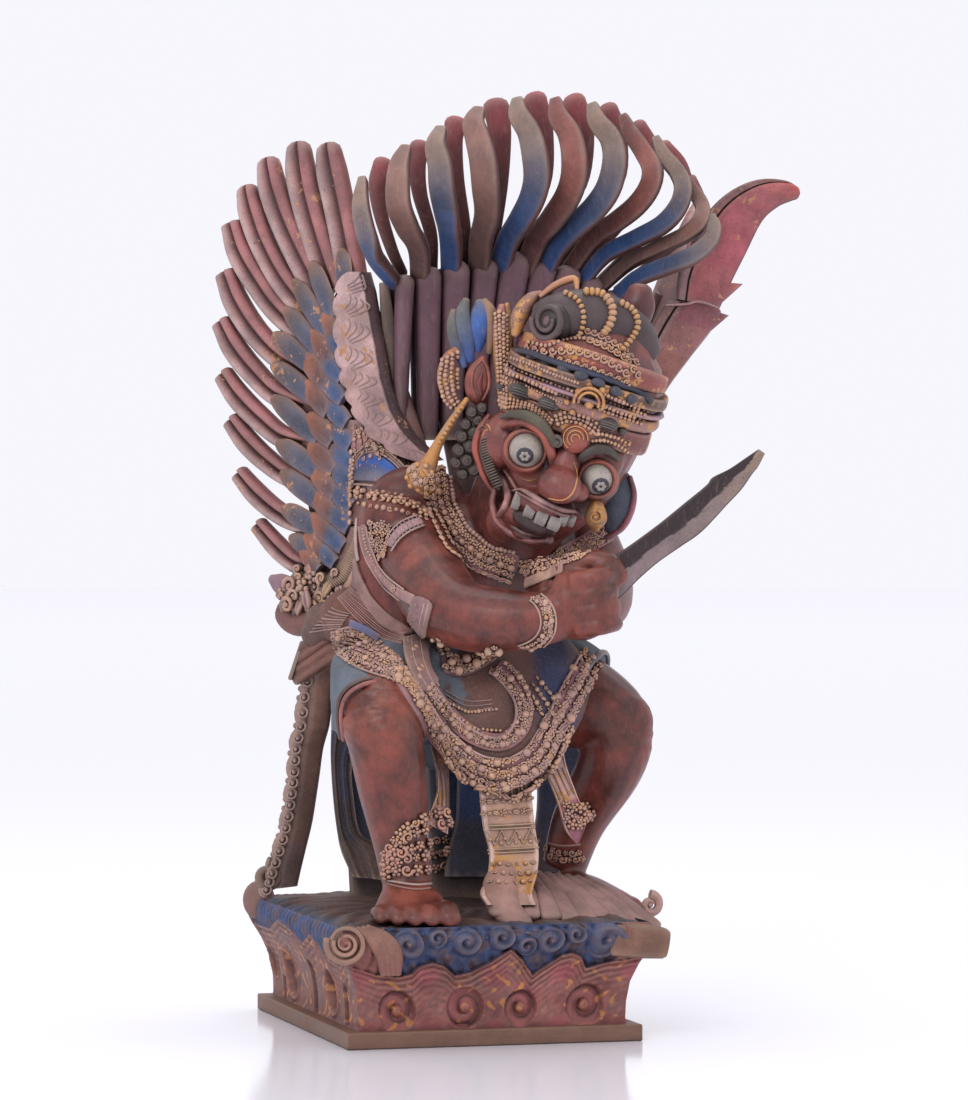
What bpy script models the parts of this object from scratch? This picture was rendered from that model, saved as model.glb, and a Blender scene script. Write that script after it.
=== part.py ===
# Painted wooden garuda statue: a crouching bird-man with sword, spread wings and an arched tail fan.
# Origin at the centre of the pedestal's underside, +Z up, the figure looks towards -Y.

from math import cos, pi, radians, sin, tau

import bmesh
import bpy
import numpy as np
from mathutils import Matrix, Vector

# Sizes, in metres
PEDESTAL_WIDTH = 0.236
PEDESTAL_DEPTH = 0.304
SLAB_HEIGHT = 0.013
PEDESTAL_HEIGHT = 0.094
PEDESTAL_FLARE = 0.016
FIGURE_HEIGHT = 0.666
LIMB_THICKNESS = 1.0
HEAD_SIZE = 1.0
WING_SPREAD = 1.04
WING_FEATHERS = 12
FEATHER_THICKNESS = 0.013
WING_SWEEP = 58.0
PLUMES = 11
PLUME_WIDTH = 0.021
BLADE_LENGTH = 0.160
BLADE_WIDTH = 0.029
JOINT_GAP = 0.0006
BACK_PLANE = 0.030
VOXEL = 0.0031
TRIANGLES = {
    "figure_and_pedestal": 4700,
    "right_wing": 1450,
    "left_wing": 1000,
    "tail_fan": 1900,
    "sword": 140,
}

K = FIGURE_HEIGHT / 666
GROUND = PEDESTAL_HEIGHT

for old in list(bpy.data.objects):
    bpy.data.objects.remove(old)

parts = bpy.data.collections.new("garuda_statue")
cutters = bpy.data.collections.new("cutters")
bpy.context.scene.collection.children.link(parts)
bpy.context.scene.collection.children.link(cutters)


# Points of the figure: x and y in millimetres, h in millimetres above the pedestal's top
def at(x, y, h):
    return Vector((x * K, y * K, GROUND + h * K))


def smooth(points, samples):
    """A Catmull-Rom line through rows of numbers."""
    rows = np.array(points, float)
    ends = np.vstack([2 * rows[0] - rows[1], rows, 2 * rows[-1] - rows[-2]])
    out = []
    for t in np.linspace(0, len(rows) - 1, samples):
        i = min(int(t), len(rows) - 2)
        f = t - i
        a, b, c, d = ends[i : i + 4]
        out.append(
            0.5 * (2 * b + (c - a) * f + (2 * a - 5 * b + 4 * c - d) * f * f + (3 * b - a - 3 * c + d) * f**3)
        )
    return np.array(out)


class Shells:
    """Closed shells gathered for one node."""

    def __init__(self):
        self.work = bmesh.new()

    def add(self, points, faces):
        made = [self.work.verts.new(p) for p in points]
        for face in faces:
            self.work.faces.new([made[i] for i in face])

    def sweep(self, line, side, samples=9, around=8, square=1.0):
        """Rows of (point, half width, half thickness); the width lies along `side`."""
        rows = smooth([(*p, w, t) for p, w, t in line], samples)
        side = Vector(side).normalized()
        points = []
        for i, row in enumerate(rows):
            ahead = rows[min(i + 1, len(rows) - 1)][:3] - rows[max(i - 1, 0)][:3]
            along = Vector(ahead).normalized()
            a = (side - along * side.dot(along)).normalized()
            b = along.cross(a)
            w, t = max(row[3], 0.0006), max(row[4], 0.0006)
            for k in range(around):
                c, s = cos(tau * (k + 0.5) / around), sin(tau * (k + 0.5) / around)
                c = abs(c) ** square * (1 if c > 0 else -1)
                s = abs(s) ** square * (1 if s > 0 else -1)
                points.append(Vector(row[:3]) + a * w * c + b * t * s)
        faces = [tuple(reversed(range(around)))]
        for i in range(len(rows) - 1):
            for k in range(around):
                n = (k + 1) % around
                faces.append((i * around + k, i * around + n, (i + 1) * around + n, (i + 1) * around + k))
        faces.append(tuple(range((len(rows) - 1) * around, len(rows) * around)))
        self.add(points, faces)

    def limb(self, *rows, samples=9):
        self.sweep([(p, r * K * LIMB_THICKNESS, r * K * LIMB_THICKNESS) for p, r in rows], (0.3, 0.2, 1), samples, 10)

    def ball(self, centre, radii, turn=None, around=12, rings=8):
        place = Matrix.Translation(centre) @ (turn or Matrix.Identity(3)).to_4x4() @ Matrix.Diagonal((*radii, 1))
        bmesh.ops.create_uvsphere(self.work, u_segments=around, v_segments=rings, radius=1, matrix=place)

    def volute(self, centre, across, up, radius, thick, turns=1.3):
        """A spiral scroll with a boss in its middle, in the plane of `across` and `up`."""
        centre, across, up = Vector(centre), Vector(across).normalized(), Vector(up).normalized()
        out = across.cross(up)
        line = []
        for i in range(13):
            f = i / 12
            a = pi * 0.5 - tau * turns * f
            r = radius * (1 - 0.68 * f)
            p = centre + across * r * cos(a) + up * r * sin(a)
            line.append((p, thick * (1 - 0.35 * f), thick * (1 - 0.35 * f)))
        self.sweep(line, out, 22, 6)
        self.ball(centre, (radius * 0.24,) * 3, around=8, rings=6)

    def mesh(self, name):
        data = bpy.data.meshes.new(name)
        self.work.to_mesh(data)
        self.work.free()
        return data


def helper(name, shape):
    """A cutter or an added block, kept out of the render."""
    data = bpy.data.meshes.new(name)
    shape.to_mesh(data)
    shape.free()
    made = bpy.data.objects.new(name, data)
    cutters.objects.link(made)
    made.hide_render = True
    made.display_type = "WIRE"
    return made


def box(name, low, high, turn=None):
    low, high = Vector(low), Vector(high)
    shape = bmesh.new()
    place = (turn or Matrix.Identity(4)) @ Matrix.Translation((low + high) / 2) @ Matrix.Diagonal((*(high - low), 1))
    bmesh.ops.create_cube(shape, size=1, matrix=place)
    return helper(name, shape)


def carve(name, shells, colour, voxel=VOXEL):
    """One carved body: the shells fused into one skin and faceted down to the node's budget."""
    made = bpy.data.objects.new(name, shells.mesh(name))
    parts.objects.link(made)
    material = bpy.data.materials.new(name)
    material.use_nodes = True
    shader = material.node_tree.nodes["Principled BSDF"]
    shader.inputs["Base Color"].default_value = (*colour, 1)
    shader.inputs["Roughness"].default_value = 0.7
    made.data.materials.append(material)
    fuse = made.modifiers.new("fuse", "REMESH")
    fuse.mode = "VOXEL"
    fuse.voxel_size = voxel
    graph = bpy.context.evaluated_depsgraph_get()
    graph.update()
    skin = made.evaluated_get(graph).to_mesh()
    count = sum(len(face.vertices) - 2 for face in skin.polygons)
    made.evaluated_get(graph).to_mesh_clear()
    facet = made.modifiers.new("facet", "DECIMATE")
    facet.ratio = min(1.0, TRIANGLES[name] / count)
    facet.use_collapse_triangulate = True
    return made


def boolean(made, other, operation):
    step = made.modifiers.new(other.name, "BOOLEAN")
    step.operation = operation
    step.solver = "EXACT"
    step.object = other


# Pedestal: a slab and a body that flares upwards in a hollow curve
def pedestal_body(shells):
    w, d = PEDESTAL_WIDTH / 2 - 0.008, PEDESTAL_DEPTH / 2 - 0.008
    rise = PEDESTAL_HEIGHT - SLAB_HEIGHT
    levels = [(0, SLAB_HEIGHT * 0.5), (0, SLAB_HEIGHT)]
    for i in range(1, 6):
        f = i / 5
        levels.append(((PEDESTAL_FLARE + 0.004) * f**1.6, SLAB_HEIGHT + rise * 0.82 * f))
    levels.append((PEDESTAL_FLARE - 0.004, PEDESTAL_HEIGHT))
    points, faces = [], [(3, 2, 1, 0)]
    for grow, z in levels:
        x, y = w + grow, d + grow
        points += [(-x, -y, z), (x, -y, z), (x, y, z), (-x, y, z)]
    for i in range(len(levels) - 1):
        for k in range(4):
            n = (k + 1) % 4
            faces.append((i * 4 + k, i * 4 + n, i * 4 + 4 + n, i * 4 + 4 + k))
    top = (len(levels) - 1) * 4
    faces.append((top, top + 1, top + 2, top + 3))
    shells.add(points, faces)


def frieze(shells):
    """Four volutes and leaf peaks on each face, a scroll or block at each corner, waves along the rim."""
    w, d = PEDESTAL_WIDTH / 2, PEDESTAL_DEPTH / 2
    faces = [
        (Vector((0, -1, 0)), Vector((1, 0, 0)), d, w),
        (Vector((0, 1, 0)), Vector((-1, 0, 0)), d, w),
        (Vector((-1, 0, 0)), Vector((0, -1, 0)), w, d),
        (Vector((1, 0, 0)), Vector((0, 1, 0)), w, d),
    ]
    z_scroll = SLAB_HEIGHT + 0.30 * (PEDESTAL_HEIGHT - SLAB_HEIGHT)
    z_peak = SLAB_HEIGHT + 0.62 * (PEDESTAL_HEIGHT - SLAB_HEIGHT)
    for out, across, reach, half in faces:
        pitch = 2 * half * 0.86 / 4
        for i in range(4):
            s = (i - 1.5) * pitch
            base = out * (reach - 0.004) + across * s
            up = Vector((0, 0, 1)) + out * 0.25
            shells.volute(base + Vector((0, 0, z_scroll)), across, up, pitch * 0.34, 0.0058)
            if i < 3:
                foot = out * (reach - 0.006) + across * (s + pitch / 2)
                tip = foot + out * 0.014
                shells.sweep(
                    [
                        (foot + Vector((0, 0, SLAB_HEIGHT + 0.004)), 0.004, 0.006),
                        (foot + Vector((0, 0, z_scroll + 0.01)), 0.009, 0.008),
                        (tip + Vector((0, 0, z_peak)), 0.016, 0.009),
                        (tip + Vector((0, 0, z_peak + 0.022)), 0.003, 0.004),
                    ],
                    across,
                    8,
                )
        # waves rolled over the rim
        count = int(round(2 * half / 0.034))
        for i in range(count):
            s = (i - (count - 1) / 2) * 2 * half / count
            roll = out * (reach + PEDESTAL_FLARE - 0.013) + across * s
            shells.volute(roll + Vector((0, 0, PEDESTAL_HEIGHT - 0.011)), across, (0, 0, 1), 0.0125, 0.0058, 1.0)
            shells.ball(roll + Vector((0, 0, PEDESTAL_HEIGHT - 0.010)), (0.017, 0.015, 0.013), around=10, rings=6)
    for sx in (-1, 1):
        for sy in (-1, 1):
            corner = Vector((sx * (w - 0.004), sy * (d - 0.004), 0))
            out = Vector((sx, sy, 0)).normalized()
            shells.sweep(
                [
                    (corner + Vector((0, 0, SLAB_HEIGHT)) - out * 0.010, 0.014, 0.014),
                    (corner + Vector((0, 0, z_scroll)) - out * 0.008, 0.013, 0.013),
                    (corner + Vector((0, 0, z_peak)) + out * 0.002, 0.018, 0.016),
                    (corner + Vector((0, 0, PEDESTAL_HEIGHT - 0.012)) + out * 0.008, 0.024, 0.019),
                    (corner + Vector((0, 0, PEDESTAL_HEIGHT)) + out * 0.004, 0.020, 0.016),
                ],
                (sx, -sy, 0),
                10,
                8,
                0.6,
            )


# Head frame: turned a little to the figure's right, rolled and tipped down
def head_frame():
    yaw, roll, pitch = radians(16), radians(18), radians(12)
    ahead = Vector((-sin(yaw), -cos(yaw), 0))
    right0 = Vector((cos(yaw), -sin(yaw), 0))
    right = right0 * cos(roll) - Vector((0, 0, 1)) * sin(roll)
    up0 = right0 * sin(roll) + Vector((0, 0, 1)) * cos(roll)
    up = up0 * cos(pitch) + ahead * sin(pitch)
    front = ahead * cos(pitch) - up0 * sin(pitch)
    return right, front, up


HEAD = at(77, -85, 375)
RIGHT, FRONT, UP = head_frame()
TURN = Matrix((RIGHT, -FRONT, UP)).transposed()


def on_head(r, f, u):
    return HEAD + (RIGHT * r + FRONT * f + UP * u) * K * HEAD_SIZE


def head(shells):
    s = K * HEAD_SIZE

    def ball(r, f, u, a, b, c, n=10):
        shells.ball(on_head(r, f, u), (a * s, b * s, c * s), TURN, n, 8)

    ball(1, -6, -6, 52, 48, 56, 14)
    ball(0, -8, 38, 58, 52, 34, 14)
    ball(4, 22, -58, 36, 32, 22)
    ball(4, 34, -84, 24, 20, 9)
    ball(6, 50, -60, 27, 15, 8)
    ball(6, 58, -36, 15, 15, 13)
    ball(4, 46, 4, 12, 12, 13)
    for side in (-1, 1):
        ball(4 + side * 31, 38, -17, 16, 16, 16)
        ball(4 + side * 18, 52, -40, 9, 10, 8)
        ball(4 + side * 42, 16, -44, 13, 22, 18)
        # curled brow
        shells.sweep(
            [
                (on_head(4 + side * 8, 50, 0), 4 * s, 5 * s),
                (on_head(4 + side * 22, 52, 9), 5 * s, 7 * s),
                (on_head(4 + side * 44, 42, 6), 6 * s, 7 * s),
                (on_head(4 + side * 54, 28, -10), 4 * s, 4 * s),
            ],
            UP,
            8,
        )
        # ear with its tall wing-shaped ornament and side whisker
        ear = -1 if side < 0 else 1
        shells.sweep(
            [
                (on_head(ear * 70, -6, -24), 9 * s, 7 * s),
                (on_head(ear * 80, -6, 6), 15 * s, 8 * s),
                (on_head(ear * 86, -10, 34), 10 * s, 7 * s),
                (on_head(ear * 88, -14, 52), 3 * s, 4 * s),
            ],
            RIGHT,
            9,
        )
        shells.sweep(
            [
                (on_head(ear * 64, -20, 20), 16 * s, 12 * s),
                (on_head(ear * 78, -26, 58), 22 * s, 9 * s),
                (on_head(ear * 84, -30, 88), 15 * s, 7 * s),
                (on_head(ear * 80, -30, 102), 4 * s, 4 * s),
            ],
            RIGHT,
            9,
        )
        shells.sweep(
            [
                (on_head(ear * 48, 30, -2), 5 * s, 6 * s),
                (on_head(ear * 62, 18, -28), 12 * s, 8 * s),
                (on_head(ear * 54, 20, -62), 12 * s, 9 * s),
                (on_head(ear * 30, 34, -86), 6 * s, 7 * s),
            ],
            RIGHT,
            9,
        )
    # crown bands
    for u, a, b, c in ((32, 61, 55, 8), (48, 60, 54, 7), (64, 53, 48, 9)):
        ball(0, -6, u, a, b, c, 16)
    shells.sweep(
        [(on_head(-50 + 100 * i / 6, 38 - 26 * abs(i - 3) / 3, 60 + 12 * (1 - abs(i - 3) / 3)), 13 * s, 7 * s) for i in range(7)],
        UP,
        13,
    )
    ball(8, 52, 58, 12, 8, 14)
    # coiled topknot with its beaded bands, and the spiral at its end
    shells.sweep(
        [
            (on_head(-54, 6, 92), 14 * s, 14 * s),
            (on_head(-34, 10, 96), 27 * s, 26 * s),
            (on_head(-4, 6, 104), 30 * s, 28 * s),
            (on_head(30, 0, 98), 26 * s, 25 * s),
            (on_head(54, -4, 80), 17 * s, 17 * s),
        ],
        UP,
        13,
        12,
    )
    for i in range(3):
        a = -14 + 27 * i
        shells.sweep(
            [(on_head(a + 6 * cos(t), 5 + 31 * sin(t), 101 - 0.004 * a * a + 32 * cos(t)), 3.6 * s, 3.6 * s) for t in np.linspace(-0.4, pi + 0.4, 9)],
            RIGHT,
            15,
            6,
        )
    shells.volute(on_head(-57, 12, 92), -FRONT - RIGHT * 0.3, UP, 15 * s, 4.6 * s, 1.2)
    # left ear drop, right ear pin with its knob, and hair at the nape
    ball(38, 38, -50, 9, 8, 13)
    shells.sweep([(on_head(-72, 4, -4), 3.5 * s, 3.5 * s), (at(-14, -58, 372), 6 * s, 6 * s), (at(-30, -50, 347), 13 * s, 12 * s), (at(-33, -50, 337), 5 * s, 5 * s)], FRONT, 10)
    shells.ball(at(58, -16, 352), (52 * K, 48 * K, 60 * K))
    shells.ball(at(60, -20, 415), (46 * K, 48 * K, 50 * K))


def body(shells):
    ball, limb, s = shells.ball, shells.limb, K
    # trunk, chest and neck
    ball(at(28, -4, 178), (72 * s, 62 * s, 44 * s))
    ball(at(28, -16, 222), (56 * s, 50 * s, 40 * s))
    ball(at(38, -10, 280), (76 * s, 46 * s, 52 * s))
    limb((at(44, -20, 290), 40), (at(56, -50, 340), 42), samples=5)
    # right arm, bent across the chest, fist round the grip
    limb((at(-30, 0, 304), 34), (at(-34, -40, 280), 32), (at(-27, -88, 248), 30), (at(-18, -112, 236), 26), (at(6, -134, 233), 25), (at(34, -148, 234), 21), (at(46, -152, 237), 20), samples=14)
    ball(at(66, -156, 246), (30 * s, 25 * s, 30 * s))
    ball(at(-22, 4, 322), (42 * s, 27 * s, 32 * s))
    for i in range(4):
        limb((at(62, -176 + 2 * i, 264 - 12 * i), 7.5), (at(84, -168 + 2 * i, 266 - 12 * i), 8), (at(90, -150, 262 - 11 * i), 6.5), samples=5)
    limb((at(60, -140, 268), 10), (at(82, -148, 277), 9), (at(92, -160, 268), 7), samples=5)
    # left arm behind it
    limb((at(108, 4, 300), 34), (at(118, -30, 262), 29), (at(104, -78, 244), 25), (at(70, -118, 258), 20), (at(38, -128, 266), 17), samples=11)
    ball(at(122, 0, 322), (27 * s, 26 * s, 32 * s))
    # right leg: thigh forward, shin down, broad bare foot
    limb((at(4, 0, 182), 47), (at(-44, -52, 176), 43), (at(-74, -88, 160), 35), (at(-73, -97, 138), 31), (at(-66, -92, 100), 28), (at(-60, -92, 62), 23), (at(-56, -94, 26), 19), samples=16)
    shells.sweep([(at(-54, -78, 10), 21 * s, 16 * s), (at(-58, -104, 14), 25 * s, 19 * s), (at(-62, -132, 8), 32 * s, 12 * s), (at(-63, -146, 4), 30 * s, 7 * s)], (1, 0, 0), 8)
    for i in range(5):
        r = 7.2 if i < 4 else 10
        limb((at(-88 + 12.4 * i, -134 - 2 * i, 7), r), (at(-88 + 12.6 * i, -150 - 1.5 * i, 4), r * 0.85), samples=4)
    # left leg, mostly under cloth
    limb((at(62, 0, 180), 46), (at(104, -24, 164), 40), (at(130, -44, 144), 31), (at(124, -36, 112), 27), (at(106, -12, 68), 22), (at(96, -4, 30), 18), samples=14)
    shells.sweep([(at(92, 10, 10), 18 * s, 14 * s), (at(104, -30, 12), 25 * s, 16 * s), (at(118, -66, 6), 26 * s, 10 * s)], (1, 0.4, 0), 7)
    # anklets with flame flowers
    for x, y, h, r in ((-56, -94, 34, 24), (-57, -93, 48, 27), (97, -5, 40, 24), (99, -7, 54, 26)):
        ball(at(x, y, h), (r * s, r * s, 10 * s))
    for i in range(7):
        a = tau * i / 7
        ball(at(-54 + 25 * cos(a), -92 + 24 * sin(a), 62 + 16 * max(0.0, cos(a))), (8 * s, 8 * s, 12 * s), None, 8, 6)
    ball(at(-30, -96, 88), (8 * s, 8 * s, 16 * s), None, 8, 6)
    # upper arm guard, wrist guard
    limb((at(-32, -20, 300), 36), (at(-33, -32, 288), 37), (at(-33, -40, 280), 34), samples=4)
    limb((at(26, -144, 233), 24), (at(35, -148, 235), 25), (at(40, -150, 236), 24), samples=4)


def dress(shells):
    ball, s = shells.ball, K
    # bib collar of beads, a ring round the neck dropping to a point
    for ring, reach in enumerate((1.0, 1.16)):
        for i in range(22):
            a = tau * i / 22
            front = max(0.0, -sin(a))
            x, y = 46 + 62 * reach * cos(a), -46 + 58 * reach * sin(a)
            h = 338 - 24 * ring - 44 * front**2 - 22 * cos(a)
            if y < 20:
                ball(at(x, y, h), (9 * s, 9 * s, 10 * s), None, 8, 6)
    shells.sweep([(at(46 + 64 * cos(a), -46 + 62 * sin(a), 330 - 46 * max(0.0, -sin(a)) ** 2 - 22 * cos(a)), 17 * s, 9 * s) for a in np.linspace(-pi * 1.08, 0.08 * pi, 11)], (0, 0, 1), 19)
    # chest straps
    shells.sweep([(at(-46, 4, 286), 12 * s, 8 * s), (at(-52, -20, 252), 13 * s, 8 * s), (at(-28, -42, 212), 12 * s, 8 * s), (at(-6, -54, 190), 9 * s, 7 * s)], (0.4, -0.2, 1), 9)
    # skirt: mass over the hips, apron falling to a point, hip swags
    shells.sweep([(at(27, -34, 214), 58 * s, 30 * s), (at(27, -60, 186), 78 * s, 26 * s), (at(27, -84, 150), 66 * s, 20 * s), (at(28, -98, 118), 36 * s, 14 * s), (at(28, -104, 94), 5 * s, 6 * s)], (1, 0, 0), 11, 12)
    for reach, drop, thick, y0 in ((74, 108, 10, -92), (86, 134, 9, -92)):
        for i in range(19):
            a = pi * (0.04 + 0.92 * i / 18)
            x, h = 29 + reach * cos(a), 214 - drop * sin(a) ** 1.2
            y = y0 - 20 * sin(a) + 44 * (1 - sin(a)) ** 1.3
            ball(at(x, y, h), (thick * s, thick * s, thick * s), None, 8, 6)
    shells.sweep([(at(29 + 80 * cos(a), -88 - 18 * sin(a) + 44 * (1 - sin(a)) ** 1.3, 214 - 118 * sin(a) ** 1.2), 13 * s, 8 * s) for a in np.linspace(0.03 * pi, 0.97 * pi, 11)], (0, -0.3, 1), 19)
    for side, x in ((-1, -48), (1, 100)):
        shells.sweep([(at(x - 26 * side, 26, 200), 26 * s, 26 * s), (at(x, -8, 196), 34 * s, 40 * s), (at(x + 4 * side, -44, 176), 26 * s, 34 * s)], (0, 1, 0.3), 7, 10)
        shells.sweep([(at(x + 26 * side, 40, 206), 5 * s, 12 * s), (at(x + 18 * side, -20, 212), 6 * s, 14 * s), (at(x + 2 * side, -66, 204), 6 * s, 12 * s)], (1, 0, 0), 7)
    ball(at(14, -74, 212), (30 * s, 18 * s, 14 * s))
    shells.sweep([(at(-20, -62, 250), 10 * s, 6 * s), (at(-24, -74, 216), 10 * s, 6 * s), (at(-16, -88, 180), 8 * s, 6 * s)], (1, 0, 0), 6)
    # hollow ribs of the belt and inner swag
    shells.sweep([(at(0, -88, 164), 5 * s, 5 * s), (at(24, -98, 150), 6 * s, 6 * s), (at(44, -94, 168), 6 * s, 6 * s), (at(40, -80, 194), 6 * s, 6 * s), (at(26, -68, 210), 5 * s, 5 * s)], (0, -1, 0), 10)
    # centre panel down to the pedestal, ending in folded cloth
    shells.sweep([(at(26, -92, 112), 24 * s, 8 * s), (at(28, -90, 70), 25 * s, 8 * s), (at(31, -92, 34), 28 * s, 9 * s), (at(36, -104, 14), 24 * s, 12 * s)], (1, 0, 0), 9, 8, 0.6)
    shells.sweep([(at(26, -92, 22), 14 * s, 12 * s), (at(30, -120, 16), 22 * s, 15 * s), (at(33, -148, 6), 21 * s, 12 * s), (at(33, -160, 0), 12 * s, 8 * s)], (1, 0, 0), 8)
    for i in range(4):
        x = 62 + 20 * i
        shells.sweep([(at(44 + 12 * i, -86 + 6 * i, 26 - 2 * i), 10 * s, 12 * s), (at(x, -104 + 4 * i, 12), 14 * s, 9 * s), (at(x + 22, -110 + 4 * i, 4 + 2.4 * i), 10 * s, 7 * s)], (0.3, 1, 0), 6)
    ball(at(143, -96, 10), (9 * s, 16 * s, 12 * s), None, 8, 6)
    # narrow sash with its flower, panel inside the right knee
    shells.sweep([(at(58, -92, 106), 12 * s, 6 * s), (at(80, -86, 80), 11 * s, 6 * s), (at(96, -84, 58), 15 * s, 9 * s), (at(103, -84, 44), 6 * s, 5 * s)], (1, -0.2, 0.4), 8)
    ball(at(92, -88, 66), (15 * s, 10 * s, 14 * s), None, 8, 6)
    shells.sweep([(at(-22, -72, 138), 12 * s, 7 * s), (at(-26, -84, 104), 13 * s, 7 * s), (at(-30, -92, 74), 10 * s, 7 * s)], (1, 0, 0), 6)
    # back drapes standing on the pedestal
    for x0, x1, x2, y, wide in ((-30, -62, -46, 64, 20), (44, 40, 44, 52, 20), (92, 112, 96, 62, 18)):
        shells.sweep([(at(x0, 30, 196), wide * s, 20 * s), (at((x0 + x1) / 2, y, 150), wide * s, 13 * s), (at(x1, y + 8, 84), wide * 0.9 * s, 11 * s), (at(x2, y + 4, 28), wide * 1.05 * s, 13 * s), (at(x2, y, -6), wide * 1.2 * s, 16 * s)], (1, 0.2, 0), 11)
    # hanging sash at the hip, with its curled foot, and the pleated tuft above
    shells.sweep([(at(-36, 36, 214), 24 * s, 22 * s), (at(-72, 62, 204), 22 * s, 17 * s), (at(-92, 76, 160), 15 * s, 12 * s), (at(-98, 92, 110), 14 * s, 11 * s), (at(-102, 106, 60), 14 * s, 11 * s), (at(-108, 118, 18), 17 * s, 12 * s), (at(-112, 122, -4), 20 * s, 14 * s)], (1, 0, 0), 15)
    shells.volute(at(-124, 118, 12), (1, -0.2, 0), (0, 0, 1), 12 * s, 5 * s, 1.0)
    for i in range(4):
        shells.sweep([(at(-34, 26, 222 - 8 * i), 9 * s, 9 * s), (at(-66 - 4 * i, 44, 226 - 16 * i), 8 * s, 9 * s), (at(-92 - 2 * i, 60, 212 - 18 * i), 5 * s, 6 * s)], (0, 0, 1), 7)
    # rounded back of the skirt with a train between the drapes
    shells.sweep([(at(26, 26, 212), 60 * s, 18 * s), (at(28, 48, 176), 62 * s, 16 * s), (at(32, 58, 140), 44 * s, 12 * s), (at(34, 60, 112), 20 * s, 8 * s)], (1, 0, 0), 8)


# Wings. A wing lies in its own plane: s runs back from the shoulder, h up
def wing_frame(side):
    if side < 0:
        sweep, lean, root = radians(WING_SWEEP), 0.0, Vector((-10, 30))
    else:
        sweep, lean, root = radians(WING_SWEEP + 14), 0.42, Vector((118, 32))

    def place(s, h, off=0.0):
        run = s * WING_SPREAD
        x = root.x + side * (cos(sweep) * run + lean * max(0.0, h - 322) + sin(sweep) * off)
        y = root.y + sin(sweep) * run - cos(sweep) * off
        return at(x, y, h)

    return place, Vector((side * sin(sweep), -cos(sweep), 0))


def wing_quill(k):
    """Root and tip of primary k in the wing's plane, top one first."""
    f = k / (WING_FEATHERS - 1)
    root = (88 + 36 * sin(pi * f), 515 - 265 * f)
    tip = (102 + 128 * sin(pi * min(0.97, f * 0.885)) ** 0.75, 620 - 357 * f**1.45)
    return root, tip


def wing(side):
    shells = Shells()
    place, normal = wing_frame(side)
    s = K
    thick = FEATHER_THICKNESS / 2
    for k in range(WING_FEATHERS):
        (rs, rh), (ts, th) = wing_quill(k)
        bow = 7 + 5 * sin(pi * k / 11)
        ms, mh = (rs + ts) / 2 - 0.06 * (th - rh), (rh + th) / 2 - bow
        flat = Vector(place(rs, rh)) - Vector(place(ts, th))
        across = flat.cross(normal)
        shells.sweep(
            [
                (place(rs, rh), 12 * s, thick),
                (place(ms, mh), 12.5 * s, thick),
                (place(ts - 0.16 * (ts - rs), th - 0.16 * (th - rh) - 2), 11 * s, thick * 0.85),
                (place(ts, th), 3 * s, thick * 0.4),
            ],
            across,
            9,
            6,
        )
    # three rows of coverts over the quills
    for row, (count, reach, long, wide, high) in enumerate(((9, 20, 46, 14, 10), (9, 2, 32, 13, 12), (8, -14, 30, 12, 13))):
        for k in range(count):
            f = (k + 0.5) / count
            (rs, rh), (ts, th) = wing_quill(f * (WING_FEATHERS - 1))
            along = Vector((ts - rs, th - rh)).normalized()
            a = Vector((rs + reach, rh - 8)) + along * 4
            b = a + along * long * 0.6
            c = a + along * long
            across = (Vector(place(*a)) - Vector(place(*c))).cross(normal)
            shells.sweep([(place(*a), wide * 0.7 * s, high * s), (place(*b), wide * s, high * 0.9 * s), (place(*c), 4 * s, 4 * s)], across, 6, 6)
    # leading edge band, the board under the coverts, ribbed lower border
    if side < 0:
        shells.sweep([(place(10, 326), 26 * s, 13 * s), (place(38, 361), 40 * s, 13 * s), (place(57, 406), 31 * s, 12 * s), (place(72, 458), 25 * s, 10 * s), (place(80, 516), 6 * s, 6 * s)], place(1, 0) - place(0, 0), 13)
        shells.sweep([(place(-6, 352, 2), 13 * s, 12 * s), (place(24, 400, 2), 12 * s, 12 * s), (place(52, 450, 3), 11 * s, 11 * s), (place(78, 504, 2), 7 * s, 9 * s)], place(1, 0) - place(0, 0), 11)
    else:
        shells.sweep([(at(120, 34, 320), 20 * s, 16 * s), (at(160, 40, 370), 21 * s, 17 * s), (at(196, 46, 424), 20 * s, 16 * s), (at(232, 52, 500), 21 * s, 15 * s), (at(256, 44, 560), 17 * s, 12 * s), (at(280, 28, 584), 11 * s, 9 * s), (at(304, 14, 576), 3 * s, 4 * s)], (1, 0, -0.3), 17)
        for x, y, h in ((266, 74, 478), (288, 88, 507)):
            shells.sweep([(at(x - 40, y - 24, h - 44), 15 * s, 12 * s), (at(x - 12, y - 8, h - 14), 13 * s, 9 * s), (at(x, y, h), 3 * s, 3 * s)], (1, 0, -0.6), 6)
    shells.sweep([(place(80, 500), 16 * s, 10 * s), (place(98, 440), 30 * s, 11 * s), (place(104, 370), 34 * s, 11 * s), (place(98, 300), 26 * s, 11 * s), (place(104, 262), 12 * s, 9 * s)], place(1, 0) - place(0, 0), 11)
    shells.sweep([(place(2, 318), 20 * s, 15 * s), (place(50, 316), 24 * s, 15 * s), (place(92, 306), 26 * s, 12 * s)], (0, 0, 1), 8)
    # flower scroll at the foot of the wing
    for s0, h0, r in ((112, 250, 15), (132, 246, 15), (150, 250, 13), (164, 246, 10), (120, 236, 10), (144, 236, 11)):
        shells.ball(place(s0, h0), (r * s, r * s, r * s), None, 9, 6)
    shells.volute(place(146, 228), place(1, 0) - place(0, 0), (0, 0, 1), 13 * s, 5 * s, 0.9)
    return shells


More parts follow.
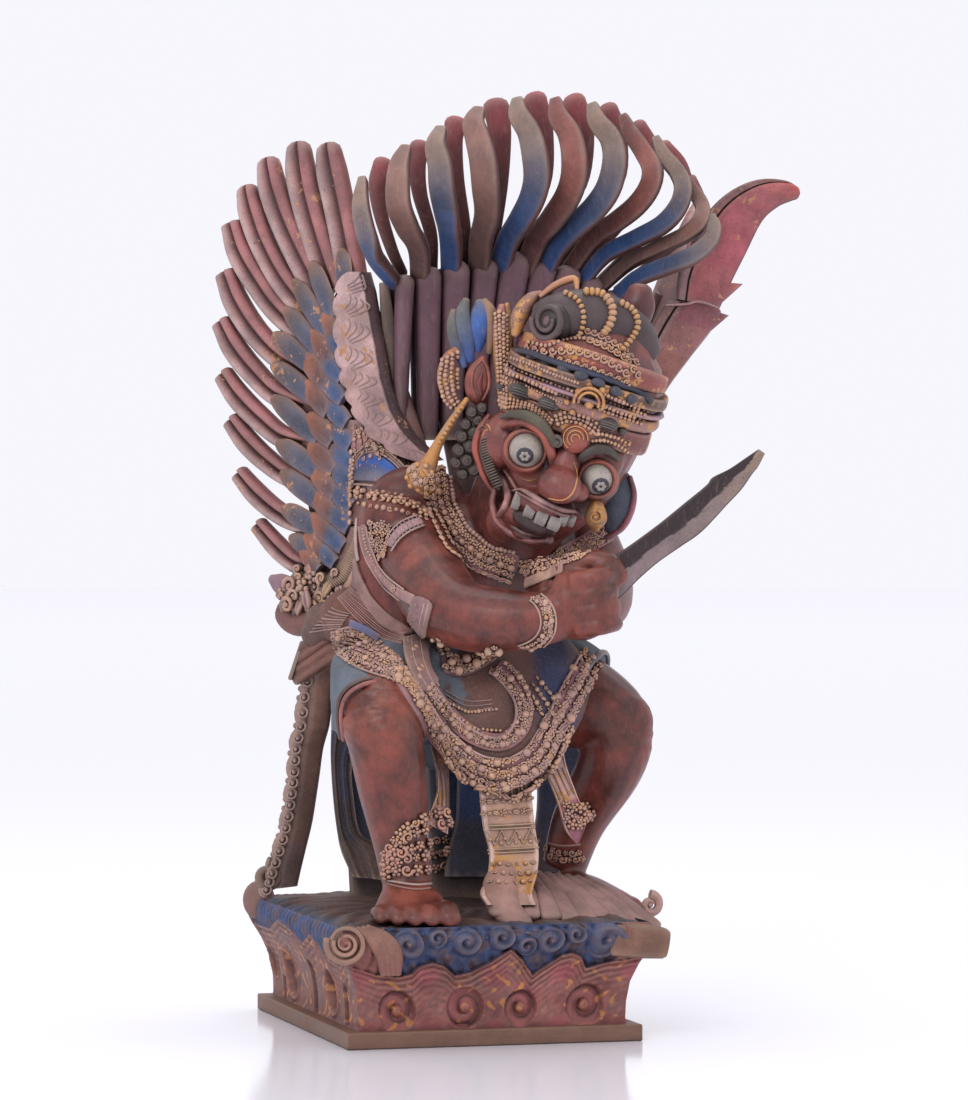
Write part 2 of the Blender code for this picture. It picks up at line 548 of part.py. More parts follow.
# Tail fan: a trunk of long tongue feathers, plumes arching up and forward over the head
def tail():
    shells = Shells()
    s = K
    for i in range(8):
        f = i / 7
        top, low = -14 + 176 * f, 20 + 116 * f
        drop = 356 + 26 * abs(f - 0.5) * 2
        shells.sweep([(at(low, 50, drop), 9 * s, 9 * s), (at(low * 0.9 + top * 0.1, 54, 400), 12 * s, 12 * s), (at(top, 58, 480), 13.5 * s, 12 * s), (at(top, 56, 512 - 14 * (2 * f - 1) ** 2), 7 * s, 7 * s)], (1, 0, 0), 9, 8)
    shells.sweep([(at(46, 50, 262), 12 * s, 12 * s), (at(50, 52, 320), 26 * s, 16 * s), (at(62, 54, 380), 48 * s, 15 * s), (at(70, 60, 460), 74 * s, 13 * s), (at(72, 62, 504), 80 * s, 10 * s)], (1, 0, 0), 11, 10)
    half = PLUME_WIDTH / 2
    for layer, count in ((0, PLUMES), (1, PLUMES - 1)):
        for i in range(count):
            f = (i + 0.5 * layer) / (PLUMES - 1)
            swing = 0.97 * f**0.68
            tip_a = pi * (0.86 - 0.76 * f)
            y = 54 + 14 * layer
            base = at(-24 + 192 * f, y, 514 - 26 * (abs(2 * f - 1)) ** 2.4)
            bulge = at(70 - (146 - 40 * layer) * cos(pi * swing), -26 + 42 * layer, 533 + 60 * sin(pi * (0.12 + 0.76 * f)) ** 0.9)
            tip = at(76 - 150 * cos(pi - tip_a) if layer == 0 else 74 + 142 * cos(tip_a), -6 + 30 * layer, 544 + 104 * sin(tip_a) ** 0.62)
            wave = 1 - 0.25 * layer
            shells.sweep(
                [
                    (base, half * 0.8, half * 0.6),
                    ((base * 0.45 + bulge * 0.55) + Vector((0, -0.006, -0.002)), half * 0.95, half * 0.5),
                    (bulge, half * 1.05, half * 0.5),
                    ((bulge * 0.45 + tip * 0.55) + Vector((0, -0.004, 0)) * wave, half, half * 0.5),
                    (tip, half * 0.75, half * 0.5),
                ],
                (1, -0.15, 0.0),
                13,
                8,
                0.75,
            )
    # the red ends of the back plumes lean on the front ones, in one arched rim
    shells.sweep([(at(74 + 136 * cos(a), 8, 546 + 96 * sin(a) ** 0.62), 7 * s, 6 * s) for a in np.linspace(0.12 * pi, 0.86 * pi, 15)], (0, 1, 0), 27, 6)
    return shells


# Sword: a broad curved blade held by its short grip
def sword():
    shells = Shells()
    s = K
    length, wide = BLADE_LENGTH, BLADE_WIDTH
    root = at(88, -161, 262)
    along = Vector((0.76, -0.05, 0.65)).normalized()
    across = Vector((-0.65, 0, 0.76)).normalized()
    line = []
    for f, sag, w in ((0, 0, 0.50), (0.2, -0.030, 0.47), (0.45, -0.045, 0.50), (0.66, -0.030, 0.52), (0.84, -0.005, 0.34), (1.0, 0.018, 0.10)):
        p = root + along * length * f + across * length * sag
        line.append((p, w * wide, 3.2 * s * (1 - 0.35 * f)))
    shells.sweep(line, across, 13, 6)
    shells.ball(root + along * 0.004, (9 * s, 9 * s, 12 * s), None, 10, 6)
    return shells, root, along


figure = Shells()
pedestal_body(figure)
frieze(figure)
body(figure)
head(figure)
dress(figure)
statue = carve("figure_and_pedestal", figure, (0.30, 0.12, 0.08))
right_wing = carve("right_wing", wing(-1), (0.42, 0.17, 0.13))
left_wing = carve("left_wing", wing(1), (0.42, 0.17, 0.13))
tail_fan = carve("tail_fan", tail(), (0.22, 0.10, 0.11))
blade, grip, along = sword()
blade = carve("sword", blade, (0.20, 0.16, 0.16), VOXEL * 0.6)

half_w, half_d = PEDESTAL_WIDTH / 2, PEDESTAL_DEPTH / 2
slab = box("slab", (-half_w, -half_d, 0), (half_w, half_d, SLAB_HEIGHT))
boolean(statue, slab, "UNION")

# Clearance planes at the back and the tenons that cross them
high = PEDESTAL_HEIGHT + FIGURE_HEIGHT + 0.1
behind = box("behind_figure", (-0.5, BACK_PLANE * 1000 * K, at(0, 0, 222).z), (0.5, 0.6, high))
boolean(statue, behind, "DIFFERENCE")
before = box("before_wings", (-0.5, -0.5, -0.1), (0.5, BACK_PLANE * 1000 * K + JOINT_GAP, high))
boolean(right_wing, before, "DIFFERENCE")
boolean(left_wing, before, "DIFFERENCE")
before_tail = box("before_tail", (-0.5, -0.5, -0.1), (0.5, BACK_PLANE * 1000 * K + JOINT_GAP, at(0, 0, 476).z))
boolean(tail_fan, before_tail, "DIFFERENCE")
for made, x, h, half, tall in ((right_wing, -20, 322, 9, 12), (left_wing, 122, 322, 9, 12), (tail_fan, 48, 300, 12, 22)):
    low, top = at(x - half, 12, h - tall), at(x + half, 46, h + tall)
    tenon = box("tenon_" + made.name, low, top)
    boolean(made, tenon, "UNION")
    gap = Vector((JOINT_GAP,) * 3)
    boolean(statue, box("mortise_" + made.name, low - gap, top + gap), "DIFFERENCE")

# The grip's socket in the fist: the sword starts clear of it and a peg runs in
turn = Matrix.Translation(grip) @ along.to_track_quat("Z", "Y").to_matrix().to_4x4()
peg, wide, start = 0.006, 0.024, -0.009
hole = peg + JOINT_GAP
for made, name, half, low, top, operation in (
    (statue, "blade_clearance", wide, start, 0.06, "DIFFERENCE"),
    (statue, "fist_socket", hole, -0.020 - JOINT_GAP, 0.05, "DIFFERENCE"),
    (blade, "blade_trim", 2 * wide, -0.12, start + JOINT_GAP, "DIFFERENCE"),
    (blade, "sword_peg", peg, -0.020, 0.012, "UNION"),
):
    boolean(made, box(name, (-half, -half, low), (half, half, top), turn), operation)
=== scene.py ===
# %% [markdown]
# This lesson dresses the carved solids of a painted wooden garuda: a crouching bird-man with a sword,
# two wings and an arched fan of tail plumes on a flared pedestal. The solids give the pose; here each
# part gets its finer carving, its old paint and its rubbed gilding. Everything is in metres, +Z is up
# and the figure looks towards -Y.

# %% Load the frame
from math import atan2, cos, pi, radians, sin, sqrt, tau

import bmesh
import bpy
import numpy as np
from mathutils import Matrix, Vector
from mathutils.bvhtree import BVHTree
from mathutils.kdtree import KDTree


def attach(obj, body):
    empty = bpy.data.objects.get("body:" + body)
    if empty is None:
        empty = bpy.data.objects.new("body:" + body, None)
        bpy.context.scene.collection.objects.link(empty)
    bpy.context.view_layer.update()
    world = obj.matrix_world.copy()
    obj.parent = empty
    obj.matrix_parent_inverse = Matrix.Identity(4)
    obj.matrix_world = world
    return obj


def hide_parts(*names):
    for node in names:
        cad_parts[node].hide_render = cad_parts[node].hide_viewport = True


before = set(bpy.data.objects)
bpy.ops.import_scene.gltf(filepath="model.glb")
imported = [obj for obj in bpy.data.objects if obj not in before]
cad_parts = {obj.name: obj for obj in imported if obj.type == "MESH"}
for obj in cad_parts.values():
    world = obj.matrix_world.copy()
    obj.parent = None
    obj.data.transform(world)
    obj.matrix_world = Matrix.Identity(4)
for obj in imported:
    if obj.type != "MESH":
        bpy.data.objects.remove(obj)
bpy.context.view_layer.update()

# %% [markdown]
# The statue was measured in millimetres from the middle of its pedestal, with heights counted from the
# pedestal's top. The head is turned, rolled and tipped, so it has a frame of its own. What is known by
# where it is seen is placed along the line of sight, at a stated depth or on the surface that carries it.

# %% Places on the statue
MM = 0.001
PEDESTAL_TOP = 0.094


def at(x, y, h):
    return Vector((x * MM, y * MM, PEDESTAL_TOP + h * MM))


def unit(v):
    return Vector(v).normalized()


yaw, roll, pitch = radians(16), radians(18), radians(12)
ahead = Vector((-sin(yaw), -cos(yaw), 0))
level = Vector((cos(yaw), -sin(yaw), 0))
HEAD = at(77, -85, 375)
HEAD_RIGHT = level * cos(roll) - Vector((0, 0, 1)) * sin(roll)
risen = level * sin(roll) + Vector((0, 0, 1)) * cos(roll)
HEAD_UP = risen * cos(pitch) + ahead * sin(pitch)
HEAD_FRONT = ahead * cos(pitch) - risen * sin(pitch)
HEAD_TURN = Matrix((HEAD_RIGHT, -HEAD_FRONT, HEAD_UP)).transposed()


def on_head(r, f, u):
    return HEAD + (HEAD_RIGHT * r + HEAD_FRONT * f + HEAD_UP * u) * MM


def smooth(points, samples):
    """A Catmull-Rom line through rows of numbers."""
    rows = np.array(points, float)
    ends = np.vstack([2 * rows[0] - rows[1], rows, 2 * rows[-1] - rows[-2]])
    t = np.linspace(0, len(rows) - 1, samples)
    i = np.minimum(t.astype(int), len(rows) - 2)
    f = (t - i)[:, None]
    a, b, c, d = ends[i], ends[i + 1], ends[i + 2], ends[i + 3]
    return 0.5 * (2 * b + (c - a) * f + (2 * a - 5 * b + 4 * c - d) * f**2 + (3 * b - a - 3 * c + d) * f**3)


# %% [markdown]
# The camera stands 4 m away, a little to the statue's right, and looks one degree down through a long
# lens, which is how a studio photographs a statue without bending its pedestal.

# %% Camera and line of sight
CAMERA = Vector((-1.0553, -3.8578, 0.4489))
WIDE, TALL, FOCAL = 968, 1100, 5015.79
turned, tipped = radians(15.75), radians(1.0)
SIGHT = Vector((sin(turned) * cos(tipped), cos(turned) * cos(tipped), -sin(tipped)))
SIGHT_RIGHT = Vector((cos(turned), -sin(turned), 0))
SIGHT_UP = SIGHT_RIGHT.cross(SIGHT)

camera = bpy.data.objects.new("camera", bpy.data.cameras.new("camera"))
bpy.context.scene.collection.objects.link(camera)
camera.location = CAMERA
camera.rotation_mode = "QUATERNION"
camera.rotation_quaternion = Matrix((SIGHT_RIGHT, SIGHT_UP, -SIGHT)).transposed().to_quaternion()
camera.data.sensor_width = 36
camera.data.lens = FOCAL * 36 / TALL
camera.data.clip_start, camera.data.clip_end = 0.05, 60
bpy.context.scene.camera = camera


def ray(u, v):
    return (SIGHT + SIGHT_RIGHT * ((u - WIDE / 2) / FOCAL) + SIGHT_UP * ((TALL / 2 - v)
        / FOCAL)).normalized()


def seen(u, v, y):
    """The point at depth y (millimetres) that the camera sees at (u, v) of its 968 by 1100 frame."""
    d = ray(u, v)
    return CAMERA + d * ((y * MM - CAMERA.y) / d.y)


def seen_on(u, v, point, normal):
    """Where the line of sight through (u, v) meets a plane."""
    d = ray(u, v)
    return CAMERA + d * ((Vector(point) - CAMERA).dot(normal) / d.dot(normal))


PX = 1 / 1254
print("one millimetre is", round(1254 * MM, 2), "of the frame's units at the statue")

# %% [markdown]
# The paint is old gouache and lacquer over gesso: colour worn thin on edges, grime and painted shade in the
# hollows.
# Each carved form carries its own paint colour as a vertex attribute, so one shader can age them all.

# %% Colours and the node helper


def linear(code):
    """An sRGB hex colour as linear RGBA."""
    parts = [int(code[i : i + 2], 16) / 255 for i in (1, 3, 5)]
    return tuple(c / 12.92 if c <= 0.04045 else ((c + 0.055) / 1.055) ** 2.4 for c in parts) + (1.0,)


def blend(codes, f):
    """Linear colours of a row of hex codes at fractions f."""
    table = np.array([linear(c) for c in codes])
    f = np.atleast_1d(f) * (len(table) - 1)
    i = np.clip(f.astype(int), 0, max(len(table) - 2, 0))
    j = np.minimum(i + 1, len(table) - 1)
    w = (f - i)[:, None]
    return table[i] * (1 - w) + table[j] * w


def add(tree, kind, inputs=None, **settings):
    """Adds one node with its settings; an input that is a socket is linked, any other is set."""
    node = tree.nodes.new(kind)
    for key, value in settings.items():
        setattr(node, key, value)
    for key, value in (inputs or {}).items():
        if isinstance(value, bpy.types.NodeSocket):
            tree.links.new(value, node.inputs[key])
        else:
            node.inputs[key].default_value = value
    return node


# %% [markdown]
# Old gouache on carved wood: matt, mottled over a few centimetres, speckled at a millimetre or two,
# darker with grime and painted shade in creases and recesses, and paler where hands and dusting rubbed
# the edges. Leaf gilding is the same surface with thin metal left in flakes over red bole.

# %% The aged finish
# Noise cells to the metre: clouds of 26 mm, pores of 1.6 mm, gilding flakes of 5 mm in patches of 22 mm.
CLOUDS, STREAKS, PORES, FLAKES, PATCHES = 38, 9, 620, 210, 45
GILT_WEAR = "#cfa070"


def aged(name, rough=0.62, wear="#a98f83", wear_share=0.5, grime_and_shade="#2a1714", shade_and_grime_share=0.75, flecks=0.0,
        gilt=0.0, leaf="#d9a25c", bole="#8a4038", speckle=0.35, mottle=0.22, grain=(60, 60, 60),
            relief=0.25,
        coat=0.0):
    """Old paint on carved wood; `gilt` or `flecks` leave leaf gilding on it, `coat` a worn lacquer."""
    made = bpy.data.materials.new(name)
    made.use_nodes = True
    tree = made.node_tree
    shader = tree.nodes["Principled BSDF"]
    place = add(tree, "ShaderNodeTexCoord").outputs["Object"]
    paint = add(tree, "ShaderNodeAttribute", attribute_name="paint").outputs["Color"]
    along = add(tree, "ShaderNodeMapping", {"Vector": place, "Scale": grain}).outputs[0]
    noises = [(place, CLOUDS, 5, 0.62), (along, STREAKS, 6, 0.7), (place, PORES, 3, 0.6)]
    if gilt or flecks:
        noises += [(place, FLAKES, 4, 0.65), (place, PATCHES, 2, 0.5)]
    cloud, streak, pore, *leafing = (
        add(tree, "ShaderNodeTexNoise", {"Vector": where, "Scale": scale, "Detail": detail,
            "Roughness": rise}).outputs["Fac"]
        for where, scale, detail, rise in noises
    )
    shape = add(tree, "ShaderNodeNewGeometry").outputs["Pointiness"]
    # painted shade: ambient occlusion darkens recesses and the gaps between pieces towards the grime colour
    shade = add(tree, "ShaderNodeAmbientOcclusion", {"Distance": 0.012}, samples=6).outputs["AO"]
    # each mask: what it reads, the range it reads it over, and the range that it gives
    masks = [
        (cloud, 0.32, 0.70, 1 - mottle, 1 + mottle),
        (streak, 0.50, 0.70, 0, 0.30 * wear_share + 0.05),
        (pore, 0.60, 0.70, 0, speckle),
        (shape, 0.515, 0.60, 0, wear_share),
        # concave creases darkened towards the grime colour: grime and painted shade
        (shape, 0.40, 0.485, shade_and_grime_share, 0),
        # recesses darkened by occlusion: painted shade
        (shade, 0.15, 0.75, shade_and_grime_share, 0),
        (cloud, 0.3, 0.7, rough - 0.08, rough + 0.10),
    ]
    if gilt or flecks:
        both = add(tree, "ShaderNodeMath", dict(enumerate(leafing)), operation="ADD").outputs[0]
        left_on = 1.06 - 0.28 * gilt if gilt else 1.20 - 0.22 * flecks
        masks.append((both, left_on, left_on + 0.07, 0, 1))
    fading, worn, dots, edges, hollow, occlusion_shade, rougher, *metal = (
        add(tree, "ShaderNodeMapRange", dict(enumerate(numbers)),
            interpolation_type="SMOOTHSTEP").outputs[0]
        for numbers in masks
    )
    colour = add(tree, "ShaderNodeVectorMath", {0: paint, "Scale": fading}, operation="SCALE").outputs[0]
    # streaks, pores, bole and leaf, rubbed edges, grime with painted shade in the creases and painted shade
    # in the recesses, one over the other
    coats = [(worn, wear), (dots, grime_and_shade)]
    if gilt:
        coats.append((0.25, bole))
    if gilt or flecks:
        coats.append((metal[0], leaf))
    coats += [(edges, GILT_WEAR if gilt else wear), (hollow, grime_and_shade), (occlusion_shade, grime_and_shade)]
    for mask, code in coats:
        colour = add(tree, "ShaderNodeMix", {0: mask, 6: colour, 7: linear(code)},
            data_type="RGBA").outputs[2]
    height = add(tree, "ShaderNodeMath", {0: pore, 1: streak}, operation="ADD").outputs[0]
    bump = add(tree, "ShaderNodeBump", {"Height": height, "Strength": relief,
        "Distance": 0.0012}).outputs[0]
    for socket, value in (("Base Color", colour), ("Roughness", rougher), ("Normal", bump)):
        tree.links.new(value, shader.inputs[socket])
    if gilt or flecks:
        shine = add(tree, "ShaderNodeMath", {0: metal[0], 1: 0.45}, operation="MULTIPLY").outputs[0]
        tree.links.new(shine, shader.inputs["Metallic"])
    for socket, value in (("Specular IOR Level", 0.42), ("Coat Weight", coat), ("Coat Roughness", 0.35)):
        shader.inputs[socket].default_value = value
    return made


# matt and chalky, with the odd rubbed fleck of gilding
feather_paint = aged("faded_gouache_on_feathers", wear="#a58e88", wear_share=0.5, flecks=0.05,
    leaf="#b98a68", speckle=0.6, mottle=0.3)
# matt, with streaks that follow the upright grain of the plumes
plume_paint = aged("faded_gouache_on_plumes", wear="#a79184", wear_share=0.5, grain=(26, 60, 8),
    speckle=0.4)
# lacquer over red: a soft shine on the swells, and darker pools of grime and painted shade between them
body_paint = aged("lacquered_red_body_paint", rough=0.42, wear="#94665a", wear_share=0.45, speckle=0.45,
    mottle=0.55,
    grain=(50, 50, 12), relief=0.14, coat=0.25, shade_and_grime_share=0.7)
# dry and dusty, the flattest paint on the statue
cloth_paint = aged("painted_carved_cloth", wear="#a8937f", wear_share=0.45, speckle=0.35, mottle=0.28)
# leaf gilding worn to its red bole: warm glints on every raised edge
rubbed_gilding = aged("rubbed_leaf_gilding", rough=0.45, gilt=0.34, leaf="#c08a54", speckle=0.35,
    grime_and_shade="#2a1518", relief=0.35)
worn_gilding = aged("worn_leaf_gilding", rough=0.5, gilt=0.12, leaf="#b58658", speckle=0.35,
    grime_and_shade="#2a1518", relief=0.35)
# gouache with much leaf left on it, so that the small carving sparkles in places
flower_paint = aged("rubbed_gouache_on_flowers", rough=0.46, wear="#c4a18c", wear_share=0.65, flecks=0.62,
    leaf="#c08c54", speckle=0.3, grime_and_shade="#2a171c", shade_and_grime_share=0.9, mottle=0.25)
# thick old paint on the block, smoother and a little glossier than the cloth
pedestal_paint = aged("worn_gouache_on_the_pedestal", rough=0.55, wear="#a07c68", wear_share=0.35,
    speckle=0.35, grime_and_shade="#24151a", shade_and_grime_share=0.8, mottle=0.22, relief=0.3)
# waxed bare wood with its grain across the slab
bare_wood = aged("bare_waxed_wood", rough=0.55, wear="#a3836c", wear_share=0.35, speckle=0.35,
    grain=(8, 8, 90), relief=0.2)
print(len(bpy.data.materials), "finishes")

# %% [markdown]
# A carved form is a loft: rows of a centre point with a half width and a half thickness, and a cross
# section that can hold ridges and grooves. Forms are gathered as plain arrays and become one piece.

# %% Carving helpers
OVAL = [(cos(tau * k / 16), sin(tau * k / 16)) for k in range(16)]
BOARD = [(1, 0), (0.97, 0.62), (0.86, 0.92), (0.5, 1), (0, 1.02), (-0.5, 1), (-0.86, 0.92), (-0.97, 0.62),
    (-1, 0), (-0.97, -0.62), (-0.86, -0.92), (-0.5, -1), (0, -1), (0.5, -1), (0.86, -0.92), (0.97, -0.62)]


def quads(n, m, closed=False):
    """The faces of a grid of n rows of m points; `closed` joins each row's last point to its first."""
    return [[i * m + k, i * m + (k + 1) % m, (i + 1) * m + (k + 1) % m, (i + 1) * m + k]
            for i in range(n - 1) for k in range(m if closed else m - 1)]


def outward(mesh):
    """Turns every face of a mesh outwards."""
    shape = bmesh.new()
    shape.from_mesh(mesh)
    bmesh.ops.recalc_face_normals(shape, faces=shape.faces)
    shape.to_mesh(mesh)
    shape.free()


def drawn(place, rows):
    """Rows for a loft: three numbers for the place, then half width and half thickness in millimetres."""
    return [(place(*row[:3]), row[3] * MM, row[4] * MM) for row in rows]


def stepped(codes, t):
    """The colour at the share t along a row of colours, without blending."""
    return codes[min(len(codes) - 1, int(len(codes) * t))]


class Carving:
    """Forms gathered for one piece, each vertex with its paint colour."""

    def __init__(self):
        self.points, self.faces, self.paint, self.count = [], [], [], 0

    def add(self, points, faces, paint):
        self.points.append(np.asarray(points, float))
        paint = np.asarray(paint, float)
        if paint.ndim == 1:
            paint = np.tile(paint, (len(points), 1))
        self.paint.append(paint)
        self.faces.extend([[i + self.count for i in f] for f in faces])
        self.count += len(points)

    def loft(self, line, face, colours, samples=12, section=OVAL, tints=None, ends=(0.0, 0.0)):
        """Rows of (point, half width, half thickness); `face` is the side the section's +s looks to.
        `colours` run from the first row to the last; `tints` give one hex to a section point instead;
        `ends` round off the first and the last row by that share of their half width."""
        rows = smooth([(*p, w, t) for p, w, t in line], samples)
        for end, which in ((ends[0], 0), (ends[1], -1)):
            if end:
                step = rows[which] - rows[1 if which == 0 else -2]
                way = step[:3] / np.linalg.norm(step[:3])
                extra = []
                for a in (0.35, 0.7, 0.92):
                    row = rows[which].copy()
                    row[:3] += way * end * row[3] * sin(a * pi / 2)
                    row[3:] *= cos(a * pi / 2) ** 0.8
                    extra.append(row)
                rows = np.vstack([extra[::-1], rows]) if which == 0 else np.vstack([rows, extra])
        ahead_of = np.gradient(rows[:, :3], axis=0)
        ahead_of /= np.linalg.norm(ahead_of, axis=1)[:, None] + 1e-12
        face = np.array(face, float)
        if face.ndim == 1:
            face = np.tile(face, (len(rows), 1))
        elif len(face) < len(rows):
            spare = 3 if ends[0] else 0
            face = np.vstack([np.tile(face[0], (spare, 1)), face, np.tile(face[-1],
                (len(rows) - spare - len(face), 1))])
        out = face - ahead_of * (face * ahead_of).sum(1)[:, None]
        out /= np.linalg.norm(out, axis=1)[:, None] + 1e-12
        side = np.cross(ahead_of, out)
        cs = np.array(section)
        w = np.maximum(rows[:, 3], 0.0002)[:, None, None]
        t = np.maximum(rows[:, 4], 0.0002)[:, None, None]
        grid = rows[:, None, :3] + side[:, None] * w * cs[None, :, :1] + out[:, None] * t * cs[None, :, 1:2]
        n, m = grid.shape[:2]
        faces = quads(n, m, True)
        points = np.vstack([grid.reshape(-1, 3), rows[0, :3], rows[-1, :3]])
        faces += [[n * m, (k + 1) % m, k] for k in range(m)]
        faces += [[n * m + 1, (n - 1) * m + k, (n - 1) * m + (k + 1) % m] for k in range(m)]
        shade = blend(colours, np.linspace(0, 1, n))
        paint = np.repeat(shade, m, axis=0)
        if tints is not None:
            tint = np.array([linear(c) if c else (0, 0, 0, 0) for c in tints])
            mask = np.array([0.0 if c is None else 1.0 for c in tints])[:, None]
            paint = (paint.reshape(n, m, 4) * (1 - mask) + tint * mask).reshape(-1, 4)
        paint = np.vstack([paint, shade[0], shade[-1]])
        self.add(points, faces, paint)

    def ball(self, centre, radii, colour, turn=None, around=14, rings=9):
        """A squashed ball; `turn` is the rotation of its own axes."""
        turn = np.array(turn or Matrix.Identity(3))
        centre = np.array(centre)
        if not hasattr(radii, "__len__"):
            radii = (radii,) * 3
        points, faces = [(0, 0, 1)], []
        for j in range(1, rings):
            for k in range(around):
                a, b = tau * k / around, pi * j / rings
                points.append((sin(b) * cos(a), sin(b) * sin(a), cos(b)))
        points.append((0, 0, -1))
        last = len(points) - 1
        for k in range(around):
            n = (k + 1) % around
            faces.append([0, 1 + k, 1 + n])
            for j in range(rings - 2):
                faces.append([1 + j * around + k, 1 + (j + 1) * around + k, 1 + (j + 1) * around + n,
                    1 + j * around + n])
            faces.append([last, 1 + (rings - 2) * around + n, 1 + (rings - 2) * around + k])
        place = (np.array(points) * np.array(radii)) @ turn.T + centre
        self.add(place, faces, linear(colour))

    def scroll(self, centre, across, up, radius, thick, colour, turns=1.4, boss=0.34, start=0.5, steps=26,
            tight=0.72, section=OVAL):
        """A spiral scroll round a boss, in the plane of `across` and `up`."""
        centre, across, up = Vector(centre), unit(across), unit(up)
        out = across.cross(up)
        line = []
        for i in range(steps):
            f = i / (steps - 1)
            a = pi * start - tau * turns * f
            r = radius * (1 - tight * f)
            line.append((centre + across * r * cos(a) + up * r * sin(a), thick * (1 - 0.45 * f),
                thick * (1 - 0.35 * f)))
        self.loft(line, out, [colour], steps, section[::2] if len(section) > 12 else section)
        if boss:
            self.ball(centre, radius * boss, colour, None, 10, 7)

    def piece(self, name, material, slot, *nodes, sharp=42, fuse=None, soften=0, recolour=None):
        """The finished object. `fuse` is the voxel size that joins the forms into one skin, `soften` the
        passes that ease it, and `recolour` changes the paint from the places of the vertices."""
        mesh = bpy.data.meshes.new(name)
        mesh.from_pydata(np.vstack(self.points).tolist(), [], self.faces)
        mesh.update()
        made = bpy.data.objects.new(name, mesh)
        bpy.context.scene.collection.objects.link(made)
        colours = np.vstack(self.paint)
        outward(mesh)
        if fuse:
            source = np.array([v.co for v in mesh.vertices])
            step = made.modifiers.new("fuse", "REMESH")
            step.mode, step.voxel_size = "VOXEL", fuse
            if soften:
                ease = made.modifiers.new("soften", "SMOOTH")
                ease.factor, ease.iterations = 0.5, soften
            graph = bpy.context.evaluated_depsgraph_get()
            fused = bpy.data.meshes.new_from_object(made.evaluated_get(graph))
            made.modifiers.clear()
            made.data = fused
            tree = KDTree(len(source))
            for i, p in enumerate(source):
                tree.insert(p, i)
            tree.balance()
            colours = np.array([colours[tree.find(v.co)[1]] for v in fused.vertices])
            mesh = fused
        if recolour:
            places = np.array([v.co for v in mesh.vertices])
            colours = recolour(places, colours)
        layer = mesh.attributes.new("paint", "FLOAT_COLOR", "POINT")
        layer.data.foreach_set("color", np.ascontiguousarray(colours, dtype=np.float32).ravel())
        mesh.shade_smooth()
        if sharp:
            mesh.set_sharp_from_angle(angle=radians(sharp))
        mesh.materials.clear()
        mesh.materials.append(material)
        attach(made, "root")
        if nodes:
            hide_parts(*nodes)
        mesh.calc_loop_triangles()
        print(name, len(mesh.loop_triangles), "triangles")
        return made


def board(carving, pairs, face, section, shade, samples=30, fine=1):
    """A board between two drawn edges: rows of (one edge point, other edge point, half thickness).
    `shade(t, c)` gives the hex at the share t along and c across (-1 to 1)."""
    rows = smooth([(*a, *b, t) for a, b, t in pairs], samples)
    face = unit(face)
    section = np.array(section)
    if fine > 1:
        dense = np.linspace(0, len(section), len(section) * fine, endpoint=False)
        closed = np.vstack([section, section[0]])
        section = np.array([[np.interp(d, range(len(closed)), closed[:, i]) for i in (0, 1)]
            for d in dense])
    middle, half = (rows[:, :3] + rows[:, 3:6]) / 2, (rows[:, 3:6] - rows[:, :3]) / 2
    grid = middle[:, None] + half[:, None] * section[None, :, :1] + np.array(face)[None, None] * rows[:,
        6][:, None, None] * section[None, :, 1:2]
    n, m = grid.shape[:2]
    faces = quads(n, m, True)
    faces += [list(range(m))[::-1], [(n - 1) * m + k for k in range(m)]]
    paint = np.array([linear(shade(i / (n - 1), c)) for i in range(n) for c, s in section])
    carving.add(grid.reshape(-1, 3), faces, paint)


def deep(rows, thick=None):
    """Rows for a board: (u, v, y) of one edge and of the other, then half thickness in millimetres."""
    return [(seen(*row[:3]), seen(*row[3:6]), (thick or row[6]) * MM) for row in rows]


# %% [markdown]
# The tail rises behind the head as a trunk of long tongue-shaped feathers, then bursts into eleven
# front plumes that swing forward and roll back, blue and tan by turns, with red ones behind. Each
# plume is a flat ribbon of wood, so it is a board-shaped loft along its own curve.

# %% Tail plumes
# each plume: its middle line as the camera sees it, its half width there, and its coat
front_plumes = [
    ([(396, 284), (377, 260), (367, 236), (361, 206), (363, 180)], 9, "blue"),
    ([(420, 284), (419, 250), (408, 229), (399, 206), (398, 182), (400, 164), (406, 149)], 11.5, "tan"),
    ([(451, 282), (451, 242), (447, 216), (442, 188), (440, 165), (436, 146), (441, 130)], 12, "blue"),
    ([(479, 280), (481, 242), (487, 215), (486, 190), (483, 160), (478, 139), (474, 123), (479, 111)], 13,
        "tan"),
    ([(498, 280), (507, 244), (521, 220), (532, 199), (537, 177), (534, 150), (529, 132), (519, 115),
        (518, 101)], 12.5, "blue"),
    ([(522, 280), (537, 240), (552, 220), (567, 198), (574, 177), (574, 153), (569, 133), (559, 117),
        (556, 101)], 12.5, "red"),
    ([(540, 282), (555, 250), (574, 228), (595, 208), (609, 187), (615, 160), (611, 139), (598, 122),
        (593, 106)], 12, "blue"),
    ([(560, 284), (592, 239), (616, 222), (637, 205), (650, 186), (652, 168), (643, 151), (631, 133),
        (624, 117)], 10, "red"),
    ([(576, 290), (604, 256), (636, 239), (662, 225), (678, 207), (683, 188), (677, 172), (664, 156),
        (656, 139)], 9, "blue"),
    ([(594, 294), (628, 264), (661, 247), (690, 232), (702, 216), (701, 203), (690, 187), (674, 164)], 7.5,
        "tan"),
    ([(610, 304), (634, 281), (662, 268), (690, 257), (708, 243), (714, 229), (712, 218)], 8.5, "blue"),
]
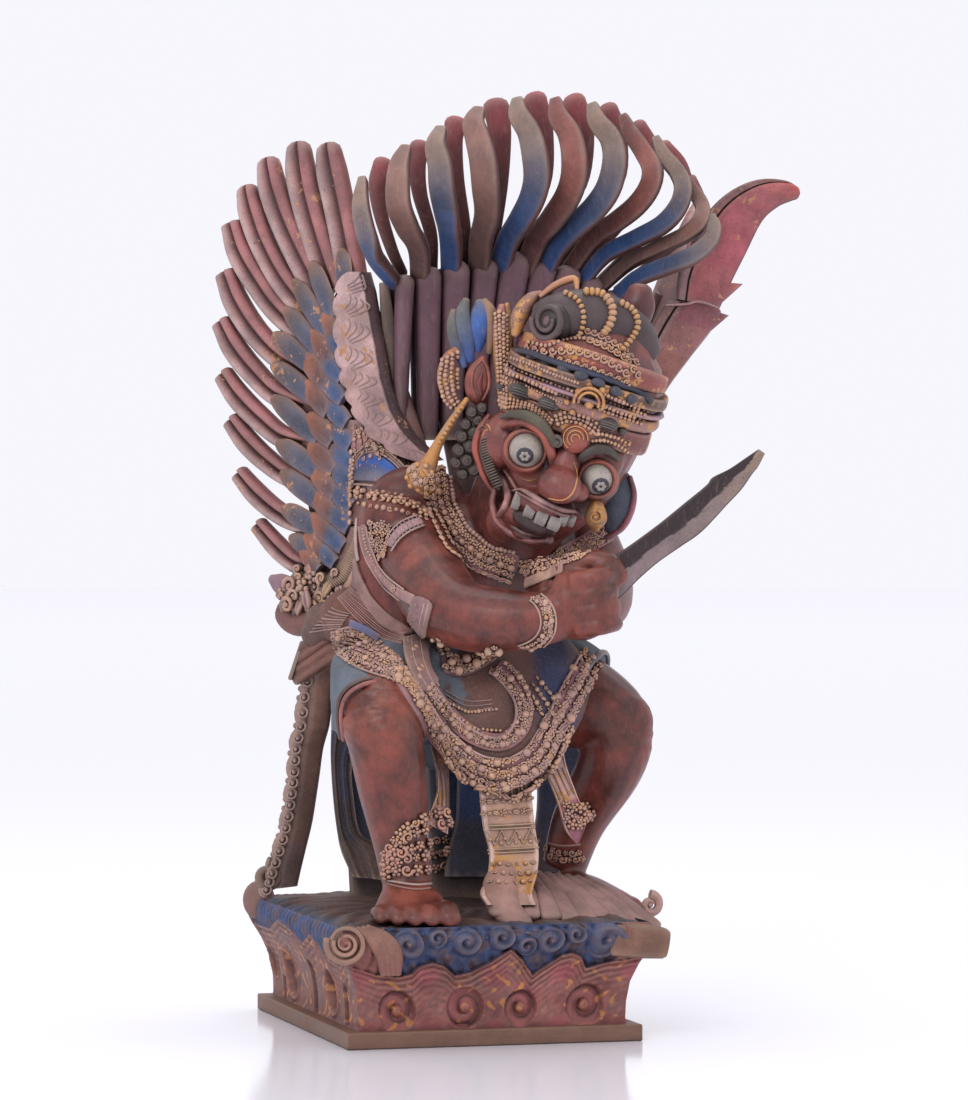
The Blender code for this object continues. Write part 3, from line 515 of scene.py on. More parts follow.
# painted light and shade on each front plume: right edge and back darker, upper left edge lighter
PLUME_LIGHT_AND_SHADE = ["#472624", "#6a4440"] + [None] * 5 + ["#8c6c64"] + ["#4a2c2a"] * 7 + ["#472624"]
coat_of = {
    "blue": ["#2a4778", "#2f4f80", "#46516b", "#766661", "#8a7163", "#7c736b"],
    "tan": ["#5c4440", "#6c4e48", "#7c5a50", "#85625a", "#7f5c54", "#755650"],
    "red": ["#553632", "#683f3a", "#7c4840", "#87524a", "#7a4c48", "#6a4040"],
}
plumes = Carving()
for points, half, coat in front_plumes:
    n = len(points)
    line = []
    for i, (u, v) in enumerate(points):
        t = i / (n - 1)
        y = 58 - 96 * sin(min(t / 0.62, 1) * pi / 2) ** 1.2 + 26 * max(0.0, t - 0.62) / 0.38
        wide = half * PX * (0.80 + 0.28 * sin(pi * min(1, t * 1.1)))
        line.append((seen(u, v, y), wide * (0.62 if i == n - 1 else 1), 0.0052 if i < n - 1 else 0.0042))
    facing = (-0.62, -1, 0.12) if points[0][0] < 570 else (-0.35, -1, 0.3)
    plumes.loft(line, facing, coat_of[coat], 34, BOARD, PLUME_LIGHT_AND_SHADE, (0, 0.55))
back_plumes = [
    ([(402, 272), (392, 250), (381, 215), (377, 185), (383, 164)], 9),
    ([(432, 270), (431, 235), (420, 195), (417, 165), (420, 147)], 9.5),
    ([(464, 268), (464, 230), (456, 180), (453, 140), (456, 124)], 10.5),
    ([(489, 262), (494, 225), (499, 180), (500, 135), (496, 107)], 12),
    ([(512, 262), (524, 222), (543, 180), (543, 130), (535, 100)], 11),
    ([(532, 262), (556, 218), (580, 180), (584, 130), (574, 102)], 11),
    ([(556, 264), (590, 215), (618, 178), (618, 135), (608, 110)], 9.5),
    ([(580, 272), (622, 222), (655, 185), (652, 150), (638, 127)], 8.5),
    ([(600, 280), (650, 232), (685, 200), (682, 168), (664, 147)], 7.5),
    ([(616, 290), (668, 250), (704, 222), (700, 200), (690, 180)], 6.5),
]
for points, half in back_plumes:
    n = len(points)
    line = []
    for i, (u, v) in enumerate(points):
        t = i / (n - 1)
        y = 66 - 42 * sin(min(t / 0.75, 1) * pi / 2)
        line.append((seen(u, v, y), half * PX * (0.62 + 0.5 * t**1.4), 0.0055))
    # the back half of each back plume is painted dark as shade
    plumes.loft(line, (-0.25, -1, 0.1), ["#4a2426", "#502829", "#5e2e30", "#7c3c40", "#8c464c"], 22, OVAL,
        [None] * 9 + ["#3c2222"] * 6 + [None], (0, 0.7))
plumes.piece("tail_plumes", plume_paint, "tail_fan_wood", "tail_fan", sharp=50)

# %% [markdown]
# Nine tongues climb the trunk in front, each a long rounded strip, with plainer ones behind them.

# %% Tail trunk
trunk = Carving()
ROUNDED = [(c * (abs(c) ** -0.25 if c else 1), s) for c, s in OVAL]
# each tongue: its place across at the top and at the foot, its top, and its half width
tongues = [(405, 400, 276, 10), (428, 428, 271, 14.5), (456, 452, 265, 14.5), (485, 474, 262, 14.5),
    (515, 496, 257, 16), (543, 512, 263, 15),
    (568, 530, 270, 14), (592, 548, 280, 13), (612, 566, 294, 12)]
for i, (top, low, v, half) in enumerate(tongues):
    line = []
    for t in (0, 0.3, 0.62, 0.88, 1):
        u = top + (low - top) * (1 - (1 - t) ** 1.6)
        line.append((seen(u, v + 6 + (440 - v - 6) * t, 50 + (2 if i % 2 else 0)),
            half * PX * (1.0 - 0.28 * t), 0.011))
    trunk.loft(line[::-1], (-0.25, -1, 0), ["#483039", "#5a3c47", "#644553", "#6b4b56"], 22, ROUNDED, None,
        (0, 0.75))
# plainer tongues on the back
for top, low, v, half in tongues:
    line = []
    for t in (0, 0.3, 0.62, 0.88, 1):
        p = seen(top + (low - top) * (1 - (1 - t) ** 1.6), v + 10 + (430 - v) * t, 58)
        line.append((Vector((p.x, 0.076, p.z)), half * PX * (1.0 - 0.28 * t), 0.009))
    trunk.loft(line[::-1], (0, 1, 0), ["#523640", "#5c3e49", "#644550"], 14, OVAL, None, (0, 0.75))
trunk.loft(drawn(at, [(46, 14, 292, 12, 22), (46, 62, 292, 16, 30)]), (0, 0, 1), ["#4a3235"], 4, BOARD)
back = [(48, 54, 250, 12, 10), (50, 58, 320, 26, 10), (60, 62, 380, 48, 10), (70, 64, 460, 74, 10),
    (74, 64, 506, 80, 10)]
trunk.loft(drawn(at, back), (0, -1, 0), ["#4a3235"], 16, BOARD)
trunk.loft(drawn(seen, [(384, 284, 70, 4, 12), (389, 330, 66, 6, 12), (398, 385, 60, 6, 12), (404, 420, 56,
    5, 10)]), (-0.25, -1, 0), ["#614f45"], 12, BOARD)
trunk.piece("tail_trunk", plume_paint, "tail_fan_wood", sharp=50)

# %% [markdown]
# The right wing is one carved board in its own upright plane, swept back. Eleven primaries each have a
# pale ridge and a red ridge with a groove between, then three rows of coverts, and a smooth pale
# leading edge that runs down to the shoulder.

# %% Right wing
WING_ROOT_HEIGHT = 322
WING_ROOT = at(-10, 30, WING_ROOT_HEIGHT)
SWEEP = radians(58)
WING_NORMAL = Vector((-sin(SWEEP), -cos(SWEEP), 0))
WING_ALONG = Vector((-cos(SWEEP), sin(SWEEP), 0))


def on_wing(u, v, off=0.0):
    """The point seen at (u, v) on the wing's plane, raised by `off` millimetres towards its face."""
    return seen_on(u, v, WING_ROOT + WING_NORMAL * off * MM, WING_NORMAL)


def on_plane(s, h, off=0.0):
    """The point s millimetres out along the wing's plane and h up."""
    return WING_ROOT + WING_ALONG * s * MM + WING_NORMAL * off * MM + Vector((0, 0,
        (h - WING_ROOT_HEIGHT) * MM))


FEATHER = [(-1, 0), (-0.93, 0.55), (-0.72, 0.95), (-0.5, 1.0), (-0.28, 0.8), (-0.1, 0.35), (0.02, 0.2),
    (0.14, 0.5), (0.34, 0.95), (0.56, 1.05),
    (0.8, 0.85), (0.96, 0.45), (1, 0), (0.9, -0.6), (0.5, -0.95), (0, -1), (-0.5, -0.95), (-0.9, -0.6)]
# two paints, a pale ridge and a red ridge; the groove between them and the right edge are darkened as
# painted shade
FEATHER_PAINT_AND_SHADE = ["#a78280", "#ae908e", "#b39895", "#ae908c", "#9a7471", "#5c3435", "#4c2827", "#754848",
    "#986060", "#9f6766", "#965c5e", "#7c3f3d", "#6c3736",
    "#7c4441", "#88504b", "#915954", "#88504b", "#7c4441"]
primaries = [
    ([(329, 152), (332, 172), (338, 200), (346, 240), (354, 290)], 14.0),
    ([(299, 151), (301, 172), (307, 202), (318, 240), (334, 290)], 14.0),
    ([(269, 166), (273, 188), (284, 220), (301, 257), (324, 300)], 13.0),
    ([(248, 193), (252, 212), (264, 245), (286, 284), (318, 320)], 12.0),
    ([(232, 225), (240, 252), (258, 283), (280, 312), (318, 344)], 11.5),
    ([(226, 274), (236, 301), (256, 332), (282, 358), (320, 380)], 11.5),
    ([(222, 323), (234, 347), (254, 372), (280, 396), (320, 412)], 11.0),
    ([(224, 375), (239, 397), (262, 420), (286, 438), (324, 448)], 11.0),
    ([(232, 421), (247, 441), (268, 461), (292, 477), (326, 484)], 10.5),
    ([(240, 474), (256, 493), (277, 511), (300, 523), (328, 524)], 10.0),
    ([(259, 525), (276, 545), (294, 561), (316, 572)], 9.5),
]
wing = Carving()
for k, (points, half) in enumerate(primaries):
    line = []
    for i, (u, v) in enumerate(points):
        t = i / (len(points) - 1)
        off = 3.0 - 5 * t
        du, dv = np.array(points[min(i + 1, len(points) - 1)]) - np.array(points[max(i - 1, 0)])
        run = sqrt(du * du + dv * dv)
        wide = (on_wing(u - dv / run * half, v + du / run * half, off) - on_wing(u, v, off)).length
        line.append((on_wing(u, v, off), wide * (0.80 if i == 0 else 1.0), 0.0062))
    wing.loft(line[::-1], WING_NORMAL, ["#8a5a54"], 30, FEATHER, FEATHER_PAINT_AND_SHADE, (0, 0.65 if k < 4 else 0.28))
# boards behind the feathers and the root that meets the shoulder
wing.loft(drawn(on_plane, [(80, 496, -3, 12, 6), (98, 440, -3, 27, 7), (104, 370, -3, 31, 7),
    (98, 300, -3, 25, 7), (104, 262, -3, 12, 6)]), WING_NORMAL, ["#5f3f3c"], 18, BOARD)
wing.loft(drawn(on_plane, [(6, 330, -4, 20, 8), (36, 372, -3, 30, 8), (58, 420, -3, 30, 8),
    (74, 470, -3, 22, 7)]), WING_NORMAL, ["#6b4a44"], 16, BOARD)
wing.loft(drawn(on_plane, [(-14, 322, -6, 13, 11), (2, 318, -4, 19, 12), (50, 312, -3, 24, 10),
    (92, 300, -3, 26, 8)]), WING_NORMAL, ["#6b4a44"], 12, BOARD)
wing.piece("right_wing_primaries", feather_paint, "right_wing_wood", "right_wing", sharp=55)

# %% [markdown]
# Coverts lie over the quills like roof tiles, each with a pale rim and a ridge down its middle.

# %% Right wing coverts
COVERT = [(-1, 0), (-0.85, 0.6), (-0.5, 0.95), (-0.12, 1.05), (0, 0.98), (0.12, 1.05), (0.5, 0.95),
    (0.85, 0.6), (1, 0), (0.6, -0.8), (0, -0.9), (-0.6, -0.8)]
COVERT_RIM = ["#956850"] + [None] * 7 + ["#a67459"] + ["#653f33"] * 3
# each covert: its root, its tip and its half width
long_coverts = [
    ((346, 290), (343, 251), 9.5), ((334, 318), (313, 264), 10), ((328, 336), (296, 282), 10),
        ((322, 354), (287, 310), 10), ((318, 370), (276, 336), 10.5),
    ((318, 400), (275, 366), 10.5), ((320, 440), (275, 399), 11), ((322, 474), (280, 444), 11),
        ((324, 504), (284, 474), 11), ((324, 532), (285, 509), 10.5), ((322, 556), (293, 538), 9.5),
]
round_coverts = [((338, 340), (326, 315), 9.5), ((334, 362), (313, 333), 11), ((330, 386), (305, 356), 12),
    ((330, 412), (307, 384), 12), ((334, 442), (311, 417), 12),
    ((336, 470), (312, 446), 12), ((337, 494), (314, 471), 11.5), ((337, 517), (315, 495), 11.5),
        ((334, 540), (314, 517), 11), ((326, 558), (308, 537), 10.5), ((320, 570), (304, 552), 9)]
small_coverts = [((346, 352), (329, 336), 9), ((343, 378), (324, 360), 9.5), ((344, 400), (325, 380), 10),
    ((348, 424), (328, 404), 10.5), ((352, 446), (333, 428), 10.5), ((354, 466), (334, 447), 10.5),
    ((354, 486), (334, 467), 10.5), ((353, 507), (333, 488), 10.5), ((350, 528), (331, 509), 10.5),
        ((344, 548), (325, 529), 10), ((336, 564), (320, 548), 9)]
coverts = Carving()
for row, off, thick, coat in (
    (long_coverts, 7.5, 0.0042, ["#3e4964", "#52515c", "#7c5e4e", "#906952"]),
    (round_coverts, 11, 0.0040, ["#4c4752", "#7c5143", "#9c5e46", "#a6654b"]),
    (small_coverts, 14, 0.0036, ["#334971", "#41516f", "#735852", "#8e634c"]),
):
    for (ru, rv), (tu, tv), half in row:
        line = []
        for t, w in ((0, 0.8), (0.35, 1.0), (0.7, 1.0), (0.9, 0.78), (1, 0.5)):
            u, v = ru + (tu - ru) * t, rv + (tv - rv) * t
            line.append((on_wing(u, v, off - 4.5 * t + 2 * sin(pi * t)), half * PX * w * 1.12, thick))
        coverts.loft(line, WING_NORMAL, coat, 12, COVERT, COVERT_RIM, (0, 0.5))
coverts.piece("right_wing_coverts", feather_paint, "right_wing_wood", sharp=60)

# %% [markdown]
# The leading edge is one smooth pale band, cut into lobes by slanting gouge lines.

# %% Right wing leading edge
edge = Carving()
# the band's two sides as (height, place across), and the heights of the cuts between its lobes
EDGE_LEFT = [(272, 349), (290, 339), (320, 338), (350, 339), (380, 345), (410, 355), (436, 373), (452, 395),
    (462, 418)]
EDGE_RIGHT = [(272, 366), (290, 372), (320, 378), (350, 384), (380, 389), (410, 398), (436, 412),
    (452, 428), (466, 444)]
CUTS = [272, 294, 318, 346, 370, 389, 406, 426, 444, 462]
FACE_OFF = 13
FLAT = [(-1, 0), (-0.97, 0.7), (-0.86, 0.95), (-0.5, 1), (0, 1.02), (0.5, 1), (0.84, 0.95), (0.90, 0.6),
    (0.97, 0.3), (1, -0.2), (0.9, -0.9), (0.4, -1), (-0.4, -1), (-0.9, -0.8)]


def edge_u(v, rows):
    """The place across at the height v of a drawn side."""
    return float(np.interp(v, [r[0] for r in rows], [r[1] for r in rows]))


pairs = []
for v in np.arange(272, 463, 2.5):
    i = int(np.clip(np.searchsorted(CUTS, v, "right") - 1, 0, len(CUTS) - 2))
    lobe = sin(pi * (v - CUTS[i]) / (CUTS[i + 1] - CUTS[i])) ** 0.5
    slant = 0.5 * (v > 430)
    pairs.append((on_wing(edge_u(v, EDGE_LEFT) + 4.5 - 6.5 * lobe, v, FACE_OFF),
        on_wing(edge_u(v, EDGE_RIGHT), v - 4 * slant, FACE_OFF), 0.0075))
# the band's right side face is painted dark as the shade on its thickness
board(edge, pairs, WING_NORMAL, FLAT, lambda t, c: "#4c3537" if c > 0.86 else stepped(["#c1a19e", "#b1928e",
    "#b79793", "#ab8b86", "#a68683", "#9e7c79"], t), 110, 2)
for i in range(len(CUTS) - 1):
    v0, v1 = CUTS[i], CUTS[i + 1]
    for k, reach in enumerate((9, 15, 21, 27)):
        line = []
        for t in (0, 0.3, 0.65, 1):
            v = v1 - 1.5 - (v1 - v0) * (0.30 + 0.62 * t) + 2.5 * k
            u = edge_u(v, EDGE_LEFT) + 3 + reach * sin(pi * (0.12 + 0.55 * t)) * 1.05
            line.append((on_wing(min(u, edge_u(v, EDGE_RIGHT) - 5), v, FACE_OFF + 7.3), 0.00075, 0.0009))
        edge.loft(line, WING_NORMAL, ["#846361", "#90706e"], 12, OVAL[::2])
edge.piece("right_wing_leading_edge", feather_paint, "right_wing_wood", sharp=50)

# %% [markdown]
# Small carved motifs repeat all over the statue: beads, rosettes, leaves and scales. A Geometry Nodes
# tree sets one motif on each point of a cloud, turned and sized by the point's own attributes, so a
# row of fifty beads is one list of places.

# %% Ornament tree
ornament_tree = bpy.data.node_groups.new("carved_ornament", "GeometryNodeTree")
for label, kind in (("Geometry", "NodeSocketGeometry"), ("Motif", "NodeSocketObject"),
        ("Scale", "NodeSocketFloat"), ("Finish", "NodeSocketMaterial")):
    ornament_tree.interface.new_socket(label, in_out="INPUT", socket_type=kind)
ornament_tree.interface.new_socket("Geometry", in_out="OUTPUT", socket_type="NodeSocketGeometry")
given = add(ornament_tree, "NodeGroupInput")
turn = add(ornament_tree, "GeometryNodeInputNamedAttribute", {"Name": "turn"}, data_type="FLOAT_VECTOR")
size = add(ornament_tree, "GeometryNodeInputNamedAttribute", {"Name": "size"}, data_type="FLOAT_VECTOR")
shape_of = add(ornament_tree, "GeometryNodeObjectInfo", {"Object": given.outputs["Motif"]})
rotation = add(ornament_tree, "FunctionNodeEulerToRotation", {"Euler": turn.outputs["Attribute"]})
sized = add(ornament_tree, "ShaderNodeVectorMath", {0: size.outputs["Attribute"],
    "Scale": given.outputs["Scale"]}, operation="SCALE")
placed = add(ornament_tree, "GeometryNodeInstanceOnPoints", {"Points": given.outputs["Geometry"],
    "Instance": shape_of.outputs["Geometry"],
    "Rotation": rotation.outputs[0], "Scale": sized.outputs[0]})
real = add(ornament_tree, "GeometryNodeRealizeInstances", {"Geometry": placed.outputs[0]})
painted = add(ornament_tree, "GeometryNodeSetMaterial", {"Geometry": real.outputs[0],
    "Material": given.outputs["Finish"]})
ornament_tree.links.new(painted.outputs[0], add(ornament_tree, "NodeGroupOutput").inputs[0])
ornament_input = {item.name: item.identifier for item in ornament_tree.interface.items_tree
    if item.in_out == "INPUT"}


def motif(name, carving):
    """One motif of unit size, kept out of the scene for the tree to repeat."""
    mesh = bpy.data.meshes.new(name)
    mesh.from_pydata(np.vstack(carving.points).tolist(), [], carving.faces)
    outward(mesh)
    mesh.shade_smooth()
    return bpy.data.objects.new(name, mesh)


bead = Carving()
bead.ball((0, 0, 0.15), (1, 1, 1), "#ffffff", None, 7, 5)
bead = motif("bead", bead)
rosette = Carving()
for k in range(5):
    a = tau * k / 5
    rosette.ball((0.62 * cos(a), 0.62 * sin(a), 0.12), (0.40, 0.40, 0.36), "#ffffff", None, 5, 3)
rosette.ball((0, 0, 0.3), (0.42, 0.42, 0.45), "#ffffff", None, 6, 3)
rosette = motif("rosette", rosette)
leaf = Carving()
leaf.loft([((0, -1, 0), 0.32, 0.3), ((0, -0.45, 0.12), 0.62, 0.42), ((0, 0.3, 0.2), 0.5, 0.42),
    ((0, 1, 0.05), 0.06, 0.1)], (0, 0, 1), ["#ffffff"], 7,
    [(-1, 0), (-0.7, 0.75), (-0.3, 0.9), (0, 0.45), (0.3, 0.9), (0.7, 0.75), (1, 0), (0, -0.8)])
leaf = motif("leaf", leaf)
curl = Carving()
curl.scroll((0, 0, 0.2), (1, 0, 0), (0, 1, 0), 0.85, 0.3, "#ffffff", 1.1, 0.34, steps=11, section=OVAL[::3])
curl = motif("curl", curl)


def ornament(name, shape, places, finish, scale=1.0):
    """One piece made of a motif at each place: (point, normal, along, (across, along, rise), hex)."""
    cloud = bpy.data.meshes.new(name)
    cloud.from_pydata([tuple(p[0]) for p in places], [], [])
    turns, sizes, colours = [], [], []
    for point, normal, along, extent, colour in places:
        out = unit(normal)
        ahead_of = Vector(along) - out * Vector(along).dot(out)
        ahead_of = ahead_of.normalized() if ahead_of.length > 1e-9 else out.orthogonal().normalized()
        turns.append(Matrix((ahead_of.cross(out), ahead_of, out)).transposed().to_euler())
        sizes.append([e * MM for e in extent])
        colours.append(linear(colour))
    for label, kind, key, rows in (("turn", "FLOAT_VECTOR", "vector", turns), ("size", "FLOAT_VECTOR",
            "vector", sizes), ("paint", "FLOAT_COLOR", "color", colours)):
        layer = cloud.attributes.new(label, kind, "POINT")
        layer.data.foreach_set(key, np.array([list(r) for r in rows], np.float32).ravel())
    made = bpy.data.objects.new(name, cloud)
    bpy.context.scene.collection.objects.link(made)
    step = made.modifiers.new("ornament", "NODES")
    step.node_group = ornament_tree
    step[ornament_input["Motif"]] = shape
    step[ornament_input["Scale"]] = scale
    step[ornament_input["Finish"]] = finish
    graph = bpy.context.evaluated_depsgraph_get()
    mesh = bpy.data.meshes.new_from_object(made.evaluated_get(graph))
    made.modifiers.clear()
    made.data = mesh
    mesh.shade_smooth()
    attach(made, "root")
    mesh.calc_loop_triangles()
    print(name, len(places), "motifs,", len(mesh.loop_triangles), "triangles")
    return made


# %% [markdown]
# Ornament lies on what carries it. Each finished skin is kept as a search tree, and a line of sight
# through the frame is followed to the first skin it meets.

# %% Finding the surface
carriers = []


def carrier(made):
    mesh = made.data
    carriers.append(BVHTree.FromPolygons([v.co for v in mesh.vertices],
        [p.vertices for p in mesh.polygons]))
    return made


def landed(u, v, lift=0.0):
    """(point, normal) where the line of sight through (u, v) meets the nearest carrier, or None."""
    best = None
    d = ray(u, v)
    for tree in carriers:
        hit, normal, _, distance = tree.ray_cast(CAMERA, d)
        if hit is not None and (best is None or distance < best[2]):
            best = (hit, normal, distance)
    if best is None:
        return None
    hit, normal, _ = best
    if normal.dot(d) > 0:
        normal = -normal
    return hit + normal * lift * MM, normal


def trail(points, spacing, lift=0.0):
    """Places at even spacing along a line drawn in the frame, each with its normal and its way along."""
    dense = smooth(points, 40 * len(points))
    run = np.concatenate([[0], np.cumsum(np.linalg.norm(np.diff(dense[:, :2], axis=0), axis=1))])
    count = max(2, int(round(run[-1] / spacing)) + 1)
    found = []
    for s in np.linspace(0, run[-1], count):
        hit = landed(np.interp(s, run, dense[:, 0]), np.interp(s, run, dense[:, 1]), lift)
        if hit:
            found.append(hit)
    rows = []
    for i, (p, n) in enumerate(found):
        q = found[min(i + 1, len(found) - 1)][0] - found[max(i - 1, 0)][0]
        rows.append((p, n, q if q.length > 1e-9 else Vector((1, 0, 0))))
    return rows


def eased(rows, passes=3):
    """The same places with their jumps in depth smoothed out, so that a strap runs evenly."""
    points = np.array([r[0] for r in rows])
    normals = np.array([r[1] for r in rows])
    for _ in range(passes):
        for values in (points, normals):
            values[1:-1] = (values[:-2] + 2 * values[1:-1] + values[2:]) / 4
    return points, normals


def resampled(line, count):
    """A drawn line as `count` points, spread evenly over its corners."""
    line = np.array(line, float)
    spread, corners = np.linspace(0, 1, count), np.linspace(0, 1, len(line))
    return np.array([np.interp(spread, corners, line[:, i]) for i in (0, 1)]).T


def strap(carving, points, half, thick, colours, section=OVAL, spacing=6, lift=0.5, tints=None,
        ends=(0.4, 0.4), taper=None, leap=14):
    """A band laid on the carriers along a line drawn in the frame, with half width and half thickness in
    millimetres. Of a line that leaps in depth only the longest run between two leaps is kept."""
    rows = trail(points, spacing, lift)
    leaps = [0] + [i for i in range(1, len(rows)) if (rows[i][0] - rows[i - 1][0]).length > leap
        * MM] + [len(rows)]
    first, last = max(zip(leaps, leaps[1:]), key=lambda pair: pair[1] - pair[0])
    rows = rows[first:last]
    if len(rows) < 3:
        return
    places, normals = eased(rows)
    line = []
    for i, p in enumerate(places):
        f = i / (len(places) - 1)
        w = half if taper is None else half * float(np.interp(f, np.linspace(0, 1, len(taper)), taper))
        line.append((p, w * MM, thick * MM))
    carving.loft(line, normals, colours, len(line), section, tints, ends)


# %% [markdown]
# The body is one carved skin: chest, belly, the two arms that cross over it, and the bent legs. It is
# lofted limb by limb, fused into one surface at a voxel of about two millimetres, and eased once, as a
# carver sands the bare skin smooth while leaving the ornament sharp.

# %% Body skin
SKIN = "#672e24"
body = Carving()


def limb(carving, rows, colour=SKIN, samples=24, section=OVAL, ends=(0, 0)):
    carving.loft([(at(*p), r * MM, r * MM) for p, r in rows], (0.3, 0.25, 1), [colour], samples, section,
        None, ends)


body.ball(at(28, -4, 178), (0.070, 0.060, 0.044), SKIN, None, 24, 16)
body.ball(at(28, -16, 222), (0.056, 0.050, 0.040), SKIN, None, 24, 16)
body.ball(at(38, -10, 280), (0.075, 0.045, 0.052), SKIN, None, 24, 16)
limb(body, [((44, -20, 290), 40), ((56, -50, 340), 42)])
limb(body, [((-28, 2, 306), 33), ((-34, -40, 282), 32), ((-28, -86, 250), 30.5), ((-17, -112, 237), 27.5),
    ((6, -134, 233), 25.5), ((34, -148, 234), 21.5), ((50, -153, 238), 20)], samples=30)
body.ball(at(66, -156, 246), (0.028, 0.022, 0.029), SKIN, None, 18, 12)
body.ball(at(-22, 4, 322), (0.041, 0.026, 0.031), SKIN, None, 18, 12)
limb(body, [((108, 4, 300), 33), ((118, -30, 262), 28), ((104, -78, 244), 24), ((70, -118, 258), 19),
    ((38, -128, 266), 16)])
body.ball(at(122, 0, 322), (0.026, 0.025, 0.031), SKIN)
body.loft(drawn(seen, [(394, 505, -24, 26, 26), (388, 545, -18, 27, 30), (386, 580, -14, 27, 34),
    (392, 612, -12, 30, 36), (402, 645, -12, 36, 40)]), (0, -1, 0), [SKIN], 20, OVAL, None, (0.3, 0.2))
# right leg with its knee and shin
limb(body, [((4, 0, 182), 46), ((-44, -52, 176), 43), ((-74, -88, 160), 34), ((-74, -98, 138), 30),
    ((-67, -93, 100), 27), ((-61, -92, 62), 22), ((-56, -94, 26), 19)], samples=34)
body.ball(at(-76, -106, 146), (0.023, 0.020, 0.026), SKIN)
limb(body, [((62, 0, 180), 46), ((104, -24, 164), 39), ((130, -44, 144), 30), ((126, -38, 112), 27),
    ((108, -14, 68), 22), ((98, -5, 30), 18)], samples=30)
body.ball(at(136, -52, 148), (0.022, 0.020, 0.024), SKIN)
# right foot: instep, ball and five toes
body.loft(drawn(at, [(-55, -80, 12, 19, 16), (-57, -104, 15, 24, 18), (-60, -124, 10, 30, 12),
    (-62, -138, 6, 31, 8)]), (0, 0, 1), [SKIN], 14, OVAL, None, (0.3, 0.2))
for k, (x, y, r, reach) in enumerate(((-88, -132, 6.0, 10), (-76.5, -136, 6.4, 13), (-64, -139, 6.8, 14),
        (-51, -140, 7.4, 14), (-36, -136, 9.6, 15))):
    body.loft(drawn(at, [(x, y + 8, 8, r, r * 0.9), (x - 1, y - reach * 0.4, 9, r, r), (x - 1, y - reach, 5,
        r * 0.98, r * 0.8)]), (0, 0, 1), [SKIN], 10, OVAL, None, (0.2, 0.75))
# left foot, half under the cloth
body.loft(drawn(at, [(94, 8, 12, 17, 14), (104, -30, 12, 23, 15), (116, -64, 7, 25, 10)]), (0, 0, 1),
    [SKIN], 12, OVAL, None, (0.3, 0.6))
for k in range(5):
    body.loft(drawn(at, [(98 + 10 * k, -66 + 3 * k, 6, 5.5, 5), (100 + 10 * k, -76 + 3 * k, 4.5, 5.5,
        4.5)]), (0, 0, 1), [SKIN], 6, OVAL, None, (0.2, 0.8))
# fingers round the grip and the thumb over them
for k in range(4):
    x0, h0 = 56 + 1.5 * k, 268 - 12.5 * k
    limb(body, [((x0, -170, h0 - 4), 7.2), ((x0 + 14, -179, h0 - 1), 7.6), ((x0 + 27, -172, h0 + 1), 7.4),
        ((x0 + 32, -158, h0), 6.4)], samples=14, ends=(0.5, 0.7))
limb(body, [((54, -148, 270), 9.5), ((70, -160, 279), 9), ((86, -168, 277), 8.4), ((94, -168, 266), 7)],
    samples=14, ends=(0.4, 0.8))


def painted_light_and_shade_on_skin(places, colours):
    """Painted light and shade on the lacquer: warmer bands on the front as painted light, purple-brown
    painted shade under the head, round the arms and hand, and on the shin.
    """
    x, y, z = places.T / MM
    h = z - PEDESTAL_TOP / MM
    dark = np.array(linear("#3e242c"))
    lit_warmth = np.array(linear("#7c4232"))
    # painted shade: purple-brown patches where the head, the arms and the hand shade the skin, and one on
    # the shin
    shade_pools = [((-6, -120, 258), 26, 0.75), ((-24, -96, 280), 16, 0.6), ((30, -150, 226), 14, 0.5),
        ((-66, -108, 70), 12, 0.35), ((60, -30, 330), 60, 0.7), ((40, -20, 235), 40, 0.55)]
    for (px, py, ph), r, share in shade_pools:
        w = share * np.exp(-((x - px) ** 2 + (y - py) ** 2 + (h - ph) ** 2) / (2 * (r * 0.7) ** 2))[:, None]
        colours = colours * (1 - w) + dark * w
    # painted light: warmer bands across the front of the limbs
    w = 0.5 * np.clip(np.sin(h / 21) * 0.5 + 0.5, 0, 1)[:, None] * (y < -80)[:, None]
    return colours * (1 - w) + lit_warmth * w


carrier(body.piece("body_skin", body_paint, "statue_wood", "figure_and_pedestal", sharp=0, fuse=0.0021,
    soften=5, recolour=painted_light_and_shade_on_skin))

# %% [markdown]
# The pedestal is a flared block on a thin bare slab. Each side is one carved surface whose relief is a
# field of millimetres: spiral volutes with bosses, a wavy line of leaf peaks, and blue waves with
# spirals dipping between the peaks. The front and the figure's right follow the drawn pattern, the two
# hidden sides repeat a plainer one.

# %% Relief fields
HALF_W, HALF_D, SLAB = 0.118, 0.152, 0.013
WOOD_BROWN, ROSE, WAVE_BLUE = "#563a34", "#6a403e", "#2d3d5d"
# how far each side stands out from the block at heights from the ground, in millimetres
FLARE_Z, FLARE = [10, 16, 30, 46, 60, 72, 82, 89, 93], [-10, -11, -10.5, -8, -2.5, 4, 8, 7.5, 4]


def volute(a, z, a0, z0, radius, turns=1.3, way=1, start=0.0, deep=5.0, boss=0.28, swell=6.0):
    """Height of a spiral volute and where it is, on a side whose places are (a, z) in millimetres."""
    r = np.hypot(a - a0, z - z0) / radius
    angle = np.arctan2(z - z0, a - a0)
    ridge = np.cos(pi * ((r * turns - way * angle / tau + start) % 1.0 - 0.5)) ** 0.7
    inside = np.clip((1 - r) / 0.10, 0, 1)
    dome = np.sqrt(np.clip(1 - (r / boss) ** 2, 0, 1)) * swell if boss else 0
    return inside * np.maximum(deep * (ridge - 0.55), dome), inside, ridge


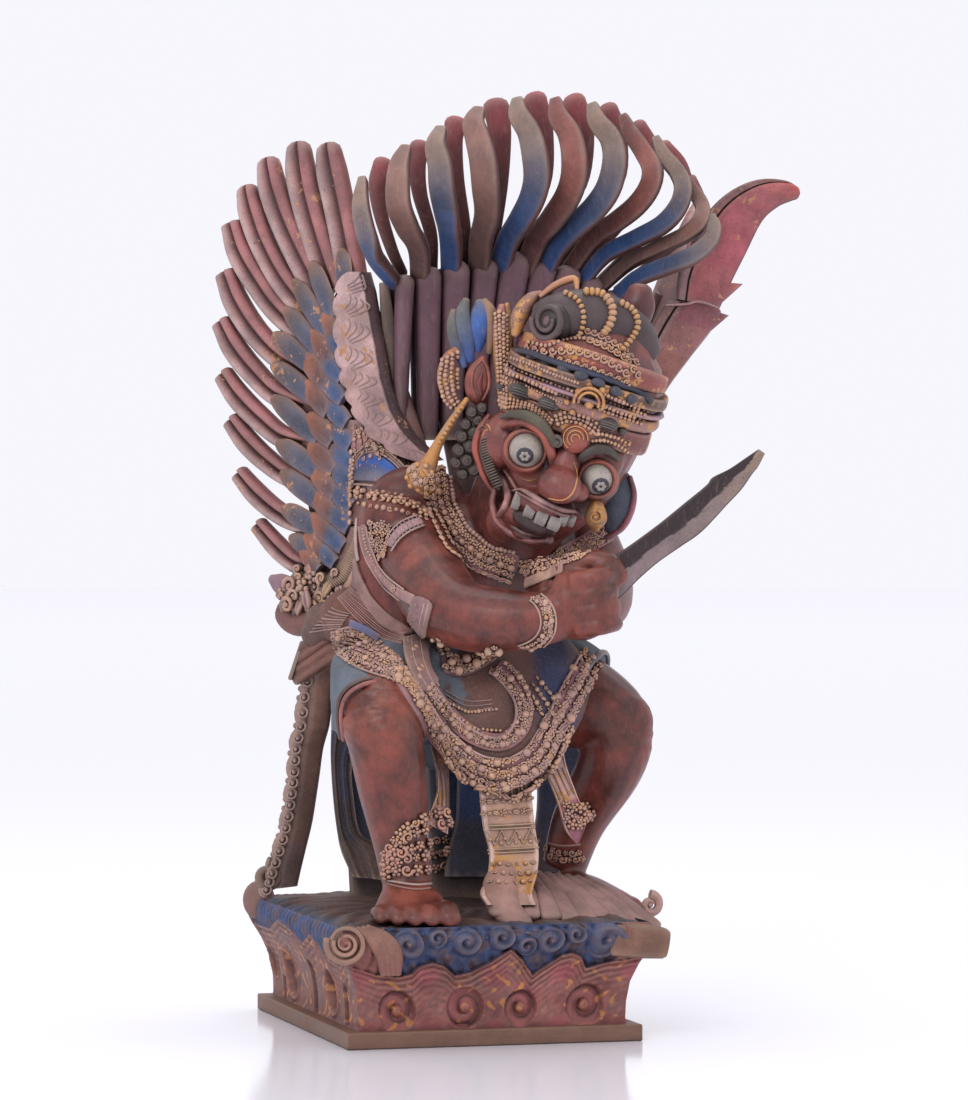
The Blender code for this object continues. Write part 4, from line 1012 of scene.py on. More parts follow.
def dappled(a, z, codes, scale=6.0, seed=0.0):
    """Broad soft patches of several paints over a side."""
    v = np.sin(a / scale + seed) + np.sin(z / scale * 1.3 + a / (2.3 * scale) + 2 * seed) + 0.6 * np.sin(a
        / scale * 2.7 - z / scale * 2.1)
    return blend(codes, np.clip(v / 5.2 + 0.5, 0, 1).ravel()).reshape(*a.shape, 4)


def toned(colour, code, share):
    """A field of colours moved towards one colour."""
    return colour * (1 - share[..., None]) + np.array(linear(code)) * share[..., None]


def front_place(u, v):
    """(along, height) in millimetres of what is seen at (u, v) on the front."""
    p = seen_on(u, v, (0, -HALF_D, 0), (0, -1, 0))
    return (p[0] + HALF_W) / MM, p[2] / MM


def left_place(u, v):
    """The same on the side to the figure's right."""
    p = seen_on(u, v, (-HALF_W, 0, 0), (-1, 0, 0))
    return (HALF_D - p[1]) / MM, p[2] / MM


def leafy(depth, a):
    """Curled gouge cuts that follow the peak line."""
    return 1.2 * np.cos(tau * depth / 5.2 + 0.5 * np.sin(a / 4)) * np.exp(-np.clip(depth, 0, 99) / 14)


def shaded_leaf_lines(colour, depth, a):
    """Painted shade in the grooves and a painted highlight on the ridges of the lines that `leafy` cuts."""
    lines = leafy(depth, a) / 1.2
    colour = toned(colour, "#33201e", np.clip(-lines, 0, 1) * 0.60)
    return toned(colour, "#b28a7c", np.clip(lines, 0, 1) * 0.38)


def wave_cuts(a, z):
    """Fine wavering gouge cuts of the blue waves."""
    return 0.8 * np.sin(a / 1.6 + 2.0 * np.sin(z / 5)) + 0.3 * np.sin(z / 1.3 + a / 7)


front_line = np.array([front_place(u, v) for u, v in ((334, 955), (352, 968), (372, 975), (395, 978),
    (410, 975), (420, 967), (433, 963), (445, 967), (455, 977), (472, 973), (492, 962), (508.5, 949),
    (522, 960),
    (536, 976), (550, 965), (560, 955), (570, 953), (580, 957), (590, 969), (612, 962), (640, 957),
        (666, 952))])
front_volutes = [(front_place(391, 1013), 16.5, 1), (front_place(466, 1009), 16.5, -1),
    (front_place(527, 1009), 14.5, 1), (front_place(597, 1006), 17, 1)]
front_waves = [(front_place(411.5, 944), 12.5, 1), (front_place(439, 938), 8, -1), (front_place(467, 942),
    11.5, 1), (front_place(500, 937), 10.5, 1), (front_place(524, 946), 8, -1), (front_place(546, 940), 11,
    1), (front_place(570, 934), 8, 1), (front_place(599.5, 940), 15, -1)]


def front_field(a, z):
    line = np.interp(a, front_line[:, 0], front_line[:, 1])
    depth = line - z
    above = np.clip(-depth / 1.2, 0, 1)
    corner = np.clip((a - front_place(614, 940)[0]) / 2, 0, 1) * above
    left = np.clip((front_place(388, 960)[0] - a) / 2, 0, 1) * above
    height = (1 - above) * (0.8 + leafy(depth, a)) + above * (-3.4 + wave_cuts(a,
        z)) * (1 - corner) * (1 - left) + corner * 1.6 + left * (0.8 * np.cos(tau * np.hypot(a,
        z - 80) / 7))
    colour = dappled(a, z, ["#6c3e3f", "#7c4946", "#8c564f", "#79524f", "#9c6358"], 5.0)
    colour = shaded_leaf_lines(colour, depth, a)
    colour = toned(colour, "#9c4b53", np.clip(np.sin(a / 9 + 1) * np.sin(z / 7), 0, 1) * 0.6)
    blue = dappled(a, z, ["#443a3f", "#2d3d60", "#31446b", "#5b494d", "#2a3553"], 4.0, 1.0)
    w = above * (1 - corner) * (1 - left)
    colour = colour * (1 - w[..., None]) + blue * w[..., None]
    colour = toned(colour, "#795246", corner)
    colour = toned(colour, "#835148", left * 0.8)
    colour = toned(colour, "#2b3454", np.clip(1 - np.abs(depth + 1.0) / 1.4, 0,
        1) * (1 - corner) * (1 - left) * 0.8)
    colour = toned(colour, "#a96e58", np.clip(1 - np.abs(depth - 1.6) / 1.6, 0, 1) * 0.5)
    for (a0, z0), radius, way in front_volutes:
        rise, inside, ridge = volute(a, z, a0, z0, radius, 1.15, way, 0.15)
        height = height * (1 - inside) + rise + inside * -4.2
        colour = toned(colour, "#8c5251", inside * 0.7)
        # painted shade in the spiral hollow between the volute's ridges
        colour = toned(colour, "#2a1618", inside * np.clip(0.55 - ridge, 0, 1) * 1.8)
        r = np.hypot(a - a0, z - z0)
        colour = toned(colour, "#b77b5a", np.clip(1 - np.abs(r - 3) / 1.5, 0, 1) * 0.8)
    for (a0, z0), radius, way in front_waves:
        rise, inside, ridge = volute(a, z, a0, z0, radius, 1.35, way, 0.3, 5.2, 0.2)
        height = height * (1 - inside) + rise + inside * -1.2
        colour = toned(colour, "#565363", inside * ridge * 0.8)
        # painted shade in the spiral hollow of each wave
        colour = toned(colour, "#222a49", inside * np.clip(0.55 - ridge, 0, 1) * 1.8)
    flecks = (np.sin(a / 3.4 + 2.4 * np.sin(z / 4.1)) * np.sin(z / 5.2 + 1.7
        * np.sin(a / 6.3)) > 0.74) & (depth > 2) & (depth < 46) & (np.sin(a / 15) > -0.5)
    return height, toned(colour, "#bd7e49", flecks * 0.8)


side_line = np.array([left_place(u, v) for u, v in ((252, 905), (262, 925), (275, 930), (288, 921),
    (298, 930), (306, 944), (318, 935), (328, 955), (337, 962), (343, 957))])
side_line = side_line[np.argsort(side_line[:, 0])]


def left_field(a, z):
    line = np.interp(a, side_line[:, 0], side_line[:, 1])
    depth = line - z
    above = np.clip(-depth / 1.4, 0, 1)
    ribs = np.abs(np.sin(a / 3.4 + 0.8 * np.sin(z / 6)))
    height = above * (-2.4 + 2.4 * ribs) + (1 - above) * leafy(depth, a)
    colour = dappled(a, z, ["#66403f", "#784b46", "#875849", "#6c474a", "#8c6353"], 7.0, 2.0)
    colour = shaded_leaf_lines(colour, depth, a)
    blue = dappled(a, z, ["#443a3f", "#2d3d60", "#374973", "#5b494d", "#2a3553"], 5.0, 1.0)
    colour = colour * (1 - above[..., None]) + blue * above[..., None]
    for a0, z0, wide, tall, deep in ((*left_place(322, 992), 17, 17, 6.5), (*left_place(280, 972), 20, 19,
            4.5), (*left_place(262, 960), 12, 12, 3)):
        d = np.hypot((a - a0) / wide, (z - z0) / tall)
        arch = np.clip((1 - d) / 0.16, 0, 1)
        rim = np.clip(1 - np.abs(d - 1.12) / 0.14, 0, 1)
        height = height - deep * arch + 1.6 * rim
        # painted shade in each recessed arch and a painted highlight on its raised rim
        colour = toned(colour, "#543538", arch * 0.6)
        colour = toned(colour, "#b47b5a", rim * 0.35)
    for u, v0, v1, half in ((303, 960, 1008, 7), (336, 985, 1022, 7), (270, 975, 1000, 5)):
        a0 = left_place(u, v0)[0]
        z1, z0 = left_place(u, v0)[1], left_place(u, v1)[1]
        gap = np.clip((half - np.abs(a - a0)) / 2.5, 0, 1) * np.clip((z1 - z) / 5, 0,
            1) * np.clip((z - z0 + 6) / 5, 0, 1)
        height = height - 9 * gap
        # painted shade down each deep slot
        colour = toned(colour, "#301d1f", gap * 0.7)
    flecks = (np.sin(a / 4.4 + 2.4 * np.sin(z / 5)) * np.sin(z / 6 + 1.7
        * np.sin(a / 7)) > 0.80) & (depth > 0)
    return height, toned(colour, "#d0915d", flecks * 0.7)


def plain_field(a, z):
    line = 66 + 9 * np.abs(np.sin(a * pi / 62)) ** 0.8
    depth = line - z
    above = np.clip(-depth / 1.4, 0, 1)
    height = above * (-2 + wave_cuts(a, z)) + (1 - above) * leafy(depth, a)
    colour = dappled(a, z, ["#6c3e3f", "#7c4b46", "#8c564f", "#79524f"], 6.0, 3.0)
    colour = shaded_leaf_lines(colour, depth, a)
    blue = dappled(a, z, ["#443a3f", "#2d3d60", "#5b494d", "#2a3553"], 5.0, 2.0)
    colour = colour * (1 - above[..., None]) + blue * above[..., None]
    a0 = (np.round(a / 62 - 0.5) + 0.5) * 62
    rise, inside, ridge = volute(a - a0, z, 0, 33, 16, 1.15, 1, 0.15)
    height = height * (1 - inside) + rise - 1.6 * inside
    # painted shade in the volute's spiral hollow
    return height, toned(colour, "#2a1618", inside * np.clip(0.55 - ridge, 0, 1) * 1.8)


# %% [markdown]
# Each side runs from corner to corner as one relief, and stands out further towards the top.

# %% Pedestal block
def pedestal_side(carving, corner, along, out, length, field_of, step):
    """One side from the slab to the top edge, mitred at both corners."""
    f, z = np.meshgrid(np.linspace(0, 1, int(length / step)), np.linspace(10, 93, int(83 / step)),
        indexing="ij")
    height, colour = field_of(f * length, z)
    taper = np.clip(np.minimum(f, 1 - f) * length / 3, 0, 1) * np.clip((z - 12) / 4, 0,
        1) * np.clip((93 - z) / 3, 0, 1)
    flare = np.interp(z, FLARE_Z, FLARE)
    way = (-flare + (length + 2 * flare) * f) * MM
    push = (flare + height * taper) * MM
    points = np.array(corner)[None, None] + np.array(along)[None, None] * way[...,
        None] + np.array(out)[None, None] * push[..., None]
    points[..., 2] = z * MM
    n, m = f.shape
    carving.add(points.reshape(-1, 3), quads(n, m), colour.reshape(-1, 4))


pedestal = Carving()
pedestal_side(pedestal, (-HALF_W, -HALF_D, 0), (1, 0, 0), (0, -1, 0), 236, front_field, 1.0)
pedestal_side(pedestal, (-HALF_W, HALF_D, 0), (0, -1, 0), (-1, 0, 0), 304, left_field, 1.2)
pedestal_side(pedestal, (HALF_W, -HALF_D, 0), (0, 1, 0), (1, 0, 0), 304, plain_field, 1.8)
pedestal_side(pedestal, (HALF_W, HALF_D, 0), (-1, 0, 0), (0, 1, 0), 236, plain_field, 1.8)
inset = FLARE[0] * MM
pedestal.add([(sx * (HALF_W + inset), sy * (HALF_D + inset), 0.010) for sx, sy in ((-1, -1), (-1, 1),
    (1, 1), (1, -1))], [[0, 1, 2, 3]], linear(ROSE))
pedestal.piece("pedestal_block", pedestal_paint, "statue_wood", sharp=38)

slab = Carving()
slab.loft([((0, -HALF_D, SLAB / 2), HALF_W, SLAB / 2), ((0, HALF_D, SLAB / 2), HALF_W, SLAB / 2)],
    (0, 0, 1), ["#65463a"], 3, [(1, -1), (1, 1), (-1, 1), (-1, -1)])
slab = slab.piece("pedestal_slab", bare_wood, "statue_wood", sharp=40)
bevel = slab.modifiers.new("worn_edges", "BEVEL")
bevel.width, bevel.segments = 0.0012, 2

# %% [markdown]
# The top is painted like water, blue at the edges and worn to brown wood under the feet.

# %% Pedestal top
top = Carving()
grid_x, grid_y = np.meshgrid(np.linspace(-1, 1, 118), np.linspace(-1, 1, 152))
gx, gy = grid_x * (HALF_W + 0.0042), grid_y * (HALF_D + 0.0042)
edge_fall = np.minimum((1 - np.abs(grid_x)) * HALF_W, (1 - np.abs(grid_y)) * HALF_D)
fan = np.arctan2(gy - 0.03, gx - 0.02)
far_out = np.hypot(gx - 0.02, gy - 0.03)
gouge = np.sin(fan * 38 + 2.5 * np.sin(far_out * 60)) * np.clip(far_out / 0.06, 0, 1)
rise = 0.0011 * gouge + 0.0016 * np.sin(gx * 70 + 3 * np.sin(gy * 30)) * np.cos(gy * 55)
rise += 0.004 * np.exp(-((gx + 0.05) ** 2 + (gy - 0.06) ** 2) / 0.004)
gz = PEDESTAL_TOP + 0.0004 + rise - 0.010 * np.exp(-edge_fall / 0.006) + 0.0008 * np.sin(gx
    * 900) * np.exp(-edge_fall / 0.012)
points = np.stack([gx, gy, gz], -1).reshape(-1, 3)
n, m = gx.shape
faces = quads(n, m)
rim = list(range(m)) + [i * m + m - 1 for i in range(1, n)] + [(n - 1) * m + i for i in range(m - 2, -1,
    -1)] + [i * m for i in range(n - 2, 0, -1)]
under = points[rim].copy()
under[:, 2] = 0.070
under[:, :2] *= 0.93
base = len(points)
faces += [[rim[i], rim[(i + 1) % len(rim)], base + (i + 1) % len(rim), base + i] for i in range(len(rim))]
faces.append([base + i for i in range(len(rim))][::-1])
reach = np.clip((edge_fall + 0.004 * np.sin(gx * 90 + gy * 70)).ravel() / 0.034, 0, 1)
shade = blend([WAVE_BLUE, "#343d56", "#42424a", "#513e37", WOOD_BROWN, "#4d3a36"], reach)
lit = (0.35 * np.clip(gouge, 0, 1)).ravel()[:, None]
shade = shade * (1 - lit) + np.array(linear("#76594f")) * lit
top.add(np.vstack([points, under]), faces, np.vstack([shade, np.tile(linear(ROSE), (len(rim), 1))]))
carrier(top.piece("pedestal_top", cloth_paint, "statue_wood", sharp=60))

# %% Corner scrolls of the pedestal
corners = Carving()
hub = seen(346, 944, -156)
corners.ball(hub + Vector((0.006, 0.012, -0.002)), (0.0165, 0.0155, 0.0150), "#7e5849", None, 26, 16)
face_out = unit(Vector((-0.28, -1, 0.05)))
across = unit(Vector((0, 0, 1)).cross(face_out)) * -1
for r, thick, turns, tone in ((0.0150, 0.0026, 1.0, "#875f51"), (0.0098, 0.0020, 1.9, "#966c5d")):
    corners.scroll(hub + face_out * 0.0030, across, (0, 0, 1), r, thick, tone, turns, 0, 0.1, 44,
        0.9 if r < 0.012 else 0.25)
for k in range(4):
    a = [(352 + 5 * k, 931 - k), (368 + 6 * k, 938), (380 + 5.5 * k, 953), (384 + 4.5 * k, 974)]
    corners.loft([(seen(*a[0], -152), 0.003, 0.003), (seen(*a[1], -158), 0.0046, 0.004), (seen(*a[2], -159),
        0.0048, 0.004), (seen(*a[3], -154), 0.003, 0.003)], (0, -1, 0.2), ["#785246", "#875c4f", "#784946"],
        18, OVAL, None, (0.4, 0.4))
# rounded corner at the far left and the plain stepped block at the right front corner
corners.ball(seen(259, 900, 140), (0.013, 0.018, 0.016), "#75524d", None, 20, 12)
corners.loft(drawn(seen, [(612, 939, -146, 13, 12), (640, 940, -150, 14, 13), (662, 943, -150, 12, 11)]),
    (0, -1, 0), ["#755246", "#7e5a49"], 10, BOARD, None, (0.3, 0.4))
carrier(corners.piece("pedestal_corners", cloth_paint, "statue_wood", sharp=40))

# %% [markdown]
# The head is a mask-like face under a tall crown. Its skull, cheeks, muzzle and nose are fused into one
# red skin. Eyes, brows, lips, teeth and whiskers are crisp pieces laid over it, each by its own line.

# %% Head skin
FACE_RED = "#743d37"


def on_face(u, v, f):
    """The point seen at (u, v) on the plane f millimetres in front of the middle of the head."""
    return seen_on(u, v, on_head(0, f, 0), HEAD_FRONT)


def face_loft(carving, points, colours, samples=16, section=OVAL, tints=None, ends=(0.6, 0.6), face=None):
    """A loft from rows of (u, v, f, half width in mm, half thickness in mm)."""
    line = [(on_face(u, v, f), w * MM, t * MM) for u, v, f, w, t in points]
    carving.loft(line, HEAD_FRONT if face is None else face, colours, samples, section, tints, ends)


face = Carving()
line = [(-78, 24, 24, -14), (-60, 36, 34, -10), (-40, 46, 42, -6), (-14, 53, 47, -6), (10, 57, 51, -6),
    (30, 60, 54, -6), (44, 61, 54, -6), (58, 59, 51, -6), (72, 52, 45, -6), (84, 42, 36, -6)]
face.loft([(on_head(1, f, u), a * MM, b * MM) for u, a, b, f in line], HEAD_FRONT, [FACE_RED], 30, OVAL,
    None, (0.3, 0.4))
for u, v, f, r in ((526, 452, 32, (20, 12, 18)), (598, 481, 30, (17, 12, 17)), (500, 440, 16, (16, 16, 24)),
        (540, 425, 30, (26, 14, 14)), (563, 470, 44, (12, 12, 22)),
        (560, 485, 57, (17.5, 15.5, 14.5)), (548, 488, 50, (9, 10, 8.5)), (578, 492, 46, (9, 10, 8)),
            (545, 505, 38, (24, 18, 11)), (522, 512, 26, (18, 18, 14)),
        (505, 520, 10, (15, 20, 18)), (530, 534, 20, (20, 18, 9)), (575, 438, 42, (11, 8, 11)),
            (606, 462, 24, (14, 14, 20))):
    face.ball(on_face(u, v, f), tuple(x * MM for x in r), FACE_RED, HEAD_TURN, 20, 14)
# throat, nape and the red ears
face.loft(drawn(at, [(56, -44, 330, 34, 34), (62, -50, 352, 36, 36), (68, -60, 372, 38, 36)]), (0, -1, 0),
    ["#6a2f33"], 8)
head_skin = carrier(face.piece("head_skin", body_paint, "statue_wood", sharp=0, fuse=0.0016, soften=3))

# %% Eyes, brows and the disc between them
eye_white = aged("painted_eye_white", rough=0.4, wear="#b3a89c", wear_share=0.4, grime_and_shade="#4a3c38",
    shade_and_grime_share=0.7, speckle=0.6, mottle=0.22, relief=0.1, coat=0.2)
dark_paint = aged("dark_painted_hair", rough=0.5, wear="#7a6c62", wear_share=0.45, grime_and_shade="#14100f",
    speckle=0.2, mottle=0.3, relief=0.3, coat=0.1)
eyes, darks, face_lines = Carving(), Carving(), Carving()
for (u, v), r, (iu, iv) in (((526.5, 449), 14.6, (525, 455.5)), ((597.5, 478), 13.0, (600.5, 485.5))):
    centre = on_face(u, v, 40 if u < 560 else 36)
    eyes.ball(centre, (r * MM, 0.0115, r * MM), "#a0968c", HEAD_TURN, 28, 18)
    iris = on_face(iu, iv, 49.6 if u < 560 else 45.0)
    away = unit(iris - centre) * 0.6 + HEAD_FRONT * 0.4
    across = unit(HEAD_UP.cross(away))
    up = away.cross(across)
    turned_in = Matrix((across, -unit(away), up)).transposed()
    darks.ball(iris, (0.0070, 0.0022, 0.0070), "#31313c", turned_in, 22, 8)
    for k in range(6):
        a = tau * k / 6 + 0.3
        eyes.ball(iris + (across * cos(a) + up * sin(a)) * 0.0026 + unit(away) * 0.0016, (0.0018, 0.0012,
            0.0018), "#8d8780", turned_in, 8, 6)
    # lid rims
    rim = []
    for k in range(25):
        a = tau * k / 24
        rim.append((centre + (HEAD_RIGHT * cos(a) + HEAD_UP * sin(a)) * (r + 1.1) * MM + HEAD_FRONT
            * 0.0035, 0.0021, 0.0026))
    face_lines.loft(rim, HEAD_FRONT, ["#8f4a3e"], 49, OVAL[::2])
face_loft(face_lines, [(503, 424, 30, 4, 4), (524, 421, 45, 4.5, 4), (543, 432, 50, 4.5, 4), (551, 452, 49,
    4, 4), (553, 466, 46, 2.5, 3)], ["#91483b"], 22)
face_loft(darks, [(501, 417, 36, 1.6, 2), (512, 414.5, 45, 3.2, 2.6), (526, 415.5, 52, 4.2, 3),
    (540, 423, 55, 4.4, 3), (550, 435, 55, 3.4, 3), (555, 445, 54, 3, 3)], ["#4a443a", "#565040",
    "#4a443a"], 24)
darks.scroll(on_face(556.5, 442.5, 54), HEAD_RIGHT, HEAD_UP, 0.0052, 0.0022, "#4a4440", 1.0, 0.5, 0.9, 14)
face_loft(darks, [(577, 462, 47, 1.6, 2), (585, 454, 51, 3.4, 3), (597, 449, 50, 4, 3), (609, 451, 44, 3.6,
    3), (618, 459, 36, 2, 2)], ["#3c342f", "#4a423a"], 20)
face_lines.ball(on_face(575.5, 438.5, 50), (0.0118, 0.0062, 0.0118), "#934a3e", HEAD_TURN, 22, 14)
gold_lines = Carving()
for r, share in ((9.4, 1.0), (6.2, 0.8), (3.2, 0.7)):
    line = []
    for k in range(19):
        a = pi * (0.05 + 1.35 * k / 18)
        drop = sqrt(max(0.0, 1 - (r / 12.6) ** 2)) * 6.4
        line.append((on_face(575.5, 438.5, 50.2 + drop) + (HEAD_RIGHT * cos(a) + HEAD_UP * sin(a)) * r * MM,
            0.00055, 0.0006))
    gold_lines.loft(line, HEAD_FRONT, ["#c99158"], 36, OVAL[::2])
darks.scroll(on_face(484, 430, 17), HEAD_RIGHT, HEAD_UP, 0.0075, 0.0016, "#7c4a3e", 1.2, 0.3)
darks.piece("brows_and_irises", dark_paint, "statue_wood", sharp=0)
eyes.piece("eyes", eye_white, "statue_wood", sharp=0)

# %% Nose, lips, whiskers and teeth
for points, w in (([(573.5, 462), (577, 476), (573, 492), (563, 500), (549, 498)], 0.8),
        ([(478, 434), (482, 426), (488, 424), (491, 431)], 0.7), ([(482, 440), (485, 430), (489, 430)],
        0.6),
        ([(538, 478), (529, 481), (521, 477)], 0.6), ([(586, 386), (592, 384), (600, 389)], 0.7)):
    strap(gold_lines, points, w, w, ["#c08a55"], OVAL[::2], 2.0, 0.15, taper=[0.4, 1, 1, 0.5])
strap(face_lines, [(516, 489), (530.5, 496.5), (547, 504.5), (563, 511), (580, 512)], 2.4, 2.6,
    ["#a07a76", "#a88482", "#9c706c"], OVAL, 3, 2.6, taper=[0.4, 1, 1, 0.9, 0.3])
strap(face_lines, [(520, 495), (534, 502), (549, 509.5), (564, 515), (577, 515)], 1.8, 2.2,
    ["#8c5f5c", "#9a7470", "#8c5f5c"], OVAL, 3, 1.8, taper=[0.4, 1, 1, 0.8, 0.3])
strap(face_lines, [(494, 452), (500, 470), (508, 486), (509, 502), (500, 517)], 3.6, 3.0,
    ["#a06a66", "#a67a76", "#9c6a66"], OVAL, 3, 1.8, taper=[0.3, 1, 1, 0.8, 0.4])
strap(face_lines, [(506, 468), (513, 480), (519, 490)], 1.6, 2, ["#8a5c52", "#986c62"], OVAL, 3, 1.4,
    taper=[0.3, 1, 0.6])
face_loft(face_lines, [(495, 489, 22, 2.2, 4), (493, 504, 22, 3, 5), (499, 522, 24, 3.4, 5), (514, 534, 28,
    3.4, 5), (531, 540, 34, 3.2, 5), (546, 540, 40, 2.4, 4)], ["#9c6662", "#a4706c", "#9a6560"], 30)
face_loft(face_lines, [(508, 512, 28, 1.6, 4), (512, 524, 32, 2.2, 4), (524, 532, 38, 2.2, 4),
    (540, 535, 44, 1.8, 3)], ["#86696a", "#8c7070"], 20)
face_loft(face_lines, [(489, 416, 10, 2.4, 3), (480, 430, 14, 3.2, 4), (476, 447, 16, 3.4, 4),
    (480, 464, 18, 3.2, 4), (486, 480, 20, 2.6, 3), (494, 492, 22, 1.8, 2)], ["#8f4438", "#93473a",
    "#8f4438"], 28)
whisker = Carving()
face_loft(whisker, [(484, 436, 20, 1.5, 1.5), (484, 446, 22, 4.0, 2), (487, 460, 25, 4.6, 2.2),
    (492, 474, 27, 4.2, 2), (499, 489, 28, 1.8, 1.5)], ["#332925", "#3a2f2a", "#332925"], 20)
for k in range(19):
    f = k / 18
    u, v = np.interp(f, [0, 0.3, 0.7, 1], [485, 486, 491, 498]), 438 + 48 * f
    whisker.loft(drawn(on_face, [(u - 4.5, v + 1.8, 24 + 5 * f, 0.4, 0.6), (u, v, 27.5 + 4.5 * f, 0.8, 1),
        (u + 4.5, v - 1.8, 27 + 5 * f, 0.5, 0.6)]), HEAD_FRONT, ["#4d4138", "#6b5c4e"], 6, OVAL[::2])
# a near-black loft behind the teeth as painted shade inside the mouth
mouth = Carving()
face_loft(mouth, [(514, 512, 38, 5, 4), (526, 520, 44, 8, 5), (540, 527, 47, 8, 5), (552, 531, 46, 5, 4)],
    ["#2b1a1c"], 12)
# the nostrils as dark balls of painted shade, the larger on the side that shows
mouth.ball(on_face(547.5, 489.5, 60.5), (0.0042, 0.0025, 0.0034), "#3a1c1e", HEAD_TURN, 14, 8)
mouth.ball(on_face(574, 494, 53.5), (0.0030, 0.0022, 0.0028), "#3a1c1e", HEAD_TURN, 12, 8)
gold_lines.piece("gold_lines", rubbed_gilding, "statue_wood", sharp=0)
mouth.piece("mouth_hollow", body_paint, "statue_wood", sharp=0)
whisker.piece("whisker", dark_paint, "statue_wood", sharp=50)
teeth = Carving()
for u, v, f, w, tall, lean in ((517, 501, 42, 3.6, 7.0, 0.15), (529.5, 511.5, 49, 4.6, 4.8, 0.3),
        (541, 518.5, 51.5, 5.0, 5.2, 0.3), (554, 524, 51, 5.2, 5.2, 0.3), (563, 520, 49, 3.6, 4.6, 0.3),
        (571, 521, 44, 3.2, 4.0, 0.2)):
    up = HEAD_UP * cos(lean * 0.3) + HEAD_RIGHT * sin(lean * 0.3)
    middle = on_face(u, v, f)
    teeth.loft([(middle + up * tall * MM, w * MM, 0.0034),
        (middle + up * tall * 0.2 * MM + HEAD_FRONT * 0.0012, w * 1.02 * MM, 0.0042),
        (middle - up * tall * 0.75 * MM, w * 0.92 * MM, 0.0034), (middle - up * tall * MM, w * 0.7 * MM,
        0.002)], HEAD_FRONT, ["#77706e", "#8c8480", "#827a76"], 10, BOARD)
    teeth.scroll(middle + HEAD_FRONT * 0.0042, HEAD_RIGHT, up, w * 0.62 * MM, 0.0006, "#7c736d", 1.0, 0,
        steps=14, tight=0.05)
teeth.piece("teeth", eye_white, "statue_wood", sharp=40)
face_lines.piece("face_rims", body_paint, "statue_wood", sharp=50)

# %% [markdown]
# The crown is a stack of bands with a frieze in front of a coiled topknot. The ear has a tall
# wing-shaped ornament, a pin with a rosette, and curls of hair under it.

# %% Crown body
crown = Carving()


def crown_band(carving, u0, u1, r, out, wide, thick, colours, section=OVAL):
    """A band round the crown that stands at u0 at the back and climbs to u1 in front."""
    line = []
    for a in pi * np.linspace(-0.98, 0.98, 29):
        rise = u0 + (u1 - u0) * cos(a) ** 2 if abs(a) < pi / 2 else u0
        line.append((on_head(1 + r * sin(a), -6 + out * cos(a), rise), wide * MM, thick * MM))
    ways = np.array([unit(p - on_head(1, -6, u0)) for p, _, _ in line])
    carving.loft(line, ways, colours, len(line), section)


crown_band(crown, 14, 20, 58.5, 53, 9, 3, ["#6f3a3b"], BOARD)
crown_band(crown, 30, 34, 61, 55, 5, 3.5, ["#926661"], OVAL)
crown_band(crown, 38, 43, 62, 56, 2.2, 4.2, ["#90708b"], OVAL)
crown_band(crown, 48, 54, 62, 56, 5, 3.5, ["#5e433b"], BOARD)
crown.loft([(on_head(1 + 57 * sin(a), -6 + 50 * cos(a), 62 + 8 * cos(a)), (6.5 + 3 * cos(a)) * MM, 0.0035)
    for a in np.linspace(-1.9, 1.9, 25)], np.array([unit(HEAD_RIGHT * sin(a) + HEAD_FRONT * cos(a))
    for a in np.linspace(-1.9, 1.9, 25)]), ["#904944"], 25, BOARD)
crown.ball(on_head(0, -8, 66), (0.056, 0.050, 0.022), "#4e3033", HEAD_TURN, 26, 12)
carrier(crown.piece("crown_bands", flower_paint, "statue_wood", sharp=50))

# %% [markdown]
# The hair is coiled over a flame-shaped core and tied with strings of beads.

# %% Topknot
knot = Carving()
coil = [(541, 322, 4, 15.5, 15.5), (556, 319, 8, 19.5, 19), (575, 317, 8, 22, 21), (598, 321, 5, 23, 21),
    (618, 330, 0, 22.5, 20), (634, 342, -5, 20, 18), (646, 354, -9, 14, 13)]
knot.loft([(on_face(u, v, f), a * MM, b * MM) for u, v, f, a, b in coil], HEAD_FRONT, ["#504243", "#483b3d",
    "#413537", "#4e4042"], 30, [(cos(tau * k / 28), sin(tau * k / 28)) for k in range(28)], None,
    (0.12, 0.5))
axis = unit(HEAD_FRONT * 0.80 - HEAD_RIGHT * 0.60 + HEAD_UP * 0.05)
side = unit(axis.cross(HEAD_UP))
tall = side.cross(axis)
hub = on_face(550, 321, 26)
knot.ball(hub - axis * 0.010, (0.0155, 0.0155, 0.0165), "#2e2426", HEAD_TURN, 24, 16)
line = []
for f in np.linspace(0, 1, 44):
    a = -0.2 - tau * 1.55 * f
    middle = hub + (side * cos(a) + tall * sin(a)) * 15.4 * (1 - 0.62 * f) * MM + axis * (0.0015 + 0.002
        * f)
    line.append((middle, 3.0 * (1 - 0.35 * f) * MM, 3.9 * (1 - 0.3 * f) * MM))
knot.loft(line, axis, ["#584747", "#4e3f3f", "#5e4b4c"], 60, OVAL)
knot.ball(hub + axis * 0.001, (0.0050, 0.0050, 0.0062), "#6f5555", HEAD_TURN, 14, 10)
carrier(knot.piece("topknot", dark_paint, "statue_wood", sharp=45))
strings = []
for points, size in (([(566, 294), (577, 300), (583, 312), (583, 324), (579, 337)], 2.5),
        ([(586, 293), (601, 295), (611, 306), (611, 320), (604, 333)], 3.6),
        ([(621, 304), (632, 311), (637, 325), (631, 338), (622, 349)], 2.9)):
    for p, n, way in trail(points, 5.2 if size < 3 else 5.6, 0.6):
        strings.append((p, n, way, (size, size * 0.82, size * 1.1), "#a58a78"))
ornament("topknot_beads", bead, strings, worn_gilding)
lobes = Carving()
knot_leaf = Carving()
